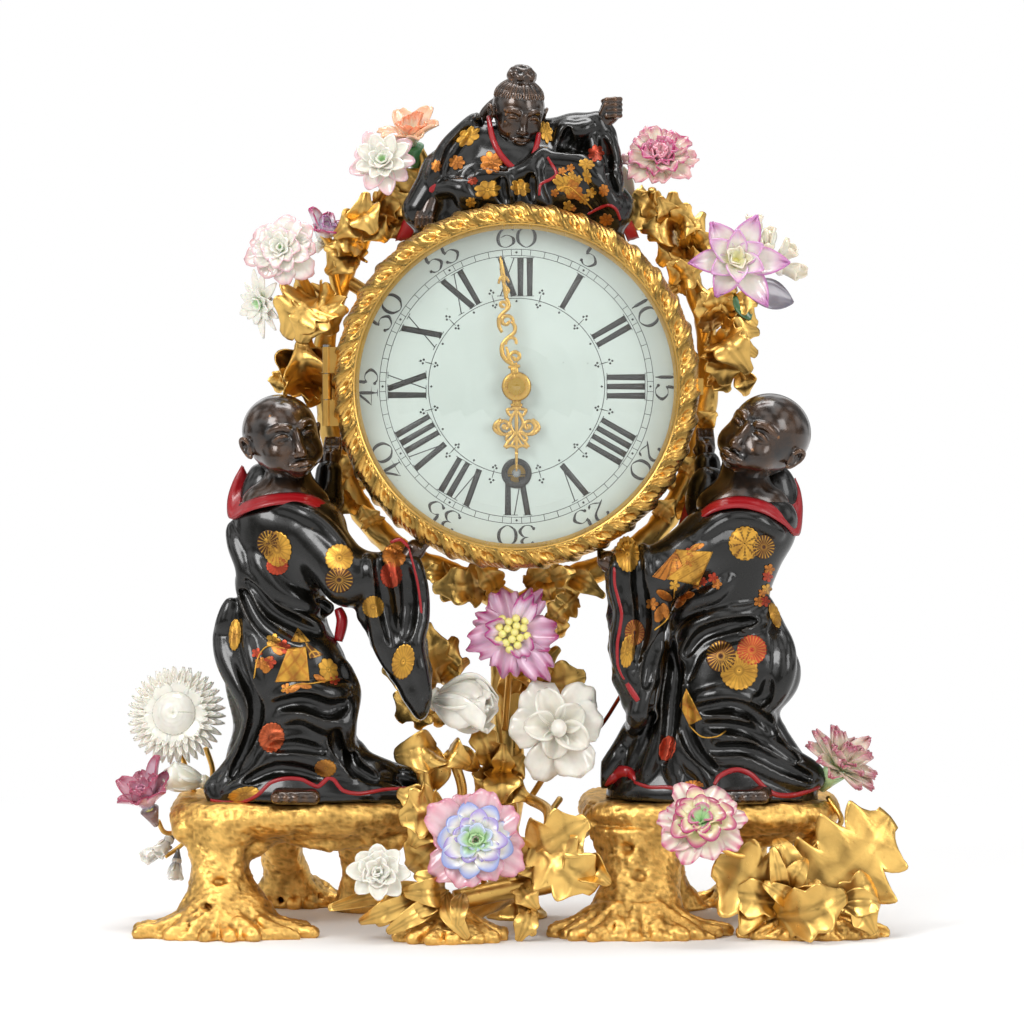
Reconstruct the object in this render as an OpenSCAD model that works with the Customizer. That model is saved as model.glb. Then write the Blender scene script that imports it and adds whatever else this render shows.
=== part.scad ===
/* [Dial] */
// Height of the dial's centre above the surface
dial_z = 242; // [240:0.5:246]
// Radius of the enamel dial
dial_r = 73; // [72:0.5:73.5]
// Radius of the opening in the dial for the hand pipes
dial_hole_r = 3.8; // [3.5:0.1:5]
// Radius of the winding hole in the dial
winding_hole_r = 5.5; // [4:0.1:6]
// Thickness of the enamelled dial
dial_t = 1.5; // [1:0.1:1.8]
// Rise of the domed dial at its centre
dial_rise = 4.5; // [3.5:0.1:5]

/* [Case] */
// Outer radius of the drum that holds the movement
case_r = 74; // [73.8:0.1:75]
// Wall of the drum
case_wall = 1.6; // [1.2:0.1:2.2]
// Depth of the drum behind the zero plane of the movement
case_back = 30; // [28:1:36]
// Distance of the drum's front face from the zero plane
case_front = 40; // [39.5:0.1:41]
// Inner radius of the drum's front flange
flange_r = 59; // [57:0.5:60]
// Thickness of the front flange
flange_t = 2; // [1.5:0.1:2.5]

/* [Bezel] */
// Inner radius of the bezel's front lip
bezel_lip_r = 71.5; // [70:0.1:72]
// Outer radius of the plain bezel ring
bezel_r = 79; // [78.5:0.1:79.5]
// Thickness of the bezel from back to front
bezel_t = 12.7; // [11:0.1:14]
// Rise of the domed glass
glass_rise = 7.8; // [6:0.1:9]
// Thickness of the glass
glass_t = 1.6; // [1:0.1:2]
// Radius of the glass
glass_r = 73.5; // [73:0.1:74]
// Number of leaf lobes around the bezel
lobe_count = 36; // [24:1:48]
// Length of the bezel's hinge
hinge_l = 35; // [28:1:40]
// Radius of the hinge knuckles
knuckle_r = 2; // [1.8:0.1:2.2]
// Radius of the hinge pins
hinge_pin_r = 1; // [0.7:0.1:1.2]

/* [Hands] */
// Length of the minute hand from its centre
minute_l = 58; // [50:0.5:60]
// Length of the hour hand from its centre
hour_l = 37.5; // [30:0.5:40]
// Thickness of the hands
hand_t = 0.8; // [0.6:0.1:1.1]
// Radius of the boss at the centre of the hands
hand_boss_r = 6.2; // [5:0.1:7]

/* [Movement] */
// Radius of the two movement plates
plate_r = 64; // [63:0.5:66]
// Thickness of the movement plates
plate_t = 2; // [1.6:0.1:2.2]
// Clear space between the plates
plate_gap = 30; // [29.5:0.1:30.5]
// Radius of the pillars between the plates
pillar_r = 2.5; // [2:0.1:3.5]
// Distance of the barrel arbor below the dial's centre
barrel_drop = 38.4; // [37.5:0.1:39]
// Radius of the winding arbor
winding_arbor_r = 2; // [1.8:0.1:2.4]
// Radius of the arbors
arbor_r = 1; // [0.8:0.05:1.05]
// Radius of the pivots at the ends of the arbors
pivot_r = 0.5; // [0.4:0.05:0.6]
// Distance of the pallet arbor above the dial's centre
pallet_rise = 38.2; // [38:0.1:39]
// Length of the pendulum from its pivot to the middle of its bob
pendulum_l = 88; // [82:1:90]
// Radius of the pendulum bob
bob_r = 9; // [7:0.5:10]

/* [Base] */
// Height of the two rockwork platforms
stump_h = 57; // [55:1:58]
// Width of each platform
stump_w = 118; // [115:1:120]
// Depth of each platform
stump_d = 98; // [94:1:102]
// Distance of each platform's middle from the trunk
stump_x = 97; // [96:1:100]
// Radius of the trunk
trunk_r = 7; // [6:0.5:8]
// Height of the fork where the trunk divides
fork_z = 140; // [138:1:142]
// From the case to the middle of the branches round it
branch_gap = 15; // [14:0.5:16]
// Radius of the branches
branch_r = 4.2; // [3.5:0.1:4.6]
// Radius of the flower stems
stem_r = 1.5; // [1.2:0.1:1.8]
// Thickness of the sheet bronze leaves
leaf_t = 1; // [0.8:0.1:1.4]

/* [Figures] */
// Height of the two standing figures above their platforms
figure_h = 181; // [179:1:182]
// Height of the seated figure above the case
rider_h = 73; // [71:1:76]
// Radius of a standing figure's head
head_r = 18.6; // [17.5:0.1:19]
// Radius of the seated figure's head
rider_head_r = 11.6; // [11:0.1:12]

/* [Flowers] */
// Radius of a large flower
bloom_r = 22; // [20:0.5:23]
// Thickness of the porcelain petals
petal_t = 1.2; // [0.9:0.1:1.5]

/* [Hidden] */

// Running clearance of pins, pivots and pipes
run_gap = 0.06;
// Gap of a wheel's many-sided seat on its arbor
seat_gap = 0.03;
seat_bite = 0.2;
// Gap between castings that only stand beside each other
stand_gap = 0.3;
// Overrun of cutting shapes
over = 1;
$fn = 48;

// Colours of the finishes
gilt = [0.83, 0.62, 0.25];
gilt_dark = [0.62, 0.42, 0.16];
brass = [0.78, 0.62, 0.32];
steel = [0.45, 0.46, 0.5];
lacquer = [0.13, 0.11, 0.11];
bronze = [0.22, 0.16, 0.12];
enamel = [0.88, 0.92, 0.9];
porcelain = [0.93, 0.92, 0.88];
rose = [0.86, 0.5, 0.62];
lilac = [0.72, 0.55, 0.75];

// Layers of the clock, measured forward from the back of the rear movement plate
front_plate_f = plate_t + plate_gap;
hinge_leaf_t = 2;
bezel_back_f = case_front + hinge_leaf_t + stand_gap;
bezel_front_f = bezel_back_f + bezel_t;
lip_t = 1.8;
glass_seat_f = bezel_front_f - lip_t;
dial_apex_f = case_front + dial_t + dial_rise;
hour_hand_f = dial_apex_f + 3 * hand_t;
minute_hand_f = hour_hand_f + 3 * hand_t;
sweep_r = case_r + branch_gap;
case_in_r = case_r - case_wall;
hinge_x = bezel_r + 2.5 * knuckle_r;
bezel_hinge_f = bezel_back_f + 1.35 * knuckle_r;
door_t = 2;
door_hinge_x = case_r + 2 * knuckle_r;
door_hinge_y = case_back + door_t;

// Tooth counts and tooth sizes of the wheel train
barrel_teeth = 84;
barrel_tooth = 0.45;
centre_teeth = 84;
centre_tooth = 0.36;
third_teeth = 84;
third_tooth = 0.33;
intermediate_teeth = 72;
intermediate_tooth = 0.42;
pinion_leaves = 12;
small_pinion_leaves = 7;
minute_teeth = 42;
cannon_leaves = 14;
minute_tooth = 0.36;
hour_teeth = 48;
hour_tooth = minute_tooth * (minute_teeth + cannon_leaves) / (hour_teeth + pinion_leaves);
escape_teeth = 42;
escape_r = 11;
wheel_t = 1.2;
pinion_t = 2.6;

// Heights and widths at the root, pitch line and tip, as shares of the tooth size and pitch
wheel_tooth_shares = [[-0.46, -1.35], [-0.42, 0], [-0.18, 0.85], [0.18, 0.85], [0.42, 0], [0.46, -1.35]];
pinion_leaf_shares = [[-0.3, -1.5], [-0.36, 0], [-0.16, 0.5], [0.16, 0.5], [0.36, 0], [0.3, -1.5]];

// Centre distances of the train and where its arbors stand, seen from the front
barrel_mesh = barrel_tooth * (barrel_teeth + pinion_leaves) / 2;
intermediate_mesh = intermediate_tooth * (intermediate_teeth + pinion_leaves) / 2;
centre_mesh = centre_tooth * (centre_teeth + small_pinion_leaves) / 2;
third_mesh = third_tooth * (third_teeth + small_pinion_leaves) / 2;
motion_mesh = minute_tooth * (minute_teeth + cannon_leaves) / 2;
third_side = 10;
barrel_at = [0, -barrel_drop];
intermediate_up =
  -(barrel_drop ^ 2 + intermediate_mesh ^ 2 - barrel_mesh ^ 2) / (2 * barrel_drop);
intermediate_at = [sqrt(intermediate_mesh ^ 2 - intermediate_up ^ 2), intermediate_up];
third_at = [-third_side, sqrt(centre_mesh ^ 2 - third_side ^ 2)];
escape_at = third_at + [third_side, sqrt(third_mesh ^ 2 - third_side ^ 2)];
pallets_at = [0, pallet_rise];
minute_at = motion_mesh * [cos(200), sin(200)];

// Layers of the train as shares of the space between the plates
barrel_wheel_share = 0.367;
barrel_drum_share = 0.43;
barrel_end_share = 0.9;
intermediate_pinion_share = 0.355;
intermediate_wheel_share = 0.227;
centre_pinion_share = 0.205;
centre_wheel_share = 0.727;
third_pinion_share = 0.703;
third_wheel_share = 0.527;
escape_pinion_share = 0.503;
escape_wheel_share = 0.3;

// Time shown by the hands
minute_angle = -7;
hour_angle = 180 + minute_angle / 12;

// Average of the points in a ring
function middle(ring) = [for (p = ring) 1 / len(ring)] * ring;
function unit(v) = v / norm(v);
function mix(a, b, t) = a + (b - a) * t;
function heading(from, to) = atan2(to.y - from.y, to.x - from.x);

// A level ring of points round a centre, with a share of waviness
function level_ring(c, half_x, half_y, sides, wave = 0, waves = 1) = [
  for (i = [0:sides - 1])
    let (a = 360 * i / sides, k = 1 + wave * cos(waves * a))
    [c.x + half_x * k * cos(a), c.y + half_y * k * sin(a), c.z]
];

// A smooth curve through points, with a number of steps between each two
function smooth(p, steps) = [
  for (i = [0:len(p) - 2], j = [0:steps - 1])
    let (t = j / steps, a = p[max(i - 1, 0)], b = p[i], c = p[i + 1], d = p[min(i + 2, len(p) - 1)])
    0.5 * (2 * b + (c - a) * t + (2 * a - 5 * b + 4 * c - d) * t ^ 2 + (3 * b - a - 3 * c + d) * t ^ 3),
  p[len(p) - 1]
];

// Direction of a path at one of its points
function along(path, i) = unit(path[min(i + 1, len(path) - 1)] - path[max(i - 1, 0)]);

// A closed solid through rings of equally many points
module loft(rings, back = 99) {
  n = len(rings[0]);
  m = len(rings);
  points = concat([for (r = rings) each r], [middle(rings[0]), middle(rings[m - 1])]);
  sides = [
    for (i = [0:m - 2], j = [0:n - 1])
      let (a = i * n + j, b = i * n + (j + 1) % n)
      each i < back ? [[a, b + n, b], [a, a + n, b + n]] : [[a, a + n, b], [a + n, b + n, b]]
  ];
  caps = [
    for (j = [0:n - 1])
      let (k = (j + 1) % n)
      each [[m * n, j, k], [m * n + 1, (m - 1) * n + k, (m - 1) * n + j]]
  ];
  polyhedron(points, concat(sides, caps));
}

// The same through convex steps, for sheets that curl
module chain(rings) {
  for (i = [0:len(rings) - 2]) hull() loft([rings[i], rings[i + 1]]);
}

// A tube along a path, tapering from one radius to another
module tube(path, r_start, r_end, sides = 8, reference = [0, 1, 0]) {
  last = len(path) - 1;
  loft([
    for (i = [0:last])
      let (
        t = along(path, i),
        u = unit(cross(reference, t)),
        v = cross(t, u),
        r = mix(r_start, r_end, i / last)
      )
      [for (k = [0:sides - 1]) path[i] + r * (u * cos(360 * k / sides) + v * sin(360 * k / sides))]
  ]);
}

// A curled sheet leaf from its base to its tip, facing a direction, with lobed edges
module leaf(base, tip, width, facing, arch = 0.2, lobes = 2, steps = 4, chained = false) {
  length = norm(tip - base);
  path = [
    for (i = [0:steps])
      let (t = i / steps)
      mix(base, tip, t) + facing * length * arch * 4 * t * (1 - t)
  ];
  rings = [
    for (i = [0:steps])
      let (
        t = i / steps,
        d = along(path, i),
        side = unit(cross(d, facing)),
        up = cross(side, d),
        lobe = 1 + 0.22 * cos(360 * lobes * t),
        w = max(width / 2 * sin(180 * min(0.93, 0.16 + 0.8 * t)) * lobe, leaf_t / 2),
        cup = w * (chained ? 0.05 : 0.35)
      )
      [
        for (q = [[-1, -1], [1, -1], [1, 0], [1, 1], [-1, 1], [-1, 0]])
          path[i] + up * (q[0] * leaf_t / 2 - (q[1] == 0 ? cup : 0)) + side * q[1] * w
      ]
  ];
  if (chained) chain(rings);
  else loft(rings);
}

// Turns a shape that opens upwards to face along a direction
module facing(direction) {
  rotate([0, acos(unit(direction).z), atan2(direction.y, direction.x)]) children();
}

// One whorl of petals as a lobed dish, opening upwards
module whorl(r, depth, petals, notch = 0.25, turn = 0) {
  n = 2 * petals;
  // radius share, height share, part of the notch
  section_shares = [[0.14, 0, 0], [0.6, 0.22, 0.4], [1, 1, 1], [0.6, 0.22, 0.4], [0.12, 0, 0]];
  loft([
    for (s = [0:4])
      let (q = section_shares[s], lift = s < 2 ? 0 : s == 2 ? petal_t * 0.5 : petal_t)
      [
        for (i = [0:n - 1])
          let (a = turn + 360 * i / n, k = r * q[0] * (1 - (i % 2) * notch * q[2]))
          [k * cos(a), k * sin(a), depth * (q[1] - (i % 2) * 0.2 * q[2]) + lift]
      ]
  ], 2);
}

// A low dome in the middle of a flower
module flower_eye(r, rise) {
  loft([
    for (q = [[1, -0.3], [0.85, 0.45], [0.4, 0.9]])
      level_ring([0, 0, rise * q[1]], r * q[0], r * q[0], 8)
  ]);
}

// A flower with nested whorls, standing on its stem's end and facing a direction
module bloom(place, direction, r, petals, whorls = 2, depth = 0.5, notch = 0.25, eye = 0.2) {
  translate(place) facing(direction) {
    for (w = [0:whorls - 1])
      translate([0, 0, petal_t * 0.6 * w])
        whorl(r * (1 - 0.27 * w), r * depth * (1 + 0.25 * w), petals, notch, w * 180 / petals / 2);
    flower_eye(r * eye, r * eye * 0.9 + petal_t);
  }
}

// A flower's stem, from where it springs to the flower's back
module stem(path, reference = [0, 1, 0]) {
  tube(smooth(path, 2), stem_r, stem_r * 0.8, 6, reference);
}

// Stands a shape drawn from the front upright at the dial's axis, moved forward
module upright(forward = 0) {
  translate([0, -forward, dial_z]) rotate([90, 0, 0]) children();
}

// Outline of a toothed wheel
function toothed(teeth, tooth, shares) = [
  for (i = [0:teeth - 1], q = shares)
    let (a = (i + q[0] / 2) * 360 / teeth, r = tooth * (teeth / 2 + q[1]))
    r * [cos(a), sin(a)]
];

// A cut wheel with four crossings, its hub bored square to the arbor's seat
module cut_wheel(teeth, tooth, seat_r) {
  root_r = tooth * (teeth / 2 - 1.35);
  rim_r = root_r - 2 * tooth;
  hub_r = seat_r * 2.2;
  half_arm = tooth * 2;
  linear_extrude(wheel_t) difference() {
    polygon(toothed(teeth, tooth, wheel_tooth_shares));
    circle(r = (seat_r + seat_gap) / cos(22.5), $fn = 8);
    for (a = [45:90:359])
      rotate(a)
        polygon([
          for (q = [-36, -18, 0, 18, 36]) rim_r * [cos(q), sin(q)],
          for (q = [24, 0, -24]) (hub_r + half_arm) * [cos(q), sin(q)]
        ]);
  }
}

// A solid-leaf pinion
module cut_pinion(leaves, tooth, length) {
  linear_extrude(length) polygon(toothed(leaves, tooth, pinion_leaf_shares));
}

// An arbor between the plates, with a pivot in each and a pinion that fills its place
module arbor(pinion_from, pinion_to, r = arbor_r) {
  shoulder = 2 * run_gap;
  translate([0, 0, shoulder / 2]) cylinder(r = pivot_r, h = plate_t + shoulder / 2);
  translate([0, 0, plate_t + shoulder]) cylinder(r = r, h = pinion_from - plate_t - shoulder + seat_bite);
  translate([0, 0, pinion_to - seat_bite]) cylinder(r = r, h = front_plate_f - shoulder - pinion_to + seat_bite);
  translate([0, 0, front_plate_f - shoulder])
    cylinder(r = pivot_r, h = plate_t + shoulder / 2);
}

function layer(share) = plate_t + plate_gap * share;

// Rockwork: the two platforms, each a slab of roots on legs
platform_shares = [[0.7, 0.43, 0.4], [0.8, 0.475, 0.46], [0.93, 0.5, 0.5], [1, 0.475, 0.475]];

module platform(x, sides = 20) {
  loft([
    for (q = platform_shares)
      level_ring([x, -stump_d * 0.09, stump_h * q[0]], stump_w * q[1], stump_d * q[2], sides, 0.03, 5)
  ]);
}

// A leg that spreads at its foot and under the slab: height, middle and half sizes as shares
module rock_leg(x, shares, sides = 12) {
  loft([
    for (q = shares)
      level_ring(
        [x + stump_w * q[1], stump_d * q[2], stump_h * q[0]],
        stump_w * q[3], stump_d * q[4], sides, 0.05, 4
      )
  ]);
}

front_leg_left_shares = [
  [0, -0.254, -0.63, 0.33, 0.24], [0.14, -0.258, -0.62, 0.31, 0.2], [0.25, -0.263, -0.56, 0.2, 0.16],
  [0.44, -0.288, -0.49, 0.12, 0.12], [0.63, -0.3, -0.45, 0.12, 0.12], [0.78, -0.263, -0.41, 0.16, 0.14]
];
back_leg_left_shares = [
  [0, -0.07, 0.49, 0.22, 0.18], [0.18, -0.09, 0.43, 0.13, 0.12], [0.44, -0.11, 0.34, 0.09, 0.1],
  [0.78, -0.11, 0.24, 0.13, 0.13]
];
front_leg_right_shares = [
  [0, -0.38, -0.63, 0.335, 0.24], [0.14, -0.38, -0.61, 0.29, 0.2], [0.28, -0.365, -0.55, 0.19, 0.16],
  [0.44, -0.35, -0.49, 0.16, 0.14], [0.78, -0.36, -0.38, 0.18, 0.15]
];
back_leg_right_shares = [
  [0, 0.15, 0.46, 0.22, 0.17], [0.18, 0.16, 0.4, 0.13, 0.12], [0.44, 0.18, 0.32, 0.1, 0.1],
  [0.78, 0.2, 0.22, 0.13, 0.13]
];

module stump_left() {
  color(gilt) {
    platform(-stump_x);
    rock_leg(-stump_x, front_leg_left_shares);
    rock_leg(-stump_x, back_leg_left_shares);
  }
}

module stump_right() {
  color(gilt) {
    platform(stump_x * 0.9);
    rock_leg(stump_x, front_leg_right_shares);
    rock_leg(stump_x * 0.9, back_leg_right_shares);
  }
}

rock_centre_at = [-stump_x * 0.3, -stump_d * 0.76, 0];

module rock_centre() {
  color(gilt)
    loft([
      for (q = [[0, 1, 1], [0.1, 0.92, 0.85], [0.19, 0.5, 0.5], [0.3, 0.25, 0.28]])
        level_ring(rock_centre_at + [0, 0, stump_h * q[0]],
          stump_w * 0.2 * q[1], stump_d * 0.16 * q[2], 12, 0.06, 4)
    ]);
}

rock_right_at = [stump_x * 1.33, -stump_d * 0.65, 0];

module rock_right() {
  color(gilt) {
    loft([
      for (q = [[0, 1, 1], [0.09, 0.94, 0.86], [0.17, 0.45, 0.5]])
        level_ring(rock_right_at + [0, 0, stump_h * q[0]],
          stump_w * 0.26 * q[1], stump_d * 0.15 * q[2], 12, 0.06, 4)
    ]);
    tube(
      smooth([rock_right_at + [0, 0, stump_h * 0.1], rock_right_at + [stump_w * 0.03, stump_d * 0.07,
        stump_h * 0.4], [stump_x * 1.4, -stump_d * 0.36, stump_h * 0.82]], 2),
      stem_r * 3, stem_r * 2.2, 8
    );
  }
}

// The trunk and the roots that tie the rockwork to it, as shares of the fork's height
trunk_shares = [[0, 0.02, 0.04], [-0.043, 0.021, 0.21], [-0.036, 0.03, 0.5], [-0.03, 0.036, 0.78], [0, 0.06, 1]];

module trunk() {
  color(gilt) {
    cylinder(r = trunk_r * 2, h = trunk_r * 0.6);
    tube(smooth([for (q = trunk_shares) q * fork_z], 3), trunk_r, trunk_r * 0.85, 10);
  }
}

module root_ties() {
  color(gilt) {
    tube(smooth([[-trunk_r * 0.6, trunk_r * 0.4, stump_h * 0.38], [-stump_x * 0.28, trunk_r, stump_h * 0.55],
      [-stump_x + stump_w * 0.41, 0, stump_h * 0.83]], 3), trunk_r * 0.8, trunk_r * 0.6, 8);
    tube(smooth([[trunk_r * 0.1, trunk_r * 0.4, stump_h * 0.38], [stump_x * 0.2, trunk_r, stump_h * 0.6],
      [stump_x * 0.9 - stump_w * 0.41, 0, stump_h * 0.83]], 3), trunk_r * 0.8, trunk_r * 0.6, 8);
    tube(smooth([[0, -trunk_r * 0.5, stump_h * 0.3], [-trunk_r, -stump_d * 0.38, stump_h * 0.24],
      rock_centre_at + [0, 0, stump_h * 0.12]], 3), trunk_r * 0.6, trunk_r * 0.5, 8, [1, 0, 0]);
  }
}

// Screws that hold the ties to the platforms, each with a slotted head
module base_screws() {
  color(brass)
    for (s = [-1, 1])
      translate([s > 0 ? stump_x * 0.9 - stump_w * 0.33 : -stump_x + stump_w * 0.33, 0, stump_h * 0.6])
        difference() {
          union() {
            cylinder(r = stem_r * 2, h = stem_r);
            cylinder(r = stem_r * 0.8, h = stump_h * 0.22);
          }
          translate([0, 0, 0]) cube([stem_r * 5, stem_r * 0.5, stem_r], center = true);
        }
}

// Path of the left branch round the case: places across and up from the dial's centre
branch_y = 12;
branch_shares = [
  [-0.187, -1.028], [-0.391, -0.947], [-0.596, -0.845], [-0.769, -0.681], [-0.887, -0.452], [-0.957, -0.197],
  [-0.993, 0.06], [-0.963, 0.34], [-0.876, 0.596], [-0.769, 0.809], [-0.606, 1.004]
];
fork_at = [0, fork_z * 0.06, fork_z];

function branch_path(side) = [
  fork_at,
  for (q = branch_shares) [-side * q[0] * sweep_r, branch_y, dial_z + q[1] * sweep_r]
];

// Place along a branch, from 0 at the fork to 1 at its end
function on_branch(side, t) =
  let (p = branch_path(side), s = t * (len(p) - 1), i = min(floor(s), len(p) - 2))
  mix(p[i], p[i + 1], s - i);

// Leaves of a branch: place along it, heading, length and width shares, lean forward
left_leaf_shares = [
  [0.17, 205, 0.3, 0.13, 0.16], [0.24, 290, 0.2, 0.1, 0.1], [0.52, 165, 0.2, 0.11, 0.05],
  [0.6, 168, 0.34, 0.26, 0.12], [0.66, 236, 0.36, 0.17, 0.16], [0.73, 150, 0.24, 0.12, 0.1],
  [0.8, 205, 0.2, 0.12, 0.1], [0.86, 128, 0.22, 0.1, 0.05], [0.92, 30, 0.2, 0.11, 0.06], [1, 92, 0.26, 0.11, 0.1]
];
right_leaf_shares = [
  [0.14, 322, 0.28, 0.13, 0.16], [0.2, 240, 0.2, 0.1, 0.12], [0.5, 12, 0.2, 0.11, 0.06],
  [0.58, 8, 0.34, 0.24, 0.12], [0.68, 325, 0.34, 0.2, 0.12], [0.745, 34, 0.26, 0.13, 0.1],
  [0.82, 330, 0.22, 0.12, 0.1], [0.865, 56, 0.22, 0.12, 0.03], [0.935, 152, 0.2, 0.11, 0.05], [1, 88, 0.26, 0.11, 0.08]
];

module branch(side, leaf_shares) {
  tube(smooth(branch_path(side), 2), branch_r * 1.1, branch_r * 0.7, 8);
  for (q = leaf_shares) {
    base = on_branch(side, q[0]);
    leaf(base, base + sweep_r * [q[2] * cos(q[1]), -q[4], q[2] * sin(q[1])], sweep_r * q[3], [0, -1, 0], chained = true);
  }
}

module branch_left() {
  color(gilt) branch(-1, left_leaf_shares);
}

module branch_right() {
  color(gilt) branch(1, right_leaf_shares);
}

// Leaves of the base: root and tip as shares of the platform's place, depth and height, and width
foliage_shares = [
  [-0.3, -0.76, 0.12, -0.44, -0.95, 0.5, 0.16], [-0.3, -0.76, 0.12, -0.2, -0.98, 0.42, 0.14],
  [-0.3, -0.74, 0.14, -0.08, -0.9, 0.2, 0.14], [-0.32, -0.74, 0.12, -0.58, -0.86, 0.24, 0.13],
  [-0.28, -0.72, 0.16, 0.1, -0.82, 0.36, 0.15], [-0.28, -0.74, 0.12, 0.16, -0.86, 0.06, 0.12],
  [1.3, -0.62, 0.1, 1.72, -0.46, 0.82, 0.34], [1.3, -0.64, 0.1, 1.0, -0.72, 0.7, 0.24],
  [1.34, -0.66, 0.1, 1.66, -0.8, 0.34, 0.16], [1.32, -0.66, 0.1, 1.12, -0.82, 0.32, 0.15],
  [1.34, -0.66, 0.1, 1.56, -0.88, 0.12, 0.14],
  [-0.1, -0.72, 0.2, 0.55, -0.72, 0.75, 0.26], [-0.08, -0.06, 0.8, -0.53, -0.3, 1.5, 0.16]
];
trunk_leaf_shares = [
  [-0.04, -0.02, 0.55, -0.16, -0.16, 0.75, 0.12], [0.0, -0.02, 0.5, 0.09, -0.14, 0.68, 0.12],
  [-0.04, -0.02, 0.42, -0.3, -0.2, 0.6, 0.15], [-0.02, -0.02, 0.86, 0.22, -0.06, 0.93, 0.11],
  [-0.02, -0.02, 0.8, 0.2, -0.06, 0.76, 0.13], [-0.02, -0.02, 0.36, 0.06, -0.16, 0.5, 0.1],
  [-0.03, -0.02, 0.9, -0.2, -0.08, 1.0, 0.11], [-0.04, -0.02, 0.62, -0.25, -0.06, 0.86, 0.12]
];

function base_place(x, y, z) = [stump_x * x, stump_d * y, stump_h * z];

module foliage_base() {
  color(gilt) {
    for (q = foliage_shares)
      leaf(base_place(q[0], q[1], q[2]), base_place(q[3], q[4], q[5]), stump_w * q[6], unit([0, -0.5, 1]), 0.15, chained = true);
    for (q = trunk_leaf_shares)
      leaf(fork_z * [q[0], q[1], q[2]], fork_z * [q[3], q[4], q[5]], fork_z * q[6], [0, -1, 0], 0.12, chained = true);
  }
}

// Lugs that carry the case on the branches: headings round the dial and places along the branches
lug_headings = [212, 328, 148, 32];
lug_r = 3.2;
lug_screw_r = 1.4;
lug_y = branch_y;

// Radius of the branches' path at a heading, from the path itself
function path_radius(side, a) =
  let (
    p = branch_path(side),
    hits = [
      for (i = [1:len(p) - 2])
        let (
          u = [p[i].x, p[i].z - dial_z], v = [p[i + 1].x, p[i + 1].z - dial_z], d = [cos(a), sin(a)],
          cu = cross(u, d), cv = cross(v, d)
        )
        if (cu * cv <= 0 && u * d > 0) norm(mix(u, v, cu / (cu - cv)))
    ]
  )
  hits[0];

// Sets a shape that rises from the dial's axis along a heading at the lugs' depth
module radial(a) {
  translate([0, lug_y, dial_z]) rotate([0, 90 - a, 0]) children();
}

module case_lugs() {
  color(gilt)
    for (a = lug_headings)
      difference() {
        radial(a) cylinder(r = lug_r, h = path_radius(cos(a) > 0 ? 1 : -1, a));
        translate([0, branch_y + lug_r + over, dial_z])
          rotate([90, 0, 0]) cylinder(r = case_r, h = 2 * (lug_r + over));
        radial(a) cylinder(r = lug_screw_r + run_gap, h = case_r + 3 * lug_screw_r);
      }
}

module lug_screws() {
  color(steel)
    for (a = lug_headings)
      radial(a) {
        translate([0, 0, case_in_r - 2 * lug_screw_r])
          difference() {
            cylinder(r = lug_screw_r * 2, h = lug_screw_r * 1.9);
            translate([0, 0, 0]) cube([lug_screw_r * 5, lug_screw_r * 0.5, lug_screw_r], center = true);
          }
        translate([0, 0, case_in_r - over]) cylinder(r = lug_screw_r, h = 3 * lug_screw_r);
      }
}

// Ring section turned about the dial's axis: radius against distance forward
module turned(section) {
  upright() rotate_extrude() polygon(section);
}

post_r = 1.6;
post_ring_r = flange_r + 1.9 * post_r;
post_headings = [90, 210, 330];

// Knuckles round an upright axis: the two outer ones or the middle one, with arms as boxes in plan
knuckle_gap = 0.2;
module knuckles(x, y, outer, arms) {
  low = hinge_l / 6 + knuckle_gap;
  for (b = outer ? [[-hinge_l / 2, -low], [low, hinge_l / 2]] : [[2 * knuckle_gap - low, low - 2 * knuckle_gap]])
    translate([0, 0, dial_z + b[0]]) {
      translate([x, y]) cylinder(r = knuckle_r, h = b[1] - b[0]);
      for (a = arms)
        translate([a[0], a[1]]) cube([a[2] - a[0], a[3] - a[1], b[1] - b[0]]);
    }
}

module hinge_bore(x, y) {
  translate([x, y, dial_z - hinge_l]) cylinder(r = hinge_pin_r + run_gap, h = 2 * hinge_l);
}

module drum_case() {
  color(gilt_dark) {
    difference() {
      union() {
        turned([
          [case_in_r, -case_back + flange_t], [case_r - 4 * flange_t, -case_back + flange_t],
          [case_r - 4 * flange_t, -case_back], [case_r, -case_back], [case_r, case_front],
          [flange_r, case_front], [flange_r, case_front - flange_t], [case_in_r, case_front - flange_t]
        ]);
        knuckles(-hinge_x, -bezel_hinge_f, false, [
          [-hinge_x - knuckle_r, -bezel_hinge_f, -hinge_x + knuckle_r, -case_front + 2 * flange_t],
          [-hinge_x - knuckle_r, -case_front, -case_in_r, -case_front + 2 * flange_t]
        ]);
        knuckles(door_hinge_x, door_hinge_y, false, [
          [case_in_r, case_back - flange_t, door_hinge_x, case_back],
          [case_r + stand_gap, case_back - flange_t, door_hinge_x, door_hinge_y]
        ]);
      }
      hinge_bore(-hinge_x, -bezel_hinge_f);
      hinge_bore(door_hinge_x, door_hinge_y);
      for (a = lug_headings)
        radial(a) translate([0, 0, case_in_r - 4 * over])
          cylinder(r = lug_screw_r + run_gap, h = case_wall + 8 * over);
    }
    for (a = post_headings)
      upright(front_plate_f + plate_t)
        rotate(a) translate([post_ring_r, 0])
          cylinder(r = post_r, h = case_front - flange_t - front_plate_f - plate_t);
  }
}

function dome(r, at_r, rise) = rise * (1 - (r / at_r) ^ 2);

// Section of a domed disc from its hole to where its flat rim starts, with a back at a distance forward
rim_share = 0.96;
function domed_section(r0, r1, back, t, rise, steps) = concat(
  [for (i = [0:steps]) let (r = mix(r0, r1, i / steps)) [r, back + dome(r, r1, rise)]],
  [[r1 / rim_share, back], [r1 / rim_share, back + t]],
  [for (i = [steps:-1:0]) let (r = mix(r0, r1, i / steps)) [r, back + t + dome(r, r1, rise)]]
);

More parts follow.
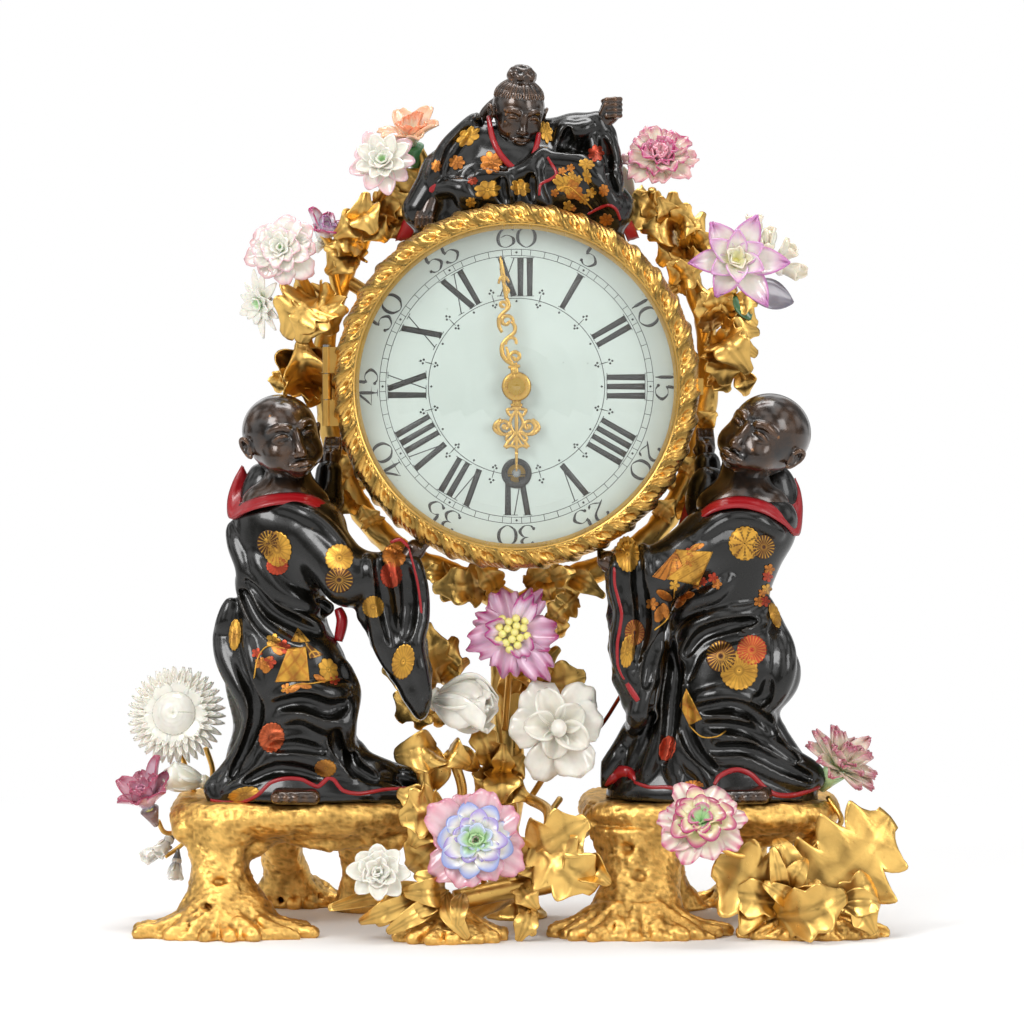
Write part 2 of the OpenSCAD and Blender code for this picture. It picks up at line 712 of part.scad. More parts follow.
module dial() {
  color(enamel)
    difference() {
      turned(domed_section(dial_hole_r, dial_r * rim_share, case_front, dial_t, dial_rise, 8));
      upright(case_front - over) translate([0, -barrel_drop])
        cylinder(r = winding_hole_r, h = dial_t + dial_rise + 2 * over);
    }
}

// Holes of both plates: where each arbor turns, and the radius of its pivot
pivot_places = [intermediate_at, third_at, escape_at];
pillar_headings = [40, 140, 220, 320];
pillar_ring_r = plate_r - 8;

module plate_blank() {
  difference() {
    cylinder(r = plate_r, h = plate_t);
    for (p = pivot_places)
      translate([p.x, p.y, -over]) cylinder(r = pivot_r + run_gap, h = plate_t + 2 * over);
    translate([0, -barrel_drop, -over]) cylinder(r = winding_arbor_r + run_gap, h = plate_t + 2 * over);
    for (a = pillar_headings)
      rotate(a) translate([pillar_ring_r, 0, -over])
        cylinder(r = pillar_r * 0.6, h = plate_t + 2 * over);
  }
}

module front_plate() {
  color(brass)
    upright(front_plate_f)
      difference() {
        plate_blank();
        translate([0, 0, -over]) cylinder(r = arbor_r + run_gap, h = plate_t + 2 * over);
        translate([0, pallet_rise, -over]) cylinder(r = pivot_r + run_gap, h = plate_t + 2 * over);
      }
  // stud of the minute wheel
  color(brass)
    upright(front_plate_f + plate_t) translate(minute_at) cylinder(r = arbor_r * 0.8, h = pinion_t + plate_t);
}

module back_plate() {
  // stud of the click
  color(brass) upright(-plate_t) translate(click_at) cylinder(r = arbor_r, h = plate_t);
  color(brass)
    upright()
      difference() {
        plate_blank();
        translate([0, 0, -over]) cylinder(r = pivot_r + run_gap, h = plate_t + 2 * over);
        translate([0, pallet_rise, -over]) cylinder(r = arbor_r * 2, h = plate_t + 2 * over);
      }
}

module plate_pillars() {
  color(brass)
    upright()
      for (a = pillar_headings)
        rotate(a) translate([pillar_ring_r, 0]) {
          translate([0, 0, plate_t]) cylinder(r = pillar_r, h = plate_gap);
          translate([0, 0, -pillar_r]) cylinder(r = pillar_r * 0.6, h = pillar_r + plate_t);
          translate([0, 0, front_plate_f]) cylinder(r = pillar_r * 0.6, h = plate_t + pillar_r / 2);
        }
}

module pillar_nuts() {
  color(steel)
    upright()
      for (a = pillar_headings)
        rotate(a) translate([pillar_ring_r, 0, -pillar_r * 0.9])
          difference() {
            cylinder(r = pillar_r * 1.3, h = pillar_r * 0.9, $fn = 6);
            translate([0, 0, -over]) cylinder(r = pillar_r * 0.6, h = pillar_r + 2 * over);
          }
}

barrel_r = barrel_tooth * barrel_teeth / 2 * 0.89;
barrel_wall = 1;

module mainspring_barrel() {
  wheel_f = layer(barrel_wheel_share);
  drum_f = wheel_f + wheel_t;
  end_f = layer(barrel_end_share);
  color(brass)
    upright() translate(barrel_at) {
      translate([0, 0, wheel_f])
        rotate(heading(barrel_at, intermediate_at))
          linear_extrude(wheel_t)
            difference() {
              polygon(toothed(barrel_teeth, barrel_tooth, wheel_tooth_shares));
              circle(r = (winding_arbor_r + run_gap) / cos(22.5), $fn = 8);
            }
      rotate_extrude()
        polygon([
          [winding_arbor_r + run_gap, drum_f], [barrel_r, drum_f], [barrel_r, end_f],
          [winding_arbor_r + run_gap, end_f], [winding_arbor_r + run_gap, end_f - barrel_wall],
          [barrel_r - barrel_wall, end_f - barrel_wall], [barrel_r - barrel_wall, drum_f + barrel_wall],
          [winding_arbor_r + run_gap, drum_f + barrel_wall]
        ]);
    }
}

// A flat spring wound in the barrel, its inner end near the arbor's core
spring_turns = 5;
spring_t = 0.5;

module mainspring() {
  drum_f = layer(barrel_wheel_share) + wheel_t;
  end_f = layer(barrel_end_share);
  inner = winding_arbor_r * 2;
  outer = barrel_r - barrel_wall - 2 * spring_t;
  steps = 16 * spring_turns;
  function coil(i, w) = (mix(inner, outer, i / steps) + w) * [cos(22.5 * i), sin(22.5 * i)];
  color(steel)
    upright(drum_f + barrel_wall) translate(barrel_at)
      linear_extrude(end_f - drum_f - 2 * barrel_wall - 2 * spring_t)
        polygon([
          for (i = [0:steps]) coil(i, 0),
          for (i = [steps:-1:0]) coil(i, spring_t)
        ]);
}

ratchet_teeth = 24;
ratchet_r = 8;
ratchet_f = -plate_t * 0.9;
square_l = case_front + dial_t - front_plate_f - plate_t + dial_rise;

module winding_arbor() {
  color(steel)
    upright() translate(barrel_at) {
      translate([0, 0, ratchet_f + wheel_t]) cylinder(r = winding_arbor_r, h = front_plate_f + plate_t + wheel_t);
      translate([0, 0, front_plate_f + plate_t + wheel_t + ratchet_f + wheel_t])
        linear_extrude(square_l - wheel_t) square(winding_arbor_r * 1.3, center = true);
      translate([0, 0, ratchet_f])
        linear_extrude(wheel_t)
          polygon([
            for (i = [0:ratchet_teeth - 1], q = [[0, 1], [0.12, 0.88]])
              let (a = (i + q[0]) * 360 / ratchet_teeth)
              ratchet_r * q[1] * [cos(a), sin(a)]
          ]);
    }
}

click_at = barrel_at + [ratchet_r * 1.55, ratchet_r * 1.0];

module click() {
  nose = barrel_at + (ratchet_r + stand_gap) * unit(click_at - barrel_at + [0, -ratchet_r * 0.9]);
  color(steel)
    upright(-plate_t) {
      difference() {
        linear_extrude(plate_t - stand_gap)
          union() {
            translate(click_at) circle(r = arbor_r * 2.4);
            polygon([
              click_at + arbor_r * 2 * [-1, 1], nose + [0, stand_gap], nose + arbor_r * [1.6, -0.4],
              click_at + arbor_r * 2 * [1, -0.8]
            ]);
          }
        translate([click_at.x, click_at.y, -over]) cylinder(r = arbor_r + run_gap, h = plate_t + 2 * over);
      }
    }
}

module intermediate_wheel() {
  pinion_f = layer(intermediate_pinion_share);
  wheel_f = layer(intermediate_wheel_share);
  color(brass)
    upright() translate(intermediate_at) {
      arbor(pinion_f, pinion_f + pinion_t * 1.2);
      translate([0, 0, pinion_f]) rotate(heading(barrel_at, intermediate_at) + 180 + 180 / pinion_leaves)
        cut_pinion(pinion_leaves, barrel_tooth, pinion_t * 1.2);
      translate([0, 0, wheel_f]) rotate(heading(intermediate_at, [0, 0]))
        cut_wheel(intermediate_teeth, intermediate_tooth, arbor_r);
    }
}

module centre_wheel() {
  pinion_f = layer(centre_pinion_share);
  wheel_f = layer(centre_wheel_share);
  color(brass)
    upright() {
      translate([0, 0, run_gap]) cylinder(r = pivot_r, h = plate_t + run_gap);
      translate([0, 0, plate_t + 2 * run_gap]) cylinder(r = arbor_r, h = pinion_f - plate_t - 2 * run_gap);
      translate([0, 0, pinion_f + pinion_t]) cylinder(r = arbor_r, h = minute_hand_f + hand_t - pinion_f - pinion_t);
      translate([0, 0, minute_hand_f + hand_t]) cylinder(r = pivot_r * 1.4, h = 3 * hand_t);
      translate([0, 0, pinion_f]) rotate(heading(intermediate_at, [0, 0]) + 180 + 180 / pinion_leaves)
        cut_pinion(pinion_leaves, intermediate_tooth, pinion_t);
      translate([0, 0, wheel_f]) rotate(heading([0, 0], third_at))
        cut_wheel(centre_teeth, centre_tooth, arbor_r);
    }
}

module third_wheel() {
  pinion_f = layer(third_pinion_share);
  wheel_f = layer(third_wheel_share);
  color(brass)
    upright() translate(third_at) {
      arbor(pinion_f, pinion_f + pinion_t);
      translate([0, 0, pinion_f]) rotate(heading([0, 0], third_at) + 180 + 180 / small_pinion_leaves)
        cut_pinion(small_pinion_leaves, centre_tooth, pinion_t);
      translate([0, 0, wheel_f]) rotate(heading(third_at, escape_at))
        cut_wheel(third_teeth, third_tooth, arbor_r);
    }
}

module escape_wheel() {
  pinion_f = layer(escape_pinion_share);
  wheel_f = layer(escape_wheel_share);
  color(brass)
    upright() translate(escape_at) {
      arbor(pinion_f, pinion_f + pinion_t);
      translate([0, 0, pinion_f]) rotate(heading(third_at, escape_at) + 180 + 180 / small_pinion_leaves)
        cut_pinion(small_pinion_leaves, third_tooth, pinion_t);
      translate([0, 0, wheel_f])
        linear_extrude(wheel_t)
          difference() {
            polygon([
              for (i = [0:escape_teeth - 1], q = [[0, 1], [0.1, 0.84], [0.8, 0.84]])
                let (a = (i + q[0]) * 360 / escape_teeth)
                escape_r * q[1] * [cos(a), sin(a)]
            ]);
            circle(r = (arbor_r + seat_gap) / cos(22.5), $fn = 8);
          }
    }
}

crutch_f = -6.5;
crutch_l = 26;

module pallets() {
  wheel_f = layer(escape_wheel_share);
  gap = pallet_rise - escape_at.y;
  reach = escape_r + 3 * stand_gap;
  // where the pallet noses stand beside the wheel, seen from the pallet arbor
  nose = [reach * sin(46), reach * cos(46) - gap];
  color(steel)
    upright() translate(pallets_at) {
      translate([0, 0, wheel_f]) linear_extrude(wheel_t)
        difference() {
          polygon([
            [-nose.x, nose.y], [-nose.x - 1.5 * arbor_r, nose.y + arbor_r], [-nose.x * 0.9, 2 * arbor_r],
            [0, 3.2 * arbor_r], [nose.x * 0.9, 2 * arbor_r], [nose.x + 1.5 * arbor_r, nose.y + arbor_r],
            [nose.x, nose.y], [nose.x * 0.7, 0], [0, -1.6 * arbor_r], [-nose.x * 0.7, 0]
          ]);
          circle(r = arbor_r);
        }
      translate([0, 0, crutch_f]) cylinder(r = arbor_r, h = front_plate_f - 2 * run_gap - crutch_f);
      translate([0, 0, front_plate_f - over]) cylinder(r = pivot_r, h = plate_t + over);
      translate([-arbor_r, -crutch_l, crutch_f]) cube([2 * arbor_r, crutch_l, arbor_r]);
      for (s = [-1, 1])
        translate([s * arbor_r * 1.6 - arbor_r / 2, -crutch_l, crutch_f - 3 * arbor_r])
          cube([arbor_r, 2 * arbor_r, 4 * arbor_r]);
      translate([-2.1 * arbor_r, -crutch_l, crutch_f]) cube([4.2 * arbor_r, 2 * arbor_r, arbor_r]);
    }
}

pendulum_f = crutch_f - 2.6;

module pendulum() {
  rod_r = arbor_r * 0.8;
  color(brass)
    upright() translate(pallets_at) {
      translate([0, 0, pendulum_f - arbor_r]) difference() {
        cylinder(r = arbor_r * 2.6, h = 2 * arbor_r);
        translate([0, 0, -over]) cylinder(r = arbor_r + run_gap, h = 2 * arbor_r + 2 * over);
      }
      translate([0, -arbor_r * 2, pendulum_f]) rotate([90, 0, 0]) cylinder(r = rod_r, h = pendulum_l - bob_r);
      translate([0, -pendulum_l, pendulum_f - bob_r * 0.35]) {
        cylinder(r = bob_r, h = bob_r * 0.7);
        translate([0, -bob_r * 0.9, bob_r * 0.35]) rotate([90, 0, 0]) cylinder(r = rod_r * 2, h = rod_r * 3);
      }
    }
}

module back_cock() {
  cock_w = 9;
  inner_f = crutch_f * 0.42;
  outer_f = pendulum_f - 3 * arbor_r;
  cock_t = 1.6;
  color(brass)
    upright() translate(pallets_at) {
      difference() {
        union() {
          translate([-cock_w, -cock_t, inner_f - cock_t]) cube([2 * cock_w, 5 * cock_t, cock_t]);
          for (s = [-1, 1])
            translate([s * cock_w - cock_t / 2, cock_t, outer_f - cock_t])
              cube([cock_t, 2.4 * cock_t, cock_t - outer_f]);
        }
        translate([0, 0, inner_f - cock_t - over]) cylinder(r = arbor_r + run_gap, h = cock_t + 2 * over);
      }
      translate([-cock_w, -cock_t, outer_f - cock_t]) cube([2 * cock_w, 5 * cock_t, cock_t]);
      translate([0, 0, outer_f]) cylinder(r = arbor_r, h = pendulum_f + arbor_r - outer_f + run_gap);
    }
}

cannon_f = front_plate_f + plate_t + 4 * run_gap;
motion_f = cannon_f + pinion_t * 0.8;
cannon_pipe_r = 1.8;
hour_pipe_in_r = cannon_pipe_r + 3 * run_gap;
hour_pipe_r = hour_pipe_in_r + 0.8;

module minute_wheel() {
  color(brass)
    upright() translate(minute_at) {
      difference() {
        union() {
          translate([0, 0, cannon_f + wheel_t * 0.3]) rotate(heading(minute_at, [0, 0]))
            linear_extrude(wheel_t) polygon(toothed(minute_teeth, minute_tooth, wheel_tooth_shares));
          translate([0, 0, motion_f - wheel_t * 0.4])
            rotate(heading([0, 0], minute_at) + 180 + 180 / pinion_leaves)
              cut_pinion(pinion_leaves, hour_tooth, wheel_t * 1.6);
        }
        translate([0, 0, cannon_f - over]) cylinder(r = arbor_r * 0.8 + run_gap, h = 8 * over);
      }
    }
}

module hour_wheel() {
  hour_wheel_f = motion_f + wheel_t * 0.1;
  color(brass)
    upright() difference() {
      union() {
        translate([0, 0, hour_wheel_f]) rotate(heading([0, 0], minute_at))
          linear_extrude(wheel_t * 0.8) polygon(toothed(hour_teeth, hour_tooth, wheel_tooth_shares));
        translate([0, 0, hour_wheel_f]) cylinder(r = hour_pipe_r, h = hour_hand_f + hand_t - hour_wheel_f);
      }
      translate([0, 0, hour_wheel_f - over])
        cylinder(r = hour_pipe_in_r, h = hour_hand_f + hand_t - hour_wheel_f + 2 * over);
    }
}

// A pierced ring of a hand's scrollwork
module scroll(r, wall) {
  difference() {
    circle(r = r);
    circle(r = r - wall);
  }
}

module hour_hand() {
  wall = hour_l * 0.035;
  color(gilt)
    upright(hour_hand_f) rotate(-hour_angle)
      linear_extrude(hand_t) difference() {
        union() {
          circle(r = hand_boss_r);
          for (s = [-1, 1]) {
            translate([s * hour_l * 0.115, hour_l * 0.33]) scroll(hour_l * 0.12, wall);
            translate([s * hour_l * 0.14, hour_l * 0.53]) scroll(hour_l * 0.14, wall);
            translate([s * hour_l * 0.065, hour_l * 0.72]) scroll(hour_l * 0.08, wall);
          }
          polygon(hour_l * [[-0.035, 0.1], [0.035, 0.1], [0.035, 0.75], [0.012, 1], [-0.012, 1], [-0.035, 0.75]]);
        }
        circle(r = hour_pipe_r);
      }
}

module cannon_pinion() {
  color(steel)
    upright(cannon_f) difference() {
      union() {
        rotate(heading(minute_at, [0, 0]) + 180 + 180 / cannon_leaves)
          cut_pinion(cannon_leaves, minute_tooth, pinion_t * 0.7);
        cylinder(r = cannon_pipe_r, h = minute_hand_f + hand_t - cannon_f);
      }
      translate([0, 0, -over]) cylinder(r = arbor_r, h = minute_hand_f - cannon_f + hand_t + 2 * over);
    }
}

module minute_hand() {
  wall = minute_l * 0.022;
  color(gilt)
    upright(minute_hand_f) rotate(-minute_angle)
      linear_extrude(hand_t) difference() {
        union() {
          circle(r = hand_boss_r * 0.8);
          translate([0, minute_l * 0.17]) scroll(minute_l * 0.065, wall);
          translate([minute_l * 0.03, minute_l * 0.29]) scroll(minute_l * 0.065, wall);
          translate([-minute_l * 0.025, minute_l * 0.4]) scroll(minute_l * 0.05, wall);
          polygon(minute_l * [
            [-0.014, 0.07], [0.014, 0.07], [0.014, 0.7], [0.05, 0.78], [0.012, 0.8],
            [0.007, 1], [-0.007, 1], [-0.012, 0.8], [-0.05, 0.78], [-0.014, 0.7]
          ]);
        }
        circle(r = cannon_pipe_r);
      }
}

module hand_nut() {
  color(gilt)
    upright(minute_hand_f + hand_t) difference() {
      cylinder(r = hand_boss_r * 0.62, h = 2 * hand_t);
      translate([0, 0, -over]) cylinder(r = pivot_r * 1.4, h = 2 * hand_t + 2 * over);
    }
}

// Bezel: a turned ring with a band of leaf lobes round its slope
module bezel() {
  pocket_r = glass_r + run_gap;
  lobe_step = 360 / lobe_count;
  module lobed_band(r, low, high, wave) {
    upright(low)
      linear_extrude(high - low)
        difference() {
          polygon([
            for (i = [0:4 * lobe_count - 1])
              let (a = i * lobe_step / 4)
              (r + wave * (0.5 + 0.5 * cos(360 * i / 4))) * [cos(a), sin(a)]
          ]);
          circle(r = pocket_r + stand_gap);
        }
  }
  color(gilt)
    difference() {
      union() {
        turned([
          [pocket_r, bezel_back_f], [bezel_r - lip_t, bezel_back_f], [bezel_r, bezel_back_f + lip_t],
          [bezel_r, bezel_back_f + bezel_t * 0.45], [bezel_lip_r + 3 * lip_t, bezel_back_f + bezel_t * 0.8],
          [bezel_lip_r + lip_t, bezel_front_f], [bezel_lip_r, bezel_front_f - lip_t / 2],
          [bezel_lip_r, glass_seat_f], [pocket_r, glass_seat_f]
        ]);
        lobed_band(bezel_r, bezel_back_f + lip_t, bezel_back_f + bezel_t * 0.5, 0.012 * bezel_r);
        lobed_band(bezel_r - lip_t, bezel_back_f + bezel_t * 0.5, bezel_back_f + bezel_t * 0.72, 0.02 * bezel_r);
        knuckles(-hinge_x, -bezel_hinge_f, true, [
          [-hinge_x, -bezel_hinge_f - knuckle_r * 0.8, -pocket_r - lip_t, -bezel_hinge_f + knuckle_r * 0.8]
        ]);
        translate([bezel_r - lip_t, -bezel_back_f - bezel_t * 0.5, dial_z - 2 * lip_t])
          cube([3 * lip_t, bezel_t * 0.35, 4 * lip_t]);
      }
      hinge_bore(-hinge_x, -bezel_hinge_f);
    }
}

module glass_ring() {
  color(brass)
    turned([
      [bezel_lip_r - lip_t, bezel_back_f + stand_gap], [glass_r, bezel_back_f + stand_gap],
      [glass_r, glass_seat_f - glass_t], [glass_r - lip_t, glass_seat_f - glass_t],
      [glass_r - lip_t, bezel_back_f + lip_t], [bezel_lip_r - lip_t, bezel_back_f + lip_t]
    ]);
}

module bezel_glass() {
  flat_r = bezel_lip_r - stand_gap;
  steps = 8;
  back = glass_seat_f - glass_t;
  color([0.8, 0.88, 0.9, 0.35])
    turned(concat(
      [for (i = [0:steps]) let (r = flat_r * i / steps) [r, back + dome(r, flat_r, glass_rise)]],
      [[glass_r, back], [glass_r, glass_seat_f]],
      [for (i = [steps:-1:0]) let (r = flat_r * i / steps) [r, glass_seat_f + dome(r, flat_r, glass_rise)]]
    ));
}

// A hinge pin with a head that rests on the top knuckle
module headed_pin(x, y) {
  translate([x, y, dial_z - hinge_l / 2]) {
    cylinder(r = hinge_pin_r, h = hinge_l);
    translate([0, 0, hinge_l]) cylinder(r = knuckle_r * 0.9, h = hinge_pin_r);
  }
}

module bezel_hinge_pin() {
  color(steel) headed_pin(-hinge_x, -bezel_hinge_f);
}

knob_at = [-case_r * 0.82, 0];
knob_pin_r = 1.2;

module rear_door() {
  door_r = case_r - stand_gap;
  color(gilt_dark)
    difference() {
      union() {
        turned([
          [0, -case_back - door_t * 3], [door_r * 0.6, -case_back - door_t * 2.6],
          [door_r * 0.93, -case_back - door_t - stand_gap], [door_r, -case_back - door_t - stand_gap],
          [door_r, -case_back - stand_gap], [door_r * 0.93, -case_back - stand_gap],
          [door_r * 0.6, -case_back - door_t * 1.6], [0, -case_back - door_t * 2]
        ]);
        knuckles(door_hinge_x, door_hinge_y, true, [
          [door_r * 0.95, case_back + stand_gap, door_hinge_x, case_back + stand_gap + door_t]
        ]);
      }
      hinge_bore(door_hinge_x, door_hinge_y);
      upright(-case_back - 4 * door_t) translate(knob_at)
        cylinder(r = knob_pin_r + run_gap, h = 5 * door_t);
    }
}

module rear_door_pin() {
  color(steel) headed_pin(door_hinge_x, door_hinge_y);
}

// Knob with a catch that a quarter turn brings behind the case's rear flange
module door_knob() {
  color(gilt)
    upright() translate(knob_at) {
      translate([0, 0, -case_back - 4.2 * door_t]) cylinder(r = knob_pin_r * 3, h = door_t * 1.5);
      translate([0, 0, -case_back - 3 * door_t]) cylinder(r = knob_pin_r, h = 3 * door_t + flange_t + stand_gap);
      translate([-knob_pin_r * 1.5, -case_r * 0.11, -case_back + flange_t + stand_gap])
        cube([knob_pin_r * 3, case_r * 0.11 + 1.5 * knob_pin_r, flange_t]);
    }
}

// Robes of the standing figures: height, middle and half width, and half depth, as shares
left_robe_shares = [
  [0.0, -0.508, 0.265, 0.19], [0.03, -0.513, 0.25, 0.19], [0.07, -0.52, 0.215, 0.17], [0.12, -0.547, 0.171, 0.15],
  [0.18, -0.556, 0.149, 0.13], [0.265, -0.564, 0.157, 0.13], [0.34, -0.58, 0.15, 0.125],
  [0.4, -0.6, 0.12, 0.11], [0.486, -0.588, 0.103, 0.1], [0.57, -0.572, 0.122, 0.1],
  [0.635, -0.564, 0.138, 0.1], [0.69, -0.566, 0.13, 0.095], [0.73, -0.585, 0.1, 0.08], [0.757, -0.56, 0.062, 0.055]
];
right_robe_shares = [
  [0.0, 0.48, 0.275, 0.19], [0.03, 0.475, 0.262, 0.19], [0.07, 0.465, 0.24, 0.17], [0.12, 0.455, 0.205, 0.15],
  [0.18, 0.453, 0.177, 0.135], [0.265, 0.49, 0.171, 0.13], [0.34, 0.514, 0.16, 0.125],
  [0.4, 0.508, 0.144, 0.11], [0.486, 0.5, 0.122, 0.1], [0.57, 0.514, 0.141, 0.1],
  [0.635, 0.547, 0.152, 0.1], [0.69, 0.575, 0.133, 0.095], [0.73, 0.586, 0.105, 0.08], [0.757, 0.575, 0.062, 0.055]
];
robe_y = -22;

function figure_place(x, y, z) = [figure_h * x, figure_h * y, stump_h + stand_gap + figure_h * z];

module robe_body(shares) {
  last = len(shares) - 1;
  loft([
    for (i = [0:last])
      let (q = shares[i], wave = 0.05 * max(0, 1 - i / 6))
      level_ring([figure_h * q[1], robe_y, stump_h + stand_gap + figure_h * q[0]],
        figure_h * q[2], figure_h * q[3], 20, wave, 5)
  ]);
}

// A hanging sleeve: height, middle, half width, as shares
module hanging_sleeve(shares, y) {
  loft([
    for (q = shares)
      level_ring(figure_place(q[1], y, q[0]), figure_h * q[2], figure_h * 0.04, 10)
  ]);
}

// A rounded mass under the cloth: place and half sizes, as shares
module mass(at, half) {
  loft([
    for (a = [-72:24:72])
      level_ring(figure_place(at.x, at.y, at.z + half.z * sin(a)), figure_h * half.x * cos(a), figure_h * half.y * cos(a), 14)
  ]);
}

// Main folds of a robe: rows of places, as shares
module folds(rows, r) {
  for (q = rows)
    tube(smooth([for (at = q) figure_place(at.x, at.y, at.z)], 2), figure_h * r, figure_h * r * 0.8, 6);
}

left_folds = [
  [[-0.703, -0.13, 0.482], [-0.708, -0.154, 0.36], [-0.645, -0.21, 0.23], [-0.673, -0.205, 0.12], [-0.735, -0.184, 0.035]],
  [[-0.6, -0.225, 0.19], [-0.518, -0.252, 0.224], [-0.43, -0.182, 0.178]],
  [[-0.427, -0.139, 0.332], [-0.425, -0.208, 0.205], [-0.42, -0.21, 0.126], [-0.349, -0.2, 0.068], [-0.25, -0.19, 0.038]],
  [[-0.644, -0.178, 0.595], [-0.582, -0.19, 0.517], [-0.486, -0.133, 0.45]]
];
right_folds = [
  [[0.612, -0.15, 0.483], [0.64, -0.2, 0.371], [0.62, -0.22, 0.263]],
  [[0.442, -0.225, 0.24], [0.569, -0.235, 0.235], [0.644, -0.204, 0.138], [0.73, -0.17, 0.045]],
  [[0.406, -0.2, 0.303], [0.396, -0.225, 0.171], [0.458, -0.265, 0.06]],
  [[0.366, -0.145, 0.372], [0.37, -0.2, 0.23], [0.32, -0.235, 0.055]]
];

stud_r = 3;

module figure_stud(x) {
  translate([x, robe_y, stump_h * 0.62]) cylinder(r = stud_r, h = stump_h * 0.5);
}

left_stud_x = -figure_h * 0.5;
right_stud_x = figure_h * 0.47;

module left_robe() {
  color(lacquer) {
    robe_body(left_robe_shares);
    mass([-0.541, -0.188, 0.33], [0.114, 0.092, 0.105]);
    mass([-0.486, -0.199, 0.23], [0.072, 0.072, 0.066]);
    folds(left_folds, 0.024);
    tube(smooth([figure_place(-0.508, -0.19, 0.655), figure_place(-0.4, -0.27, 0.545),
      figure_place(-0.285, -0.245, 0.563)], 3), figure_h * 0.076, figure_h * 0.042, 10);
    hanging_sleeve([[0.232, -0.235, 0.018], [0.27, -0.246, 0.034], [0.324, -0.262, 0.052], [0.39, -0.287, 0.066],
      [0.46, -0.309, 0.078], [0.52, -0.32, 0.086], [0.57, -0.315, 0.072]], -0.256);
    tube(smooth([figure_place(-0.508, -0.06, 0.64), figure_place(-0.48, -0.045, 0.72),
      figure_place(-0.46, -0.025, 0.79)], 2), figure_h * 0.045, figure_h * 0.034, 8);
    figure_stud(left_stud_x);
  }
}

// A head: skull, jaw and neck, tilted with named offsets as shares of its radius
module head(place, r, face, lean) {
  translate(place) {
    sphere(r = r);
    translate(r * [face.x * 0.35, face.y * 0.35 - 0.12, -0.55 + lean]) sphere(r = r * 0.72);
  }
}

module left_head() {
  color(bronze) {
    head(figure_place(-0.583, -0.152, 0.9), head_r, [0.6, -0.4], 0);
    translate(figure_place(-0.555, -0.128, 0.73)) cylinder(r = head_r * 0.52, h = figure_h * 0.09);
  }
}

// A hand: a palm and four closed fingers, from the wrist to the knuckles
module hand(wrist, knuckles, r) {
  tube([wrist, mix(wrist, knuckles, 0.5), knuckles], r * 0.8, r, 8);
  for (i = [-1.5:1:1.5])
    let (from = knuckles + [i * r * 0.45, 0, -r * 0.2])
    tube([from, from + [r * 0.12 * i, r * 0.2, r * 0.8], from + [r * 0.1 * i, r * 0.75, r * 1.2]],
      r * 0.3, r * 0.24, 6, [1, 0, 0]);
}

module left_limbs() {
  r = figure_h * 0.03;
  color(bronze) {
    hand(figure_place(-0.285, -0.245, 0.58), figure_place(-0.262, -0.2, 0.63), r);
    hand(figure_place(-0.46, -0.02, 0.775), figure_place(-0.452, -0.008, 0.83), r * 0.8);
    tube(smooth([figure_place(-0.55, -0.19, 0.022), figure_place(-0.55, -0.32, 0.022)], 3),
      r * 0.8, r * 0.7, 8, [1, 0, 0]);
  }
}

module right_robe() {
  color(lacquer) {
    robe_body(right_robe_shares);
    mass([0.558, -0.193, 0.313], [0.14, 0.083, 0.11]);
    folds(right_folds, 0.024);
    tube(smooth([figure_place(0.453, -0.19, 0.64), figure_place(0.36, -0.27, 0.545),
      figure_place(0.25, -0.245, 0.55)], 3), figure_h * 0.07, figure_h * 0.042, 10);
    hanging_sleeve([[0.222, 0.304, 0.02], [0.25, 0.298, 0.036], [0.3, 0.293, 0.055], [0.38, 0.293, 0.066],
      [0.457, 0.298, 0.075], [0.52, 0.3, 0.078], [0.57, 0.293, 0.062]], -0.256);
    tube(smooth([figure_place(0.508, -0.06, 0.64), figure_place(0.49, -0.045, 0.74),
      figure_place(0.466, -0.025, 0.83)], 2), figure_h * 0.045, figure_h * 0.034, 8);
    figure_stud(right_stud_x);
  }
}

module right_head() {
  color(bronze) {
    head(figure_place(0.622, -0.152, 0.893), head_r * 1.04, [-1.6, -0.6], 0.3);
    translate(figure_place(0.58, -0.128, 0.73)) cylinder(r = head_r * 0.52, h = figure_h * 0.09);
  }
}

module right_limbs() {
  r = figure_h * 0.03;
  color(bronze) {
    hand(figure_place(0.25, -0.245, 0.56), figure_place(0.2, -0.2, 0.595), r);
    hand(figure_place(0.466, -0.02, 0.815), figure_place(0.462, -0.008, 0.86), r * 0.8);
    tube(smooth([figure_place(0.55, -0.19, 0.022), figure_place(0.55, -0.3, 0.022)], 3),
      r * 0.8, r * 0.7, 8, [1, 0, 0]);
  }
}

// The seated figure, in shares of its height above the case
rider_robe_shares = [
  [-0.22, 0.01, 0.7, 0.26], [-0.08, 0.01, 0.66, 0.3], [0.06, 0.03, 0.6, 0.33], [0.2, 0.055, 0.54, 0.33],
  [0.33, 0.04, 0.44, 0.28], [0.44, 0, 0.38, 0.24], [0.55, -0.055, 0.24, 0.18], [0.62, -0.035, 0.14, 0.12]
];
rider_y = -14;

function rider_place(x, y, z) = [rider_h * x, rider_y + rider_h * y, dial_z + case_r + rider_h * z];

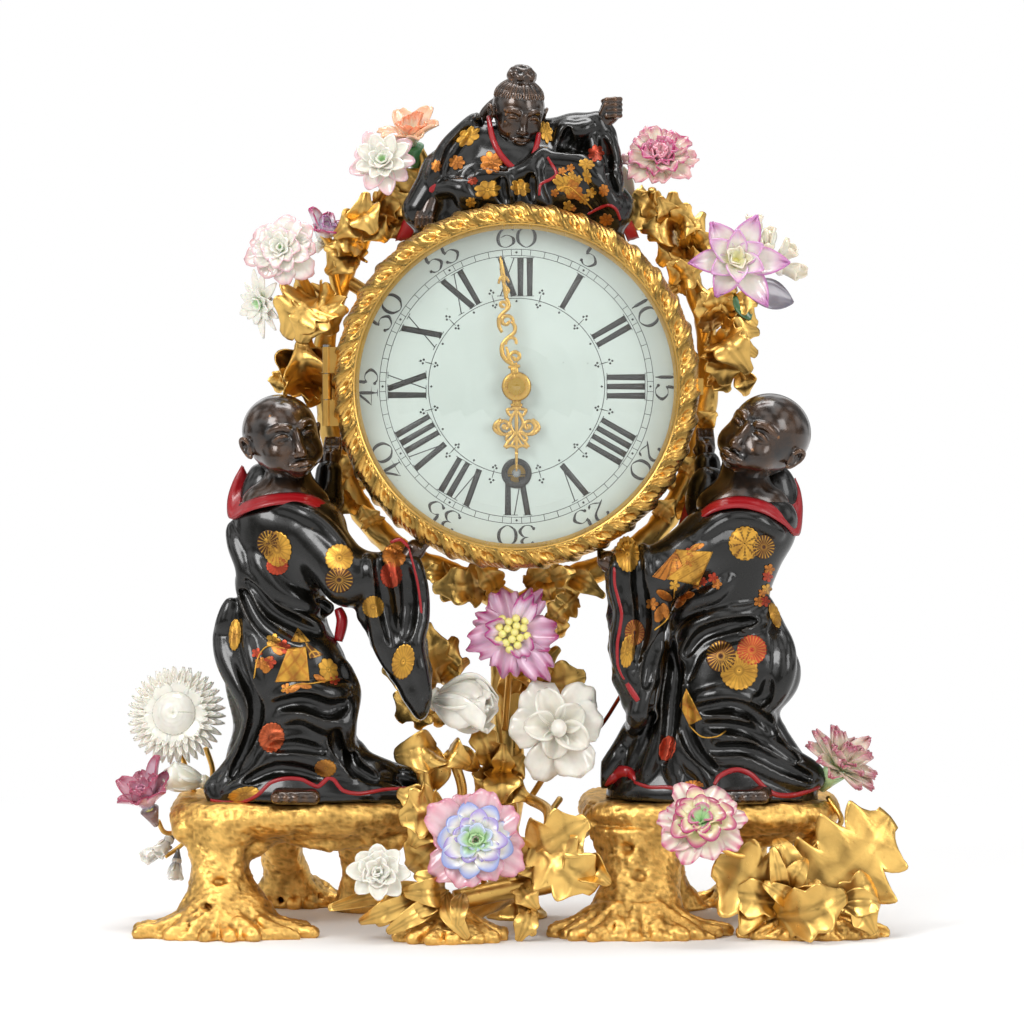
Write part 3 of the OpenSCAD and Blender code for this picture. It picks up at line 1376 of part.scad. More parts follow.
module rider_robe() {
  color(lacquer)
    difference() {
      union() {
        loft([
          for (q = rider_robe_shares)
            level_ring(rider_place(q[1], 0, q[0]), rider_h * q[2], rider_h * q[3], 16)
        ]);
        tube(smooth([rider_place(-0.28, -0.03, 0.5), rider_place(-0.44, -0.1, 0.3),
          rider_place(-0.55, -0.1, 0.02)], 3), rider_h * 0.11, rider_h * 0.09, 8);
        tube(smooth([rider_place(0.2, 0, 0.53), rider_place(0.36, -0.04, 0.56),
          rider_place(0.47, -0.06, 0.57)], 2), rider_h * 0.1, rider_h * 0.07, 8);
        loft([
          for (q = [[0.12, 0.05], [0.3, 0.08], [0.46, 0.1], [0.56, 0.08]])
            level_ring(rider_place(0.5, -0.05, q[0]), rider_h * q[1], rider_h * 0.06, 8)
        ]);
      }
      translate([0, case_back, dial_z]) rotate([90, 0, 0]) cylinder(r = case_r + stand_gap, h = case_back + case_front + over);
    }
  color(lacquer) translate([0, rider_y, dial_z + case_in_r - case_wall])
    cylinder(r = stud_r, h = 4 * case_wall + stand_gap);
}

module rider_head() {
  color(bronze)
    translate(rider_place(0.01, -0.13, 0.7)) {
      sphere(r = rider_head_r);
      translate(rider_head_r * [0, -0.25, -0.45]) sphere(r = rider_head_r * 0.75);
      translate(rider_head_r * [0, 0.25, 1.18]) sphere(r = rider_head_r * 0.6);
      translate([0, rider_head_r * 0.4, -rider_head_r * 1.7]) cylinder(r = rider_head_r * 0.55, h = rider_head_r * 1.2);
    }
}

module rider_limbs() {
  r = rider_h * 0.055;
  color(bronze) {
    hand(rider_place(0.48, -0.07, 0.575), rider_place(0.57, -0.09, 0.66), r);
    tube([rider_place(-0.55, -0.14, 0.1), rider_place(-0.58, -0.15, 0.03), rider_place(-0.6, -0.14, -0.04)], r, r * 0.7, 8);
  }
}

// Square nuts under the platforms and inside the case, on the figures' studs
module figure_nuts() {
  nut_h = 4;
  color(steel) {
    for (x = [left_stud_x, right_stud_x])
      translate([x, robe_y, stump_h * 0.7 - nut_h])
        difference() {
          cylinder(r = stud_r * 2, h = nut_h, $fn = 4);
          translate([0, 0, -over]) cylinder(r = stud_r, h = nut_h + 2 * over);
        }
    translate([0, rider_y, dial_z + case_in_r - nut_h * 0.6])
      difference() {
        cylinder(r = stud_r * 1.6, h = nut_h * 0.5, $fn = 4);
        translate([0, 0, -over]) cylinder(r = stud_r, h = nut_h + 2 * over);
      }
  }
}

// Places of the lower flowers, from the platforms
function left_of_base(x, y, z) = [-stump_x - stump_w * x, stump_d * y, stump_h * z];
function right_of_base(x, y, z) = [stump_x + stump_w * x, stump_d * y, stump_h * z];
forward = [0, -1, 0];

module daisy_white() {
  at = left_of_base(0.483, -0.153, 1.65);
  color(porcelain) {
    bloom(at, [-0.1, -1, 0.15], bloom_r * 1.07, 14, 3, 0.2, 0.3, 0.36);
    stem([left_of_base(0.4, -0.06, 0.9), left_of_base(0.41, 0.02, 1.3), at + [bloom_r * 0.1, bloom_r * 0.2, -bloom_r * 0.1], at]);
  }
}

module flowers_low_left() {
  pink = left_of_base(0.55, -0.29, 0.86);
  cream = left_of_base(0.42, -0.2, 1.13);
  grey = left_of_base(0.49, -0.02, 0.55);
  color(rose) {
    bloom(pink, [-0.55, -0.55, 0.6], bloom_r * 0.66, 6, 2, 0.9, 0.3, 0.25);
    stem([left_of_base(0.42, -0.1, 0.86), left_of_base(0.48, -0.2, 0.8), pink]);
    bloom(cream, [0.1, -0.7, 0.6], bloom_r * 0.5, 5, 1, 0.7, 0.3, 0.3);
    stem([left_of_base(0.38, -0.14, 0.9), left_of_base(0.4, -0.16, 1.0), cream]);
    leaf(left_of_base(0.42, -0.06, 0.86), grey, bloom_r * 0.55, [0, -1, 0]);
  }
}

module star_flower() {
  at = fork_z * [-0.014, -0.22, 0.943];
  color(rose) {
    bloom(at, forward, bloom_r * 0.95, 8, 2, 0.35, 0.5, 0.42);
    stem([fork_z * [-0.03, 0.0, 0.8], fork_z * [-0.02, -0.1, 0.86], at], [1, 0, 0]);
  }
}

module flowers_white_centre() {
  tulip = fork_z * [-0.185, -0.19, 0.71];
  full = fork_z * [0.128, -0.25, 0.641];
  color(porcelain) {
    bloom(tulip, [0.5, -0.5, 0.7], bloom_r * 0.72, 5, 2, 1.1, 0.2, 0.2);
    stem([fork_z * [-0.04, 0.0, 0.5], fork_z * [-0.13, -0.1, 0.56], tulip]);
    bloom(full, [0.05, -1, 0.05], bloom_r, 5, 3, 0.45, 0.22, 0.25);
    stem([fork_z * [-0.02, 0.0, 0.46], fork_z * [0.06, -0.1, 0.52], full], [1, 0, 0]);
  }
}

module ranunculus_front() {
  at = fork_z * [-0.129, -0.56, 0.316];
  color(lilac) {
    bloom(at, [0, -1, 0.1], bloom_r, 8, 3, 0.45, 0.16, 0.28);
    stem([rock_centre_at + [0, 0, stump_h * 0.2], rock_centre_at + [0, stump_d * 0.02, stump_h * 0.5], at + [0, stem_r, 0], at], [1, 0, 0]);
  }
}

module flowers_front() {
  white = fork_z * [-0.43, -0.57, 0.2];
  striped = right_of_base(-0.144, -0.91, 0.965);
  side = right_of_base(0.45, -0.4, 1.34);
  color(porcelain) {
    bloom(white, [-0.15, -1, 0.1], bloom_r * 0.62, 7, 2, 0.5, 0.25, 0.3);
    stem([rock_centre_at + [-trunk_r, 0, stump_h * 0.12], rock_centre_at + [-2.6 * trunk_r, 0, stump_h * 0.26], white]);
  }
  color(rose) {
    bloom(striped, [0.1, -1, 0.25], bloom_r * 0.96, 10, 2, 0.4, 0.2, 0.4);
    stem([right_of_base(-0.1, -0.5, 0.78), right_of_base(-0.12, -0.7, 0.7), striped], [1, 0, 0]);
    bloom(side, [0.35, -0.55, 0.75], bloom_r * 0.78, 9, 2, 0.75, 0.2, 0.4);
    stem([right_of_base(0.36, -0.1, 0.86), right_of_base(0.4, -0.3, 1.0), side]);
  }
}

// Places of the upper flowers, from the dial's centre
function round_dial(x, y, z) = [sweep_r * x, sweep_r * y, dial_z + sweep_r * z];

module upper_flower(side, t, at, direction, r, petals, whorls, depth, notch) {
  from = on_branch(side, t);
  bloom(at, direction, r, petals, whorls, depth, notch);
  stem([from, mix(from, at, 0.5) + [0, sweep_r * 0.03, -sweep_r * 0.04], at]);
}

module flowers_upper_left() {
  color(rose) {
    upper_flower(-1, 0.72, round_dial(-1.17, -0.18, 0.67), [-0.1, -1, 0.2], bloom_r * 0.8, 9, 2, 0.4, 0.15);
    upper_flower(-1, 0.68, round_dial(-1.26, -0.06, 0.44), [-0.6, -0.7, -0.1], bloom_r * 0.55, 7, 1, 0.4, 0.3);
    upper_flower(-1, 0.78, round_dial(-1.0, 0.06, 0.8), [-0.2, -0.5, 0.8], bloom_r * 0.55, 6, 1, 0.9, 0.3);
    upper_flower(-1, 0.95, round_dial(-0.68, -0.12, 1.12), [-0.1, -1, 0.2], bloom_r * 0.75, 8, 2, 0.45, 0.25);
    upper_flower(-1, 1, round_dial(-0.55, 0, 1.28), [0, -0.5, 0.8], bloom_r * 0.72, 6, 1, 0.8, 0.3);
  }
}

module flowers_upper_right() {
  color(rose) {
    upper_flower(1, 0.97, round_dial(0.72, -0.13, 1.13), [0.05, -0.9, 0.3], bloom_r * 0.78, 10, 2, 0.4, 0.2);
    upper_flower(1, 0.7, round_dial(1.08, -0.2, 0.6), [0.05, -1, 0.2], bloom_r * 0.95, 6, 2, 0.45, 0.45);
    upper_flower(1, 0.78, round_dial(1.27, 0.02, 0.72), [0.2, -0.2, 0.9], bloom_r * 0.35, 5, 1, 1.2, 0.2);
    leaf(on_branch(1, 0.95), round_dial(0.57, 0.06, 1.02), bloom_r * 0.6, [0, -1, 0]);
  }
}

stump_left();
stump_right();
rock_centre();
rock_right();
root_ties();
base_screws();
trunk();
branch_left();
branch_right();
foliage_base();
case_lugs();
lug_screws();
drum_case();
dial();
front_plate();
back_plate();
plate_pillars();
pillar_nuts();
mainspring_barrel();
mainspring();
winding_arbor();
click();
intermediate_wheel();
centre_wheel();
third_wheel();
escape_wheel();
pallets();
pendulum();
back_cock();
minute_wheel();
hour_wheel();
hour_hand();
cannon_pinion();
minute_hand();
hand_nut();
bezel();
glass_ring();
bezel_glass();
bezel_hinge_pin();
rear_door();
rear_door_pin();
door_knob();
left_robe();
left_head();
left_limbs();
right_robe();
right_head();
right_limbs();
rider_robe();
rider_head();
rider_limbs();
figure_nuts();
daisy_white();
flowers_low_left();
star_flower();
flowers_white_centre();
ranunculus_front();
flowers_front();
flowers_upper_left();
flowers_upper_right();
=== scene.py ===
# %% [markdown]
# # A gilt bronze mantel clock, dressed round its frame
# The clock is a drum case on a flowering tree between two figures on rockwork, with a
# third figure on top. Its frame, with every wheel, hinge and screw, is already a solid
# model. This lesson puts the visible skin on it: chased and gilded castings, black
# lacquer with gold ornament, an enamel dial under glass and porcelain flowers.

# %% Frame
import bpy, math
import numpy as np
import openvdb
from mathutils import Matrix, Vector, noise
from mathutils.bvhtree import BVHTree


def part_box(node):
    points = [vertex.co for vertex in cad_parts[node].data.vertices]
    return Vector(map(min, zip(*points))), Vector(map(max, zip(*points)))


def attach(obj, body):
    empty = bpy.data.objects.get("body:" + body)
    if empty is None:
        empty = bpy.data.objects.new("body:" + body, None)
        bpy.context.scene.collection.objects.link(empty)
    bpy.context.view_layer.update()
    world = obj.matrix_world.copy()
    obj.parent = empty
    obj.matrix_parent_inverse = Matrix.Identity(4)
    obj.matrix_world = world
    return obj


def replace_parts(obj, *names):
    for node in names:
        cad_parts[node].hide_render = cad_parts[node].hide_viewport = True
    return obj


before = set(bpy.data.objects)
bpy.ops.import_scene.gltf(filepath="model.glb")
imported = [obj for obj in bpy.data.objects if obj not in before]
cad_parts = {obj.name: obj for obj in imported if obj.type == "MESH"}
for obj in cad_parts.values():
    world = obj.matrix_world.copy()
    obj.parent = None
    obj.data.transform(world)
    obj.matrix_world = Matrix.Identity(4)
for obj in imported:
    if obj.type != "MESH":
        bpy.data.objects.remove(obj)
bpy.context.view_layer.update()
MM = 0.001

# %% [markdown]
# ## The camera
# A photographer stands back from such a clock and uses a long lens, so the platforms and
# the flowers keep their proportions. The lens here is long and slightly tilted down.

# %% Camera
scene = bpy.context.scene
camera = bpy.data.objects.new("camera", bpy.data.cameras.new("camera"))
scene.collection.objects.link(camera)
camera.data.lens, camera.data.sensor_width = 139.2, 36
camera.location = (-0.002, -1.8, 0.240)
camera.rotation_euler = (math.radians(88.25), 0, 0)
scene.camera = camera

# %% [markdown]
# ## Small tools
# Castings are made as meshes of many points, so points live in numpy arrays, in
# millimetres, and one function turns an array into an object that rides on its body.
# A gathered mesh joins leaves or petals that belong to one casting, with their colours.

# %% Numbers and directions
def vec(*v):
    return np.array(v, float)


def unit(v):
    v = np.asarray(v, float)
    return v / np.maximum(np.linalg.norm(v, axis=-1, keepdims=True), 1e-9)


def smooth_step(a, b, x):
    t = np.clip((x - a) / (b - a), 0, 1)
    return t * t * (3 - 2 * t)


def smooth_path(points, steps=6):
    """A curve through points, with a number of steps between each two."""
    p = np.asarray(points, float)
    p = np.vstack([2 * p[0] - p[1], p, 2 * p[-1] - p[-2]])
    t = np.linspace(0, 1, steps, endpoint=False)[:, None]
    out = []
    for a, b, c, d in zip(p, p[1:], p[2:], p[3:]):
        out.append(0.5 * (2 * b + (c - a) * t + (2 * a - 5 * b + 4 * c - d) * t**2
                          + (3 * b - a - 3 * c + d) * t**3))
    return np.vstack(out + [p[-2:-1]])


def evenly(values, count):
    """Values spread evenly over a number of places."""
    values = np.atleast_1d(values)
    return np.interp(np.linspace(0, 1, count), np.linspace(0, 1, len(values)), values)


def turn(axis, degrees):
    """Rotation matrix round an axis."""
    x, y, z = unit(axis)
    c, s = math.cos(math.radians(degrees)), math.sin(math.radians(degrees))
    k = np.array([[0, -z, y], [z, 0, -x], [-y, x, 0]])
    return np.eye(3) * c + s * k + (1 - c) * np.outer([x, y, z], [x, y, z])


def aim(direction, up=(0, 0, 1)):
    """Matrix whose columns are side, up and forward, with forward along a direction."""
    f = unit(direction)
    up = np.asarray(up, float)
    if abs(f @ unit(up)) > 0.98:
        up = vec(0, 1, 0)
    s = unit(np.cross(up, f))
    return np.stack([s, np.cross(f, s), f], 1)


# %% Meshes from arrays
class Gather:
    """Points, faces and point colours of a piece that is made of many small forms."""

    def __init__(self):
        self.points, self.quads, self.tris, self.tints, self.count = [], [], [], [], 0

    def add(self, points, quads=None, tris=None, tint=(1, 1, 1)):
        points = np.asarray(points, float).reshape(-1, 3)
        for faces, store in ((quads, self.quads), (tris, self.tris)):
            if faces is not None and len(faces):
                store.append(np.asarray(faces) + self.count)
        tint = np.asarray(tint, float)
        self.tints.append(tint if tint.ndim == 2 else np.tile(tint, (len(points), 1)))
        self.points.append(points)
        self.count += len(points)

    def mesh(self, name, material, scale=MM, smooth=True):
        points = np.vstack(self.points) * scale
        quads = np.vstack(self.quads) if self.quads else np.zeros((0, 4), int)
        tris = np.vstack(self.tris) if self.tris else np.zeros((0, 3), int)
        mesh = bpy.data.meshes.new(name)
        mesh.vertices.add(len(points))
        mesh.vertices.foreach_set("co", points.ravel())
        mesh.loops.add(quads.size + tris.size)
        mesh.loops.foreach_set("vertex_index", np.concatenate([quads.ravel(), tris.ravel()]))
        mesh.polygons.add(len(quads) + len(tris))
        starts = np.concatenate([np.arange(len(quads)) * 4, quads.size + np.arange(len(tris)) * 3])
        mesh.polygons.foreach_set("loop_start", starts)
        mesh.polygons.foreach_set("use_smooth", np.full(len(starts), smooth))
        mesh.update(calc_edges=True)
        tints = np.column_stack([np.vstack(self.tints), np.ones(len(points))])
        layer = mesh.color_attributes.new("tint", "FLOAT_COLOR", "POINT")
        layer.data.foreach_set("color", tints.ravel())
        mesh.materials.append(material)
        return mesh

    def piece(self, name, material, slot, body="stand", smooth=True):
        # nothing sinks into what the clock stands on
        self.points = [np.maximum(points, (-np.inf, -np.inf, 0.0)) for points in self.points]
        obj = bpy.data.objects.new(name, self.mesh(name, material, MM, smooth))
        scene.collection.objects.link(obj)
        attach(obj, body)
        print(f"{name}: {sum(len(p.vertices) - 2 for p in obj.data.polygons)} triangles")
        return obj


def grid_quads(rows, columns, closed=False):
    """Faces of a grid of points; closed joins the last column to the first."""
    i = np.arange(rows - 1)[:, None] * columns
    j = np.arange(columns if closed else columns - 1)
    k = (j + 1) % columns
    return np.stack([i + j, i + k, i + columns + k, i + columns + j], -1).reshape(-1, 4)


def sheet(points, thickness):
    """A closed thin solid on both sides of a grid of points; thickness may vary."""
    rows, columns = points.shape[:2]
    du = np.gradient(points, axis=0)
    dv = np.gradient(points, axis=1)
    normal = unit(np.cross(dv, du))
    half = np.broadcast_to(np.asarray(thickness, float), (rows, columns))[..., None] / 2
    both = np.concatenate([(points + normal * half).reshape(-1, 3),
                           (points - normal * half).reshape(-1, 3)])
    top = grid_quads(rows, columns)
    n = rows * columns
    ring = np.concatenate([np.arange(columns), np.arange(1, rows) * columns + columns - 1,
                           (rows - 1) * columns + np.arange(columns - 2, -1, -1),
                           np.arange(rows - 2, 0, -1) * columns])
    nxt = np.roll(ring, -1)
    rim = np.stack([ring, ring + n, nxt + n, nxt], -1)
    return both, np.vstack([top, top[:, ::-1] + n, rim])


def end_caps(rows, sides):
    """Triangles that close both ends of a tube, whose two end points come after its rings."""
    j = np.arange(sides)
    k = (j + 1) % sides
    first, last_ring = rows * sides, (rows - 1) * sides
    return np.vstack([np.stack([np.full(sides, first), k, j], -1),
                      np.stack([np.full(sides, first + 1), last_ring + j, last_ring + k], -1)])


def tube(path, radius, sides=10, flat=1.0, up=(0, 1, 0)):
    """A closed round or flattened tube along a path."""
    path = np.asarray(path, float)
    t = unit(np.gradient(path, axis=0))
    side = unit(np.cross(np.broadcast_to(np.asarray(up, float), t.shape), t))
    over = np.cross(t, side)
    radius = np.broadcast_to(np.asarray(radius, float), (len(path),))[:, None, None]
    a = np.linspace(0, 2 * math.pi, sides, endpoint=False)[None, :, None]
    rings = path[:, None] + radius * (side[:, None] * np.cos(a) + flat * over[:, None] * np.sin(a))
    points = np.vstack([rings.reshape(-1, 3), path[:1], path[-1:]])
    return points, grid_quads(len(path), sides, closed=True), end_caps(len(path), sides)


# %% [markdown]
# ## Modelling as with wax
# Robes, heads, hands and rockwork are cast from wax models, so they are built the same
# way: rounded masses are pressed together in a grid of distances, soft ridges and hollows
# are worked in, and the skin of the grid becomes the mesh.

# %% Wax
class Wax:
    """Signed distances in millimetres on a regular grid."""

    def __init__(self, low, high, step):
        self.low, self.step = np.asarray(low, float), step
        self.shape = np.ceil((np.asarray(high) - self.low) / step).astype(int) + 1
        axes = [self.low[i] + step * np.arange(self.shape[i]) for i in range(3)]
        self.x, self.y, self.z = (a.astype(np.float32).reshape(s) for a, s in
                                  zip(axes, ((-1, 1, 1), (1, -1, 1), (1, 1, -1))))
        self.d = np.full(self.shape, 50.0, np.float32)

    def press(self, d, k=2.0, cut=False, part=slice(None)):
        """Presses a mass on with a fillet of size k, or takes it away, in a part of the grid."""
        old = self.d[part]
        if cut:
            h = np.clip(0.5 - 0.5 * (old + d) / k, 0, 1)
            self.d[part] = old + (-d - old) * h + k * h * (1 - h)
        else:
            h = np.clip(0.5 + 0.5 * (old - d) / k, 0, 1)
            self.d[part] = old + (d - old) * h - k * h * (1 - h)

    def near(self, a, b, reach):
        """Slices of the grid round two points."""
        lo = np.minimum(a, b) - reach
        hi = np.maximum(a, b) + reach
        i = np.clip(np.floor((lo - self.low) / self.step).astype(int), 0, self.shape - 1)
        j = np.clip(np.ceil((hi - self.low) / self.step).astype(int) + 1, 1, self.shape)
        return tuple(slice(p, q) for p, q in zip(i, j))

    def local(self, s):
        return self.x[s[0]], self.y[:, s[1]], self.z[:, :, s[2]]

    def limb(self, a, b, ra, rb, k=2.0, cut=False):
        """A tapering round bar between two points."""
        a, b = np.asarray(a, float), np.asarray(b, float)
        s = self.near(a, b, max(ra, rb) + k + 3 * self.step)
        x, y, z = self.local(s)
        ab = b - a
        t = np.clip(((x - a[0]) * ab[0] + (y - a[1]) * ab[1] + (z - a[2]) * ab[2])
                    / max(ab @ ab, 1e-6), 0, 1)
        d = np.sqrt((x - a[0] - t * ab[0]) ** 2 + (y - a[1] - t * ab[1]) ** 2
                    + (z - a[2] - t * ab[2]) ** 2) - (ra + (rb - ra) * t)
        self.press(d, k, cut, s)

    def ridge(self, path, radius, k=2.0, cut=False):
        """A chain of bars along a path; radius may vary along it."""
        path = np.asarray(path, float)
        radius = np.broadcast_to(np.asarray(radius, float), (len(path),))
        for a, b, ra, rb in zip(path, path[1:], radius, radius[1:]):
            self.limb(a, b, ra, rb, k, cut)

    def ball(self, centre, radii, k=2.0, rotation=None, cut=False):
        """An ellipsoid, turned by a matrix whose columns are its axes."""
        centre, radii = np.asarray(centre, float), np.asarray(radii, float)
        s = self.near(centre, centre, radii.max() + k + 3 * self.step)
        x, y, z = (c - centre[i] for i, c in enumerate(self.local(s)))
        m = np.eye(3) if rotation is None else np.asarray(rotation)
        u = [(x * m[0, i] + y * m[1, i] + z * m[2, i]) / radii[i] for i in range(3)]
        r = np.sqrt(u[0] ** 2 + u[1] ** 2 + u[2] ** 2) + 1e-6
        g = np.sqrt((u[0] / radii[0]) ** 2 + (u[1] / radii[1]) ** 2 + (u[2] / radii[2]) ** 2) + 1e-6
        self.press(r * (r - 1) / g, k, cut, s)

    def stack(self, rows, k=3.0, power=2.0):
        """Level ovals one above another: rows of height, middle x, middle y, half x, half y."""
        rows = np.asarray(rows, float)
        fine = smooth_path(rows, 6)
        z = self.z.ravel()
        cx, cy, a, b = (np.interp(z, fine[:, 0], fine[:, i]).astype(np.float32)[None, None]
                        for i in (1, 2, 3, 4))
        r = ((np.abs(self.x - cx) / a) ** power + (np.abs(self.y - cy) / b) ** power) ** (1 / power)
        d = (r - 1) * np.minimum(a, b)
        self.press(np.maximum(d, np.maximum(rows[0, 0] - self.z, self.z - rows[-1, 0])), k)

    def skin(self, gather, tint=(1, 1, 1)):
        """Adds the grid's surface to a gathered mesh."""
        grid = openvdb.FloatGrid(3 * self.step)
        grid.copyFromArray(np.clip(self.d, -3 * self.step, 3 * self.step).astype(np.float32))
        points, quads = grid.convertToQuads(0.0)
        points, quads = points * self.step + self.low, quads.astype(int)
        gather.add(points, quads, tint=tint)
        return points


def noise_at(points, size, seed=0.0, octaves=3):
    """Soft noise between -1 and 1 at points, with lumps of a size in millimetres."""
    p = np.asarray(points) / size + seed
    return np.array([noise.fractal(Vector(q), 1.0, 2.0, octaves) for q in p])


# %% [markdown]
# ## Finishes
# The clock has few materials, each with a finish of its own. Fire gilding is bright where
# it is burnished and browner where the gold is thin in the hollows, and the hollows are
# also darkened with painted shade. Colours are written as a painter's hex values and
# turned into the linear numbers that the shader wants.

# %% Nodes and colours
def add(tree, kind, inputs=None, **settings):
    """Adds a node. Inputs are values, or outputs of other nodes that feed them."""
    node = tree.nodes.new(kind)
    for name, value in settings.items():
        setattr(node, name, value)
    for name, value in (inputs or {}).items():
        if isinstance(value, bpy.types.NodeSocket):
            tree.links.new(value, node.inputs[name])
        else:
            node.inputs[name].default_value = value
    return node


def colour(text):
    """Linear red, green, blue and alpha of a hex colour."""
    c = np.array([int(text[i:i + 2], 16) for i in (1, 3, 5)]) / 255
    linear = np.where(c <= 0.04045, c / 12.92, ((c + 0.055) / 1.055) ** 2.4)
    return tuple(float(v) for v in linear) + (1.0,)


def tint(text):
    """The same as three numbers, for point colours."""
    return np.array(colour(text)[:3])


# %% Steps that every finish shares
def finish(name, **values):
    """A new material and its tree, shader and place on the object."""
    material = bpy.data.materials.new(name)
    material.use_nodes = True
    tree = material.node_tree
    shader = tree.nodes["Principled BSDF"]
    for key, value in values.items():
        shader.inputs[key.replace("_", " ")].default_value = value
    return material, tree, shader, add(tree, "ShaderNodeTexCoord").outputs["Object"]


def clouds(tree, place, scale, detail, roughness=0.5):
    """Soft noise; scale is its fineness per metre."""
    inputs = {"Vector": place, "Scale": scale, "Detail": detail, "Roughness": roughness}
    return add(tree, "ShaderNodeTexNoise", inputs).outputs["Fac"]


def spread_over(tree, value, low, high, first=0.0, last=1.0, **settings):
    """Takes values between low and high to the stretch from first to last."""
    inputs = {"Value": value, "From Min": low, "From Max": high, "To Min": first, "To Max": last}
    return add(tree, "ShaderNodeMapRange", inputs, **settings).outputs[0]


def mixed(tree, share, first, second, blend="MIX"):
    """A colour between two, each a hex text or another node's output."""
    first, second = (colour(c) if isinstance(c, str) else c for c in (first, second))
    return add(tree, "ShaderNodeMix", {0: share, 6: first, 7: second}, data_type="RGBA",
               blend_type=blend).outputs[2]


def maths(tree, operation, *values):
    return add(tree, "ShaderNodeMath", dict(enumerate(values)), operation=operation).outputs[0]


def sharpness(tree):
    """How sharply the surface turns: above a half on edges, below it in hollows."""
    return add(tree, "ShaderNodeNewGeometry").outputs["Pointiness"]


def own_tint(tree):
    """The colour that is painted on the points."""
    return add(tree, "ShaderNodeVertexColor", layer_name="tint").outputs["Color"]


def dress(tree, shader, base, roughness, grain=None, strength=0.0, depth=0.0):
    """Joins colour, roughness and grain (with its depth in millimetres) to the shader."""
    tree.links.new(base, shader.inputs["Base Color"])
    tree.links.new(roughness, shader.inputs["Roughness"])
    if grain is not None:
        bump = add(tree, "ShaderNodeBump", {"Height": grain, "Strength": strength, "Distance": depth * MM})
        tree.links.new(bump.outputs[0], shader.inputs["Normal"])


# %% [markdown]
# Gold is the same metal everywhere, so one recipe serves all castings: a bright and a
# deep colour mixed by how sharp the surface turns there, so edges shine as burnished and
# hollows keep their brown, which is partly thinner gold and partly painted shade. The
# grain is the punched mat that chasers leave on ground and bark.

# %% Gilding
def gilding(name, bright, deep, grain, height, shine, hollow=(0.40, 0.52), patina=0.35):
    """Gilt bronze: grain is the surface's fineness per metre, shine its smoothest roughness."""
    material, tree, shader, place = finish(name, Metallic=1.0)
    fine = clouds(tree, place, grain, 3, 0.6)
    # the deep colour fills the hollows: partly thinner gold, partly painted shade
    raised = spread_over(tree, sharpness(tree), *hollow)
    patches = spread_over(tree, clouds(tree, place, 70, 4, 0.6), 0.3, 0.6, 1 - patina, 1.0)
    gold = mixed(tree, maths(tree, "MULTIPLY", raised, patches), deep, bright)
    # the point colours multiply in; on rock, bark, leaves and bezel they hold painted shade
    toned = mixed(tree, 1.0, gold, own_tint(tree), "MULTIPLY")
    dress(tree, shader, toned, spread_over(tree, fine, 0.3, 0.7, shine, shine + 0.16), fine, 0.7, height)
    return material


# rock and bark, punched all over
gilt_rock = gilding("gilt bronze, matted rockwork", "#EDC273", "#8A602C", 900, 0.35, 0.33)
# leaves and branches, chased and partly burnished
gilt_leaf = gilding("gilt bronze, chased leaves", "#F0C878", "#A5773C", 420, 0.12, 0.27, (0.36, 0.5), 0.25)
# the bezel, the brightest casting
gilt_bezel = gilding("gilt bronze, burnished bezel", "#F2C874", "#9A6C2E", 500, 0.05, 0.2, (0.42, 0.54))
# hands, pierced and chased
gilt_hands = gilding("gilt brass, pierced hands", "#E0B25E", "#7D5424", 700, 0.04, 0.22)
print("gilding", len(bpy.data.materials))

# %% [markdown]
# The frame's nodes have no point colours, so the gilding of the drum case and the brass
# of the movement get recipes without them. Brass is paler than gold and shows the lathe.

# %% Plain metals
def metal(name, tone, dark, roughness, grain=600, height=0.02, stretch=(1, 1, 1), spots=0.35):
    """A worked metal: a tone and a darker one in clouds; stretch draws the grain out like a brushing."""
    material, tree, shader, place = finish(name, Metallic=1.0)
    brushed = add(tree, "ShaderNodeMapping", {"Vector": place, "Scale": stretch}).outputs[0]
    fine = clouds(tree, brushed, grain, 3)
    amount = spread_over(tree, clouds(tree, place, 60, 5), 0.35, 0.75, 0.0, spots)
    rough = spread_over(tree, fine, 0, 1, roughness, roughness + 0.15)
    dress(tree, shader, mixed(tree, amount, tone, dark), rough, fine, 0.5, height)
    return material


# the drum, gilt long ago and toned
case_gilt = metal("gilt brass, toned drum case", "#D9AC5C", "#8A5F2C", 0.26, 300, 0.05)
# plates and wheels of the movement
brass = metal("lacquered brass, movement", "#C9A24E", "#8F6A2A", 0.22, 900, 0.01, (1, 1, 0.1))
# arbors, springs, pins and screws
steel = metal("polished steel, arbors and screws", "#A9AAA8", "#5B5850", 0.2, 900, 0.01, (0.2, 1, 1), 0.3)
print("metals", len(bpy.data.materials))

# %% [markdown]
# Hands, feet and heads are cast bronze with a waxed dark brown patina, rubbed thin on the
# raised places.

# %% Dark bronze
dark_bronze, tree, shader, place = finish(
    "dark patinated bronze, waxed flesh", Metallic=0.35, Coat_Weight=0.7, Coat_Roughness=0.12)
cloud = clouds(tree, place, 120, 5)
ground = mixed(tree, spread_over(tree, cloud, 0.42, 0.7), "#120C08", "#40270F")
skin = mixed(tree, spread_over(tree, sharpness(tree), 0.5, 0.62), ground, "#7E5226")
dress(tree, shader, skin, spread_over(tree, cloud, 0, 1, 0.15, 0.34),
      clouds(tree, place, 900, 2), 0.4, 0.05)

# %% [markdown]
# The robes are lacquered over the bronze: a deep glossy black with a clear coat, and red
# lacquer on collars, linings and hems. The gold ornament is painted on in low relief,
# sprinkled gold that is matt beside the lacquer, so it is a separate thin mesh.

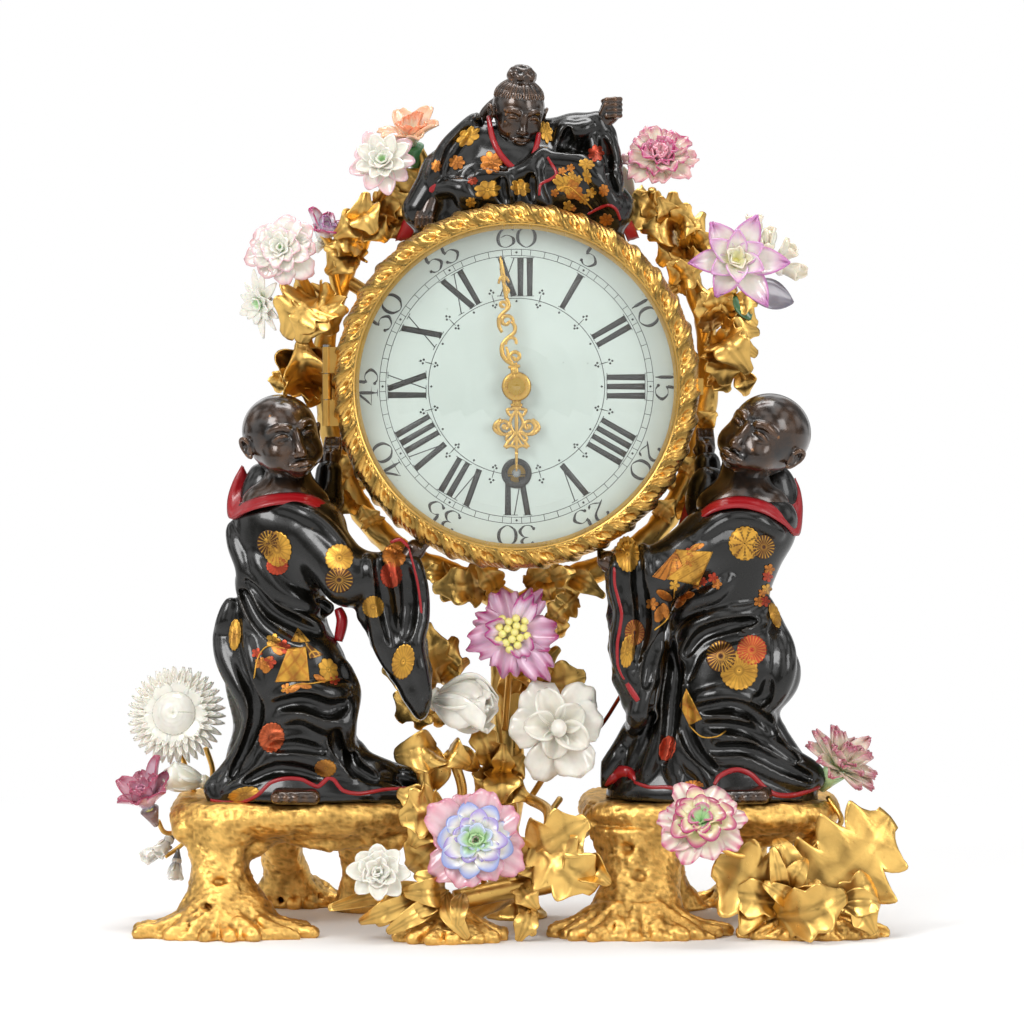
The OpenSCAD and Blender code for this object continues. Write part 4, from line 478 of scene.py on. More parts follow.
# %% Lacquer
def lacquer(name, tone, worn_tone, gloss):
    """Lacquer with a coat: the ground shows through it on the sharpest folds."""
    coat = dict(Coat_Weight=0.35, Coat_Roughness=0.06, Specular_IOR_Level=0.35)
    material, tree, shader, place = finish(name, **coat)
    cloud = clouds(tree, place, 90, 5, 0.65)
    edge = spread_over(tree, sharpness(tree), 0.52, 0.62, 0.0, 0.8)
    base = mixed(tree, maths(tree, "MULTIPLY", edge, cloud), tone, worn_tone)
    dress(tree, shader, base, spread_over(tree, cloud, 0, 1, gloss, gloss + 0.3),
          clouds(tree, place, 220, 3), 0.8, 0.16)
    return material


# black urushi over bronze
black_lacquer = lacquer("black lacquer, robes", "#0A0906", "#4E3F2B", 0.1)
# cinnabar red on linings and collars
red_lacquer = lacquer("red lacquer, collars and hems", "#A0121A", "#4A0E12", 0.2)

gold_lacquer, tree, shader, place = finish("sprinkled gold lacquer, ornament", Metallic=0.7)
specks = clouds(tree, place, 1500, 2)
thin = spread_over(tree, clouds(tree, place, 160, 4), 0.38, 0.68, 0.0, 0.55)
dress(tree, shader, mixed(tree, thin, own_tint(tree), "#5B2A12"),
      spread_over(tree, specks, 0, 1, 0.28, 0.5), specks, 0.4, 0.04)
print("lacquers", len(bpy.data.materials))

# %% [markdown]
# Porcelain and enamel are both glass over white: a smooth bright highlight, a little
# light inside the body, and no grain, only faint waves in the glaze. The petals' colours
# are painted on their points, so one glaze serves every flower.

# %% Glazes
porcelain, tree, shader, place = finish(
    "glazed soft porcelain, petals", Subsurface_Weight=0.12, Subsurface_Scale=0.0015, Coat_Weight=0.5,
    Coat_Roughness=0.05)
glaze = clouds(tree, place, 260, 3)
pooled = spread_over(tree, glaze, 0.35, 0.75, 1.0, 0.9)
grey = add(tree, "ShaderNodeCombineColor", {0: pooled, 1: pooled, 2: pooled}).outputs[0]
dress(tree, shader, mixed(tree, 1.0, own_tint(tree), grey, "MULTIPLY"),
      spread_over(tree, glaze, 0, 1, 0.14, 0.3), glaze, 0.35, 0.12)

enamel, tree, shader, place = finish("white enamel, dial", Coat_Weight=0.7, Coat_Roughness=0.04)
cloud = clouds(tree, place, 45, 4)
pores = add(tree, "ShaderNodeTexVoronoi", {"Vector": place, "Scale": 160}).outputs["Distance"]
white = mixed(tree, spread_over(tree, cloud, 0.4, 0.8, 0.0, 0.5), "#C6CDC5", "#B9C1B8")
dress(tree, shader, mixed(tree, spread_over(tree, pores, 0.03, 0.05), "#8D948A", white),
      spread_over(tree, cloud, 0, 1, 0.12, 0.24), cloud, 0.3, 0.3)

numeral_black, tree, shader, place = finish("fired black, numerals")
wear = clouds(tree, place, 300, 4)
dress(tree, shader, mixed(tree, wear, "#15130F", "#2E2A24"), spread_over(tree, wear, 0, 1, 0.25, 0.4))

# %% [markdown]
# The glass over the dial is thin and clear with a faint green, so most of the light goes
# straight through. Shadows of clear glass are nearly white: Light Path lets shadow rays
# pass straight through it.

# %% Glass
clear_glass, tree, shader, place = finish("clear crown glass, dial cover", Transmission_Weight=1.0, IOR=1.5)
ripple = clouds(tree, place, 25, 1)
dress(tree, shader, mixed(tree, ripple, "#FAFCFC", "#F5F9F9"), spread_over(tree, ripple, 0, 1, 0.0, 0.03))
straight = add(tree, "ShaderNodeBsdfTransparent", {"Color": colour("#F5F8F8")}).outputs[0]
shadow = add(tree, "ShaderNodeLightPath").outputs["Is Shadow Ray"]
either = add(tree, "ShaderNodeMixShader", {0: shadow, 1: shader.outputs[0], 2: straight}).outputs[0]
tree.links.new(either, tree.nodes["Material Output"].inputs["Surface"])
print("materials", [m.name for m in bpy.data.materials][-6:])

# %% [markdown]
# ## What repeats
# The leaves of the bezel, the twelfths of the dial, stamens and the narrow petals of the
# chrysanthemum repeat by a rule. One geometry nodes tree sets a unit round a ring, or in
# the spiral of a seed head, with a little wobble from a seeded number. The result is a
# plain mesh again, and its points are added to the piece it belongs to.

# %% The tree
spread = bpy.data.node_groups.new("one unit set by a rule", "GeometryNodeTree")
spread_inputs = {}
for label, kind in (("Unit", "Geometry"), ("Count", "Int"), ("Radius", "Float"), ("Turn", "Float"),
                    ("Power", "Float"), ("Dome", "Float"), ("Wobble", "Float"), ("Join", "Float"),
                    ("Seed", "Int"), ("Finish", "Material")):
    socket = spread.interface.new_socket(label, in_out="INPUT", socket_type="NodeSocket" + kind)
    spread_inputs[label] = socket.identifier
spread.interface.new_socket("Result", in_out="OUTPUT", socket_type="NodeSocketGeometry")
given = add(spread, "NodeGroupInput").outputs
index = add(spread, "GeometryNodeInputIndex").outputs[0]
# the radius grows with a power of the unit's share, so power 0 is a ring and 0.5 a seed head
middle = maths(spread, "ADD", index, 0.5)
grown = maths(spread, "POWER", maths(spread, "DIVIDE", middle, given["Count"]), given["Power"])
radius = maths(spread, "MULTIPLY", grown, given["Radius"])
angle = maths(spread, "MULTIPLY", index, given["Turn"])
across = maths(spread, "MULTIPLY", radius, maths(spread, "COSINE", angle))
along = maths(spread, "MULTIPLY", radius, maths(spread, "SINE", angle))
fallen = maths(spread, "SUBTRACT", 1.0, maths(spread, "MULTIPLY", grown, grown))
height = maths(spread, "MULTIPLY", fallen, given["Dome"])
spot = add(spread, "ShaderNodeCombineXYZ", {0: across, 1: along, 2: height}).outputs[0]
line = add(spread, "GeometryNodeMeshLine", {"Count": given["Count"]}).outputs[0]
spots = add(spread, "GeometryNodeSetPosition", {"Geometry": line, "Position": spot}).outputs[0]
limits = {0: maths(spread, "MULTIPLY", given["Wobble"], -1.0), 1: given["Wobble"], "Seed": given["Seed"]}
wobble = add(spread, "FunctionNodeRandomValue", limits, data_type="FLOAT_VECTOR").outputs[0]
heading = add(spread, "ShaderNodeCombineXYZ", {2: angle}).outputs[0]
turned = add(spread, "ShaderNodeVectorMath", {0: heading, 1: wobble}, operation="ADD").outputs[0]
setting = {"Points": spots, "Instance": given["Unit"], "Rotation": turned}
many = add(spread, "GeometryNodeInstanceOnPoints", setting).outputs[0]
real = add(spread, "GeometryNodeRealizeInstances", {"Geometry": many}).outputs[0]
joining = {"Geometry": real, "Distance": given["Join"]}
joined = add(spread, "GeometryNodeMergeByDistance", joining).outputs[0]
coating = {"Geometry": joined, "Material": given["Finish"]}
finished = add(spread, "GeometryNodeSetMaterial", coating).outputs[0]
add(spread, "NodeGroupOutput", {0: finished})


# %% Using it
def spread_out(gather, unit, finish, count, turn=None, radius=0.0, power=0.0, dome=0.0, wobble=0.0,
               join=0.0, seed=1, axes=np.eye(3), centre=(0, 0, 0)):
    """Sets a gathered unit many times and adds the result to a gathered mesh, turned and in its place."""
    holder = bpy.data.objects.new("unit", unit.mesh("unit", finish, 1.0))
    scene.collection.objects.link(holder)
    modifier = holder.modifiers.new("spread", "NODES")
    modifier.node_group = spread
    values = {"Count": count, "Turn": 2 * math.pi / count if turn is None else turn,
              "Radius": float(radius), "Power": float(power), "Dome": float(dome),
              "Wobble": float(wobble), "Join": float(join), "Seed": seed, "Finish": finish}
    for label, value in values.items():
        modifier[spread_inputs[label]] = value
    result = bpy.data.meshes.new_from_object(holder.evaluated_get(bpy.context.evaluated_depsgraph_get()))
    points = np.empty(len(result.vertices) * 3)
    result.vertices.foreach_get("co", points)
    tints = np.empty(len(result.vertices) * 4)
    result.attributes["tint"].data.foreach_get("color", tints)
    faces = [tuple(p.vertices) for p in result.polygons]
    bpy.data.objects.remove(holder)
    quads, tris = ([f for f in faces if len(f) == corners] for corners in (4, 3))
    gather.add(points.reshape(-1, 3) @ np.asarray(axes).T + centre, quads, tris,
               tints.reshape(-1, 4)[:, :3])
    print("set by rule:", count, "units,", len(faces), "faces")

# %% [markdown]
# ## The dial
# A domed plate enamelled white, with everything on it fired in black: a minute track with
# numbers every five minutes, Roman hours, and small trefoils at the half hours. The black
# is a film on the dome, so each stroke is a thin strip laid over the dome. A pen's strokes
# swell where they run up or down, and that is how the widths are found.

# %% The dome
def surface_of(node):
    """A node's mesh as a tree that rays can be shot at."""
    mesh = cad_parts[node].data
    return BVHTree.FromPolygons([v.co for v in mesh.vertices], [tuple(p.vertices) for p in mesh.polygons])


def depth_of(tree, x, z, far=-200):
    """How far back (mm) the surface lies at a place, seen from the front."""
    hit = tree.ray_cast(Vector((x * MM, far * MM, z * MM)), Vector((0, 1, 0)))[0]
    return None if hit is None else hit.y / MM


# the height of the dial's axis, and how far the ink stands off the enamel
dial_z, ink_lift = 242.0, 0.05
# the dome's depth from the winding hole's side to the rim, found along a slanting line
radii = np.linspace(8, 72, 65)
rim_depth = -41.5
dome_rays = surface_of("dial")
dome_depths = np.array([depth_of(dome_rays, r * 0.7071, dial_z + r * 0.7071) or rim_depth for r in radii])
print("dome from", dome_depths[0].round(2), "to", dome_depths[-1].round(2))


def on_dome(points):
    """Places across, up and off the enamel, brought onto the dome."""
    across, up, off = np.moveaxis(points, -1, 0)
    depth = np.interp(np.hypot(across, up), radii, dome_depths) - ink_lift - off
    return np.stack([across, depth, up + dial_z], -1)


def strip(gather, path, width, lift=0.0):
    """A flat strip of ink along a path of places, with its widths."""
    path = np.asarray(path, float)
    t = unit(np.gradient(path, axis=0))
    side = np.stack([-t[:, 1], t[:, 0]], -1) * np.broadcast_to(width, (len(path),))[:, None] / 2
    flat = np.stack([path + side, path - side], 1)
    gather.add(*sheet(np.concatenate([flat, np.full(flat.shape[:2] + (1,), lift)], -1), 0.05))


def radial_place(heading, across, out):
    """From across and outwards at a heading (clockwise from 12) to across and up."""
    s, c = math.sin(math.radians(heading)), math.cos(math.radians(heading))
    return np.stack([out * s + across * c, out * c - across * s], -1)


def circle(r, count, up=0.0):
    """Places round a circle, clockwise from 12."""
    a = np.radians(np.linspace(0, 360, count))
    return np.stack([r * np.sin(a), r * np.cos(a) + up], -1)


# %% The track and the half hours
ink = Gather()
track_inner, track_outer, half_hour_ring = 57.9, 60.7, 39.0
for r, w in ((track_inner, 0.26), (track_outer, 0.26), (half_hour_ring, 0.3)):
    strip(ink, circle(r, 181), w)


def dot(gather, heading, across, out, r):
    """A round dot of ink."""
    t = np.linspace(-1, 1, 9) * r
    width = 2 * np.sqrt(np.maximum(r * r - t * t, 0.0025 * r))
    strip(gather, radial_place(heading, across + t, out + 0 * t), width, 0.01)


def line(gather, heading, a, b, width):
    """A straight stroke between two places at a heading."""
    t = np.linspace(0, 1, 5)[:, None]
    flat = np.asarray(a, float) * (1 - t) + np.asarray(b, float) * t
    strip(gather, radial_place(heading, flat[:, 0], flat[:, 1]), width)


# one twelfth of the track: minutes, the five-minute box, and the trefoils of the half hour
twelfth = Gather()
for heading in (-2.2, 2.2, 6, 12, 18, 24):
    line(twelfth, heading, (0, track_inner), (0, track_outer), 0.26)
dot(twelfth, 0, 0, 59.3, 0.5)
dot(twelfth, 0, 0, 37.7, 0.5)
line(twelfth, 15, (0, 38.0), (0, 42.0), (0.2, 0.3, 0.4, 0.3, 0.2))
for across, out in ((-0.85, 42.7), (0.85, 42.7), (0, 43.9), (-0.8, 37.2), (0.8, 37.2), (0, 36.2)):
    dot(twelfth, 15, across, out, 0.5)
spread_out(ink, twelfth, numeral_black, 12)

# %% Roman hours
inner_r, outer_r, bar_pitch, letter_pitch, letter_gap = 40.0, 56.9, 4.1, 7.6, 1.6
for hour, letters in enumerate("XII I II III IIII V VI VII VIII IX X XI".split()):
    widths = [bar_pitch if letter == "I" else letter_pitch for letter in letters]
    start = -sum(widths) / 2
    for letter, width in zip(letters, widths):
        middle, half = start + width / 2, (width - letter_gap) / 2
        if letter == "I":
            line(ink, hour * 30, (middle, inner_r), (middle, outer_r), np.linspace(2.3, 2.8, 5))
            feet = [(middle, inner_r, 1.9), (middle, outer_r, 2.1)]
        else:
            foot = 0 if letter == "V" else half
            line(ink, hour * 30, (middle + foot, inner_r), (middle - half, outer_r), 2.6)
            line(ink, hour * 30, (middle - foot, inner_r), (middle + half, outer_r), 0.45)
            feet = [(middle - half, outer_r, 2.0), (middle + half, outer_r, 1.5)]
            if letter == "X":
                feet += [(middle - half, inner_r, 1.5), (middle + half, inner_r, 2.0)]
        for across, out, reach in feet:
            line(ink, hour * 30, (across - reach, out), (across + reach, out), 0.3)
        start += width

# %% Minute numbers
# Each digit is one or two pen strokes in a box one high; a first number above 0 is a ball's size.
digit_strokes = {
    "0": (0.86, [(0, [(0.42, 0.99), (0.13, 0.8), (0.05, 0.5), (0.13, 0.2), (0.42, 0.01), (0.71, 0.2),
                      (0.79, 0.5), (0.71, 0.8), (0.42, 0.99)])]),
    "1": (0.5, [(0, [(0.25, 0), (0.25, 0.5), (0.25, 0.97)]),
                (0, [(0.08, 0.84), (0.17, 0.9), (0.24, 0.99)])]),
    "2": (0.86, [(0.075, [(0.14, 0.76), (0.2, 0.92), (0.42, 0.99), (0.66, 0.82), (0.62, 0.56), (0.34, 0.3),
                          (0.08, 0.06)]),
                 (0, [(0.08, 0.08), (0.24, 0.16), (0.46, 0.06), (0.66, 0.03), (0.78, 0.2)])]),
    "3": (0.8, [(0.07, [(0.14, 0.84), (0.26, 0.97), (0.48, 0.95), (0.6, 0.78), (0.5, 0.62), (0.3, 0.57)]),
                (0.075, [(0.1, 0.15), (0.24, 0.02), (0.5, 0.04), (0.68, 0.28), (0.54, 0.53),
                         (0.3, 0.57)])]),
    "4": (0.86, [(0, [(0.56, 1.0), (0.56, 0.6), (0.56, 0.0)]),
                 (0, [(0.54, 0.98), (0.3, 0.62), (0.04, 0.3)]),
                 (0, [(0.02, 0.3), (0.4, 0.3), (0.82, 0.3)]),
                 (0, [(0.38, 0.0), (0.56, 0.01), (0.74, 0.0)])]),
    "5": (0.8, [(0.075, [(0.1, 0.14), (0.26, 0.02), (0.5, 0.05), (0.68, 0.32), (0.5, 0.58), (0.28, 0.6),
                         (0.14, 0.5)]),
                (0, [(0.15, 0.52), (0.17, 0.74), (0.2, 0.96)]),
                (0.05, [(0.68, 1.0), (0.52, 0.93), (0.34, 0.98), (0.2, 0.95)])]),
    "6": (0.86, [(0.075, [(0.68, 0.88), (0.56, 0.98), (0.36, 0.95), (0.14, 0.68), (0.07, 0.36),
                          (0.18, 0.08), (0.44, 0.01), (0.72, 0.2), (0.7, 0.46), (0.44, 0.58),
                          (0.18, 0.46)])]),
}
digit_height, digit_breadth, digit_ring = 9.3, 10.4, 61.5
for minute in range(5, 61, 5):
    digits = [digit_strokes[d] for d in str(minute)]
    start = -sum(d[0] for d in digits) / 2
    for width, strokes in digits:
        for ball, points in strokes:
            path = smooth_path(points, 8)
            up = np.abs(unit(np.gradient(path, axis=0))[:, 1])
            steps = np.arange(len(path))
            taper = np.clip(np.minimum(steps, steps[::-1]) / 4, 0.35, 1)
            flat = (path + (start, 0)) * (digit_breadth, digit_height) + (0, digit_ring)
            strip(ink, radial_place(minute * 6, flat[:, 0], flat[:, 1]), (0.3 + 1.15 * up**2.2) * taper)
            if ball:
                dot(ink, minute * 6, *flat[0], ball * digit_height)
        start += width
# the black collet round the winding hole
winding_z = 203.6
for r, w, lift in ((5.6, 2.2, 0.3), (4.6, 1.2, 0.1)):
    strip(ink, circle(r, 41, winding_z - dial_z), w, lift)
ink.points = [on_dome(p) for p in ink.points]
ink.piece("dial_numerals", numeral_black, "dial_enamel")
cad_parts["dial"].data.materials[0] = enamel

# %% [markdown]
# ## The bezel
# The cast bezel is a ring of slanting leaves that overlap like a wave, each with a small
# curl at its root. The unit is one slanting leaf on its share of the ring, and the tree
# joins the units into one ring. The hinge and the tab of the solid model stay under it.

# %% Bezel
leaf_count = 36
theta = np.linspace(0, 2 * math.pi / leaf_count, 41)[:, None]
# the section from the inner lip over the front to the back edge: radius and distance forward
section = smooth_path([(72.0, 53.4), (72.0, 55.0), (72.9, 55.9), (74.2, 56.0), (76.4, 55.4),
                       (78.6, 53.6), (80.2, 50.6), (80.9, 47.4), (80.8, 44.4), (80.2, 42.6)], 5)
s = np.linspace(0, 1, len(section))[None, :]
# the place across a leaf, which slants as the section goes round
u = (leaf_count * theta / (2 * math.pi) + 1.15 * s) % 1.0


def between(x, a, b, c, d):
    """One between b and c, falling softly to nothing at a and d."""
    return smooth_step(a, b, x) * (1 - smooth_step(c, d, x))


body_of_leaf = between(s, 0.14, 0.26, 0.86, 0.98)
lobe = 1.3 * between(u, -0.1, 0.7, 0.84, 1.0) - 0.55
veins = 0.3 * (1 - 2 * np.abs(np.sin(math.pi * 5 * u + 1.5 * s)) ** 1.4) * between(u, 0.1, 0.5, 0.8, 1.0)
from_curl = np.hypot((u - 0.45) * 3.4, (s - 0.42) * 8.5)
curl = 1.3 * np.exp(-2.2 * from_curl**2)
ring_round_curl = np.exp(-((from_curl - 1.0) * 3.2) ** 2)
groove = -0.5 * np.exp(-((u - 0.02) / 0.05) ** 2) - 0.5 * np.exp(-((u - 1.0) / 0.05) ** 2)
height = body_of_leaf * (0.85 * lobe + veins + 0.9 * curl - 0.5 * ring_round_curl + groove)
lip = 0.16 * np.cos(3 * leaf_count * theta) * np.exp(-((s - 0.13) / 0.04) ** 2)
tangent = unit(np.gradient(section, axis=0))
outwards = np.stack([tangent[:, 1], -tangent[:, 0]], -1)
front_side = section[None] + outwards[None] * (height + lip)[..., None]
back_side = np.broadcast_to([(74.2, 44.0), (73.2, 52.6)], (len(theta), 2, 2))
# the first column comes again at the end and closes the section
closed = np.concatenate([front_side, back_side, front_side[:, :1]], 1)
height = np.concatenate([height, np.zeros((len(theta), 2)), height[:, :1]], 1)
# painted shade and highlight: the low parts of the relief are darker, the high parts lighter
shade = np.clip(0.72 + 0.5 * height, 0.35, 1.05)[..., None]
out, forward = closed[..., 0], closed[..., 1]
one_leaf = Gather()
one_leaf.add(np.stack([out * np.sin(theta), out * np.cos(theta), forward], -1),
             grid_quads(len(theta), closed.shape[1])[:, ::-1],
             tint=(shade * (1, 0.93, 0.8) + (1 - shade) * (0, 0.02, 0.03)).reshape(-1, 3))
relief = Gather()
spread_out(relief, one_leaf, gilt_bezel, leaf_count, -2 * math.pi / leaf_count, join=0.002,
           axes=[(1, 0, 0), (0, 0, -1), (0, 1, 0)], centre=(0, 0, dial_z))
relief.piece("bezel_relief", gilt_bezel, "gilt_bronze", "bezel")

# %% [markdown]
# ## The hands
# Both are sawn from gilt brass and chased, so a hand is a drawing in flat wire: scrolls
# whose ends curl into little volutes, with a needle or an arrow beyond. Each is drawn
# along its own heading, across and outwards, and stands for the plain hand of the frame.

# %% Flat wire
def spiral(centre, r_start, r_end, a_start, a_end, n=22):
    """Points of a volute round a centre; angles in degrees, from across towards outwards."""
    a, r = np.radians(np.linspace(a_start, a_end, n)), np.linspace(r_start, r_end, n)
    return [(centre[0] + q * math.cos(b), centre[1] + q * math.sin(b)) for q, b in zip(r, a)]


def hand_wire(hand, heading, forward, path, width, thick=0.8, steps=3):
    """A chased flat wire with a rounded face, in a hand's own places across and out."""
    path = smooth_path(path, steps)
    width = evenly(width, len(path))
    t = unit(np.gradient(path, axis=0))
    side = np.stack([-t[:, 1], t[:, 0]], -1)
    flat = path[:, None] + side[:, None] * np.linspace(-0.5, 0.5, 5)[None, :, None] * width[:, None, None]
    place = radial_place(heading, flat[..., 0], flat[..., 1])
    crown = 0.28 * np.minimum(width, 1.2)[:, None] * (1 - np.linspace(-1, 1, 5)[None] ** 2)
    points = np.stack([place[..., 0], -(forward + crown), dial_z + place[..., 1]], -1)
    hand.add(*sheet(points, thick))


def mirrored(path):
    return [(-x, y) for x, y in path]


# %% Hour hand
hour_depth = -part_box("hour_hand")[0][1] / MM - 0.4
hour_heading, minute_heading = 180.0, -7.0
hour = Gather()
for path, width in [
    ([(-1.1, 5.4), (-0.9, 8.0)], 1.5), ([(1.1, 5.4), (0.9, 8.0)], 1.5), ([(0, 5.4), (0, 8.2)], 1.6),
    ([(-2.6, 8.3), (0, 8.1), (2.6, 8.3)], 1.0), ([(-2.0, 9.4), (0, 9.3), (2.0, 9.4)], 0.9),
    ([(0, 9.4), (0, 12.4), (0, 16.0), (0, 22.0), (0, 29.0)], (1.5, 0.9, 1.4, 1.0, 0.9)),
    ([(0, 28.5), (0, 33), (0, 37.4)], (1.0, 0.7, 0.25)),
    ([(-5.0, 27.0), (-2.6, 26.1), (0, 26.8), (2.6, 26.1), (5.0, 27.0)], (1.1, 0.9, 1.0, 0.9, 1.1)),
]:
    hand_wire(hour, hour_heading, hour_depth, path, width)
for flip in (lambda path: path, mirrored):
    for path, width in [
        # crest beside the neck, then the diamond in the middle
        ([(0, 9.6), (2.2, 9.9), (4.2, 10.4), (3.4, 12.2), (2.4, 13.0), (1.6, 12.0)],
         (1.2, 1.1, 0.9, 0.8, 0.7)),
        ([(0.4, 10.6), (1.9, 13.4), (2.9, 16.2), (1.7, 19.4), (0.3, 21.6)], (0.9, 0.8, 1.0, 0.8, 0.9)),
        # the large side scroll with its eye, and the leaf that it throws out
        (spiral((5.3, 17.6), 3.9, 1.3, 150, -250), (0.9, 1.3, 1.1, 0.8)),
        (spiral((5.3, 17.6), 0.8, 0.2, -250, -560, 10), (1.2, 1.0)),
        ([(6.9, 14.4), (9.0, 16.4), (9.9, 18.6), (8.2, 20.4), (6.2, 21.4)], (0.8, 1.7, 1.1, 1.2, 0.6)),
        # the fan below it
        ([(0.4, 19.8), (1.8, 22.4), (3.6, 24.4), (5.3, 26.9)], (0.8, 0.9, 1.0, 1.2)),
        ([(0.2, 22.2), (1.1, 24.2), (2.4, 26.3)], (0.6, 0.6, 0.8)),
        ([(2.0, 20.6), (3.6, 21.6), (4.6, 23.2), (3.8, 24.2)], (0.7, 0.9, 0.8, 0.6)),
    ]:
        hand_wire(hour, hour_heading, hour_depth, flip(path), width)
hand_wire(hour, hour_heading, hour_depth, circle(4.6, 49), 3.6, steps=1)
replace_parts(hour.piece("hour_hand_pierced", gilt_hands, "gilt_hands", "hour_wheel"), "hour_hand")

# %% Minute hand
minute_depth = -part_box("minute_hand")[0][1] / MM - 0.4
long_hand = Gather()
for path, width in [
    ([(-0.9, 5.4), (-0.8, 8.6)], 1.3), ([(0.9, 5.4), (0.8, 8.6)], 1.3), ([(0, 5.4), (0, 8.8)], 1.5),
    ([(-2.6, 8.9), (0, 8.6), (2.6, 8.9)], 0.9), ([(-1.6, 9.9), (0, 9.8), (1.6, 9.9)], 0.9),
    ([(0, 9.8), (-2.6, 11.4), (-4.4, 14.6), (-4.1, 18.6), (-1.4, 21.6), (1.8, 23.6), (2.5, 26.4),
      (1.2, 28.6)],
     (1.0, 1.3, 1.7, 1.5, 1.1, 1.2, 1.3, 0.9)),
    (spiral((1.2, 13.0), 2.9, 0.7, 235, -200), (0.8, 1.2, 1.3, 1.2)),
    (spiral((0.6, 19.3), 3.0, 1.4, 190, -30), (0.7, 1.0, 0.9)),
    ([(-2.6, 11.6), (-2.0, 14.8), (-2.4, 18.0)], (0.7, 1.0, 0.6)),
    (spiral((-0.9, 29.0), 3.0, 0.8, -20, 370), (1.0, 1.2, 1.0, 1.1)),
    ([(-3.4, 24.4), (-4.3, 27.0), (-4.0, 30.6), (-1.4, 33.2), (0.9, 35.0), (0.9, 37.2), (0.2, 39.4)],
     (0.8, 1.3, 1.5, 1.2, 1.1, 1.3, 1.2)),
    (spiral((-1.6, 36.3), 1.9, 0.6, -60, 300, 14), (0.8, 1.0, 0.9)),
    ([(0.2, 39), (0.3, 42), (0, 46.0)], (1.2, 1.9, 1.2)),
    ([(0.4, 40.6), (1.7, 42.4), (0.6, 44.6)], (0.7, 0.9, 0.5)),
    ([(0, 45.6), (0, 48.4), (0, 52.0), (0, 57.9)], (1.1, 2.0, 1.9, 0.25)),
    ([(0, 49.4), (-1.6, 47.6), (-2.3, 45.8)], (1.0, 0.9, 0.5)),
    ([(0, 49.4), (1.6, 47.6), (2.3, 45.8)], (1.0, 0.9, 0.5)),
]:
    hand_wire(long_hand, minute_heading, minute_depth, path, width)
hand_wire(long_hand, minute_heading, minute_depth, circle(4.7, 49), 3.4, steps=1)
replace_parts(long_hand.piece("minute_hand_pierced", gilt_hands, "gilt_hands", "centre_arbor"), "minute_hand")
print("hands at", round(hour_depth, 2), round(minute_depth, 2), "forward of the middle")

# %% [markdown]
# ## The frame's own parts
# Plates, wheels, arbors, screws, the drum and the glass are already right as solids. They
# keep their shapes and get the metals, so what shows through the back is the real thing.

# %% Metals of the frame
worn_by = {
    case_gilt: "drum_case case_lugs rear_door bezel door_knob base_screws figure_nuts",
    brass: "glass_ring front_plate back_plate plate_pillars mainspring_barrel intermediate_wheel "
           "centre_wheel third_wheel escape_wheel back_cock cannon_pinion minute_wheel hour_wheel pendulum "
           "hand_nut lug_screws",
    steel: "pillar_nuts mainspring winding_arbor click pallets bezel_hinge_pin rear_door_pin",
    clear_glass: "bezel_glass",
}
for material, names in worn_by.items():
    for name in names.split():
        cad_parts[name].data.materials.clear()
        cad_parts[name].data.materials.append(material)
print("kept", sum(len(names.split()) for names in worn_by.values()), "nodes of the frame")

# %% [markdown]
# ## Rockwork
# The platforms look like slabs of root and rock on legs that spread at the foot. They are
# built in the wax grid from level ovals and bars, and then the skin is pushed in and out
# by noise: large lumps first, then the fine ridged mat of the chaser's punches.

# %% Places on the object
# the camera's distance and height, its scale, and where the dial's axis falls in a frame of 1024
eye_far, eye_z, eye_scale, middle_px, middle_py = 1800, 240, 3960, 516.5, 391


def seen(px, py, y):
    """The point at depth y that the camera sees at a place in a frame of 1024."""
    share = (eye_far + y) / eye_scale
    return np.array([(px - middle_px) * share, y, eye_z + (middle_py - py) * share], float)


def skin_normals(points, quads):
    """Outward directions at the points of a skin."""
    a, b, c, d = (points[quads[:, i]] for i in range(4))
    face = np.cross(c - a, d - b)
    out = np.zeros_like(points)
    for i in range(4):
        for axis in range(3):
            out[:, axis] += np.bincount(quads[:, i], face[:, axis], len(points))
    return unit(out)


def cast_rock(wax, name, seed, *nodes, lumps=0.9, grain=0.32, floor_at=0.0):
    """Skin of the wax with bark and punch marks; hollows get a painted brown shade. Stands for its nodes."""
    gather = Gather()
    points = wax.skin(gather)
    quads = gather.quads[0]
    normal = skin_normals(points, quads)
    large = noise_at(points, 9, seed, 3)
    stretched = points * (1, 1, 1.9)
    ridged = 1 - 2 * np.abs(noise_at(stretched, 3.4, seed + 7, 2))
    fine = noise_at(points, 1.6, seed + 3, 2)
    move = lumps * large + grain * (ridged + 0.6 * fine)
    free = smooth_step(floor_at, floor_at + 2.5, points[:, 2])
    points = points + normal * (move * free)[:, None]
    points[:, 2] = np.maximum(points[:, 2], floor_at)
    # painted shade: darker where the lumps and ridges push the skin in, lighter where they push it out
    tone = np.clip(0.8 + 0.3 * ridged + 0.25 * large, 0.25, 1.1)
    gather.points[0] = points
    gather.tints[0] = tone[:, None] * (1, 0.96, 0.85) + (1 - tone[:, None]) * (0.02, 0, 0)
    obj = gather.piece(name, gilt_rock, "gilt_bronze")
    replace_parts(obj, *nodes)
    return obj


def root_foot(wax, cx, cy, ax, ay, count, seed, top=17.0):
    """Toes of root round a foot, with grooves between them that run up the leg."""
    wander = np.random.default_rng(seed)
    for k in range(count):
        a = 2 * math.pi * (k + 0.28 * wander.uniform(-1, 1)) / count
        b = a + math.pi / count
        reach = 0.95 + 0.1 * wander.uniform(-1, 1)
        toe_steps = ((0.36, 0.6 * top), (0.66, 4.4), (reach, 2.0))
        gap_steps = ((0.43, top), (0.6, 9.0), (0.85, 4.8), (1.12, 2.0))
        toe, gap = ([(cx + f * ax * math.cos(w), cy + f * ay * math.sin(w), h) for f, h in steps]
                    for w, steps in ((a, toe_steps), (b, gap_steps)))
        wax.ridge(toe, (3.2, 3.6, 3.2), 1.2)
        wax.ridge(gap, (0.4, 0.8, 1.1, 2.0), 1.0, cut=True)


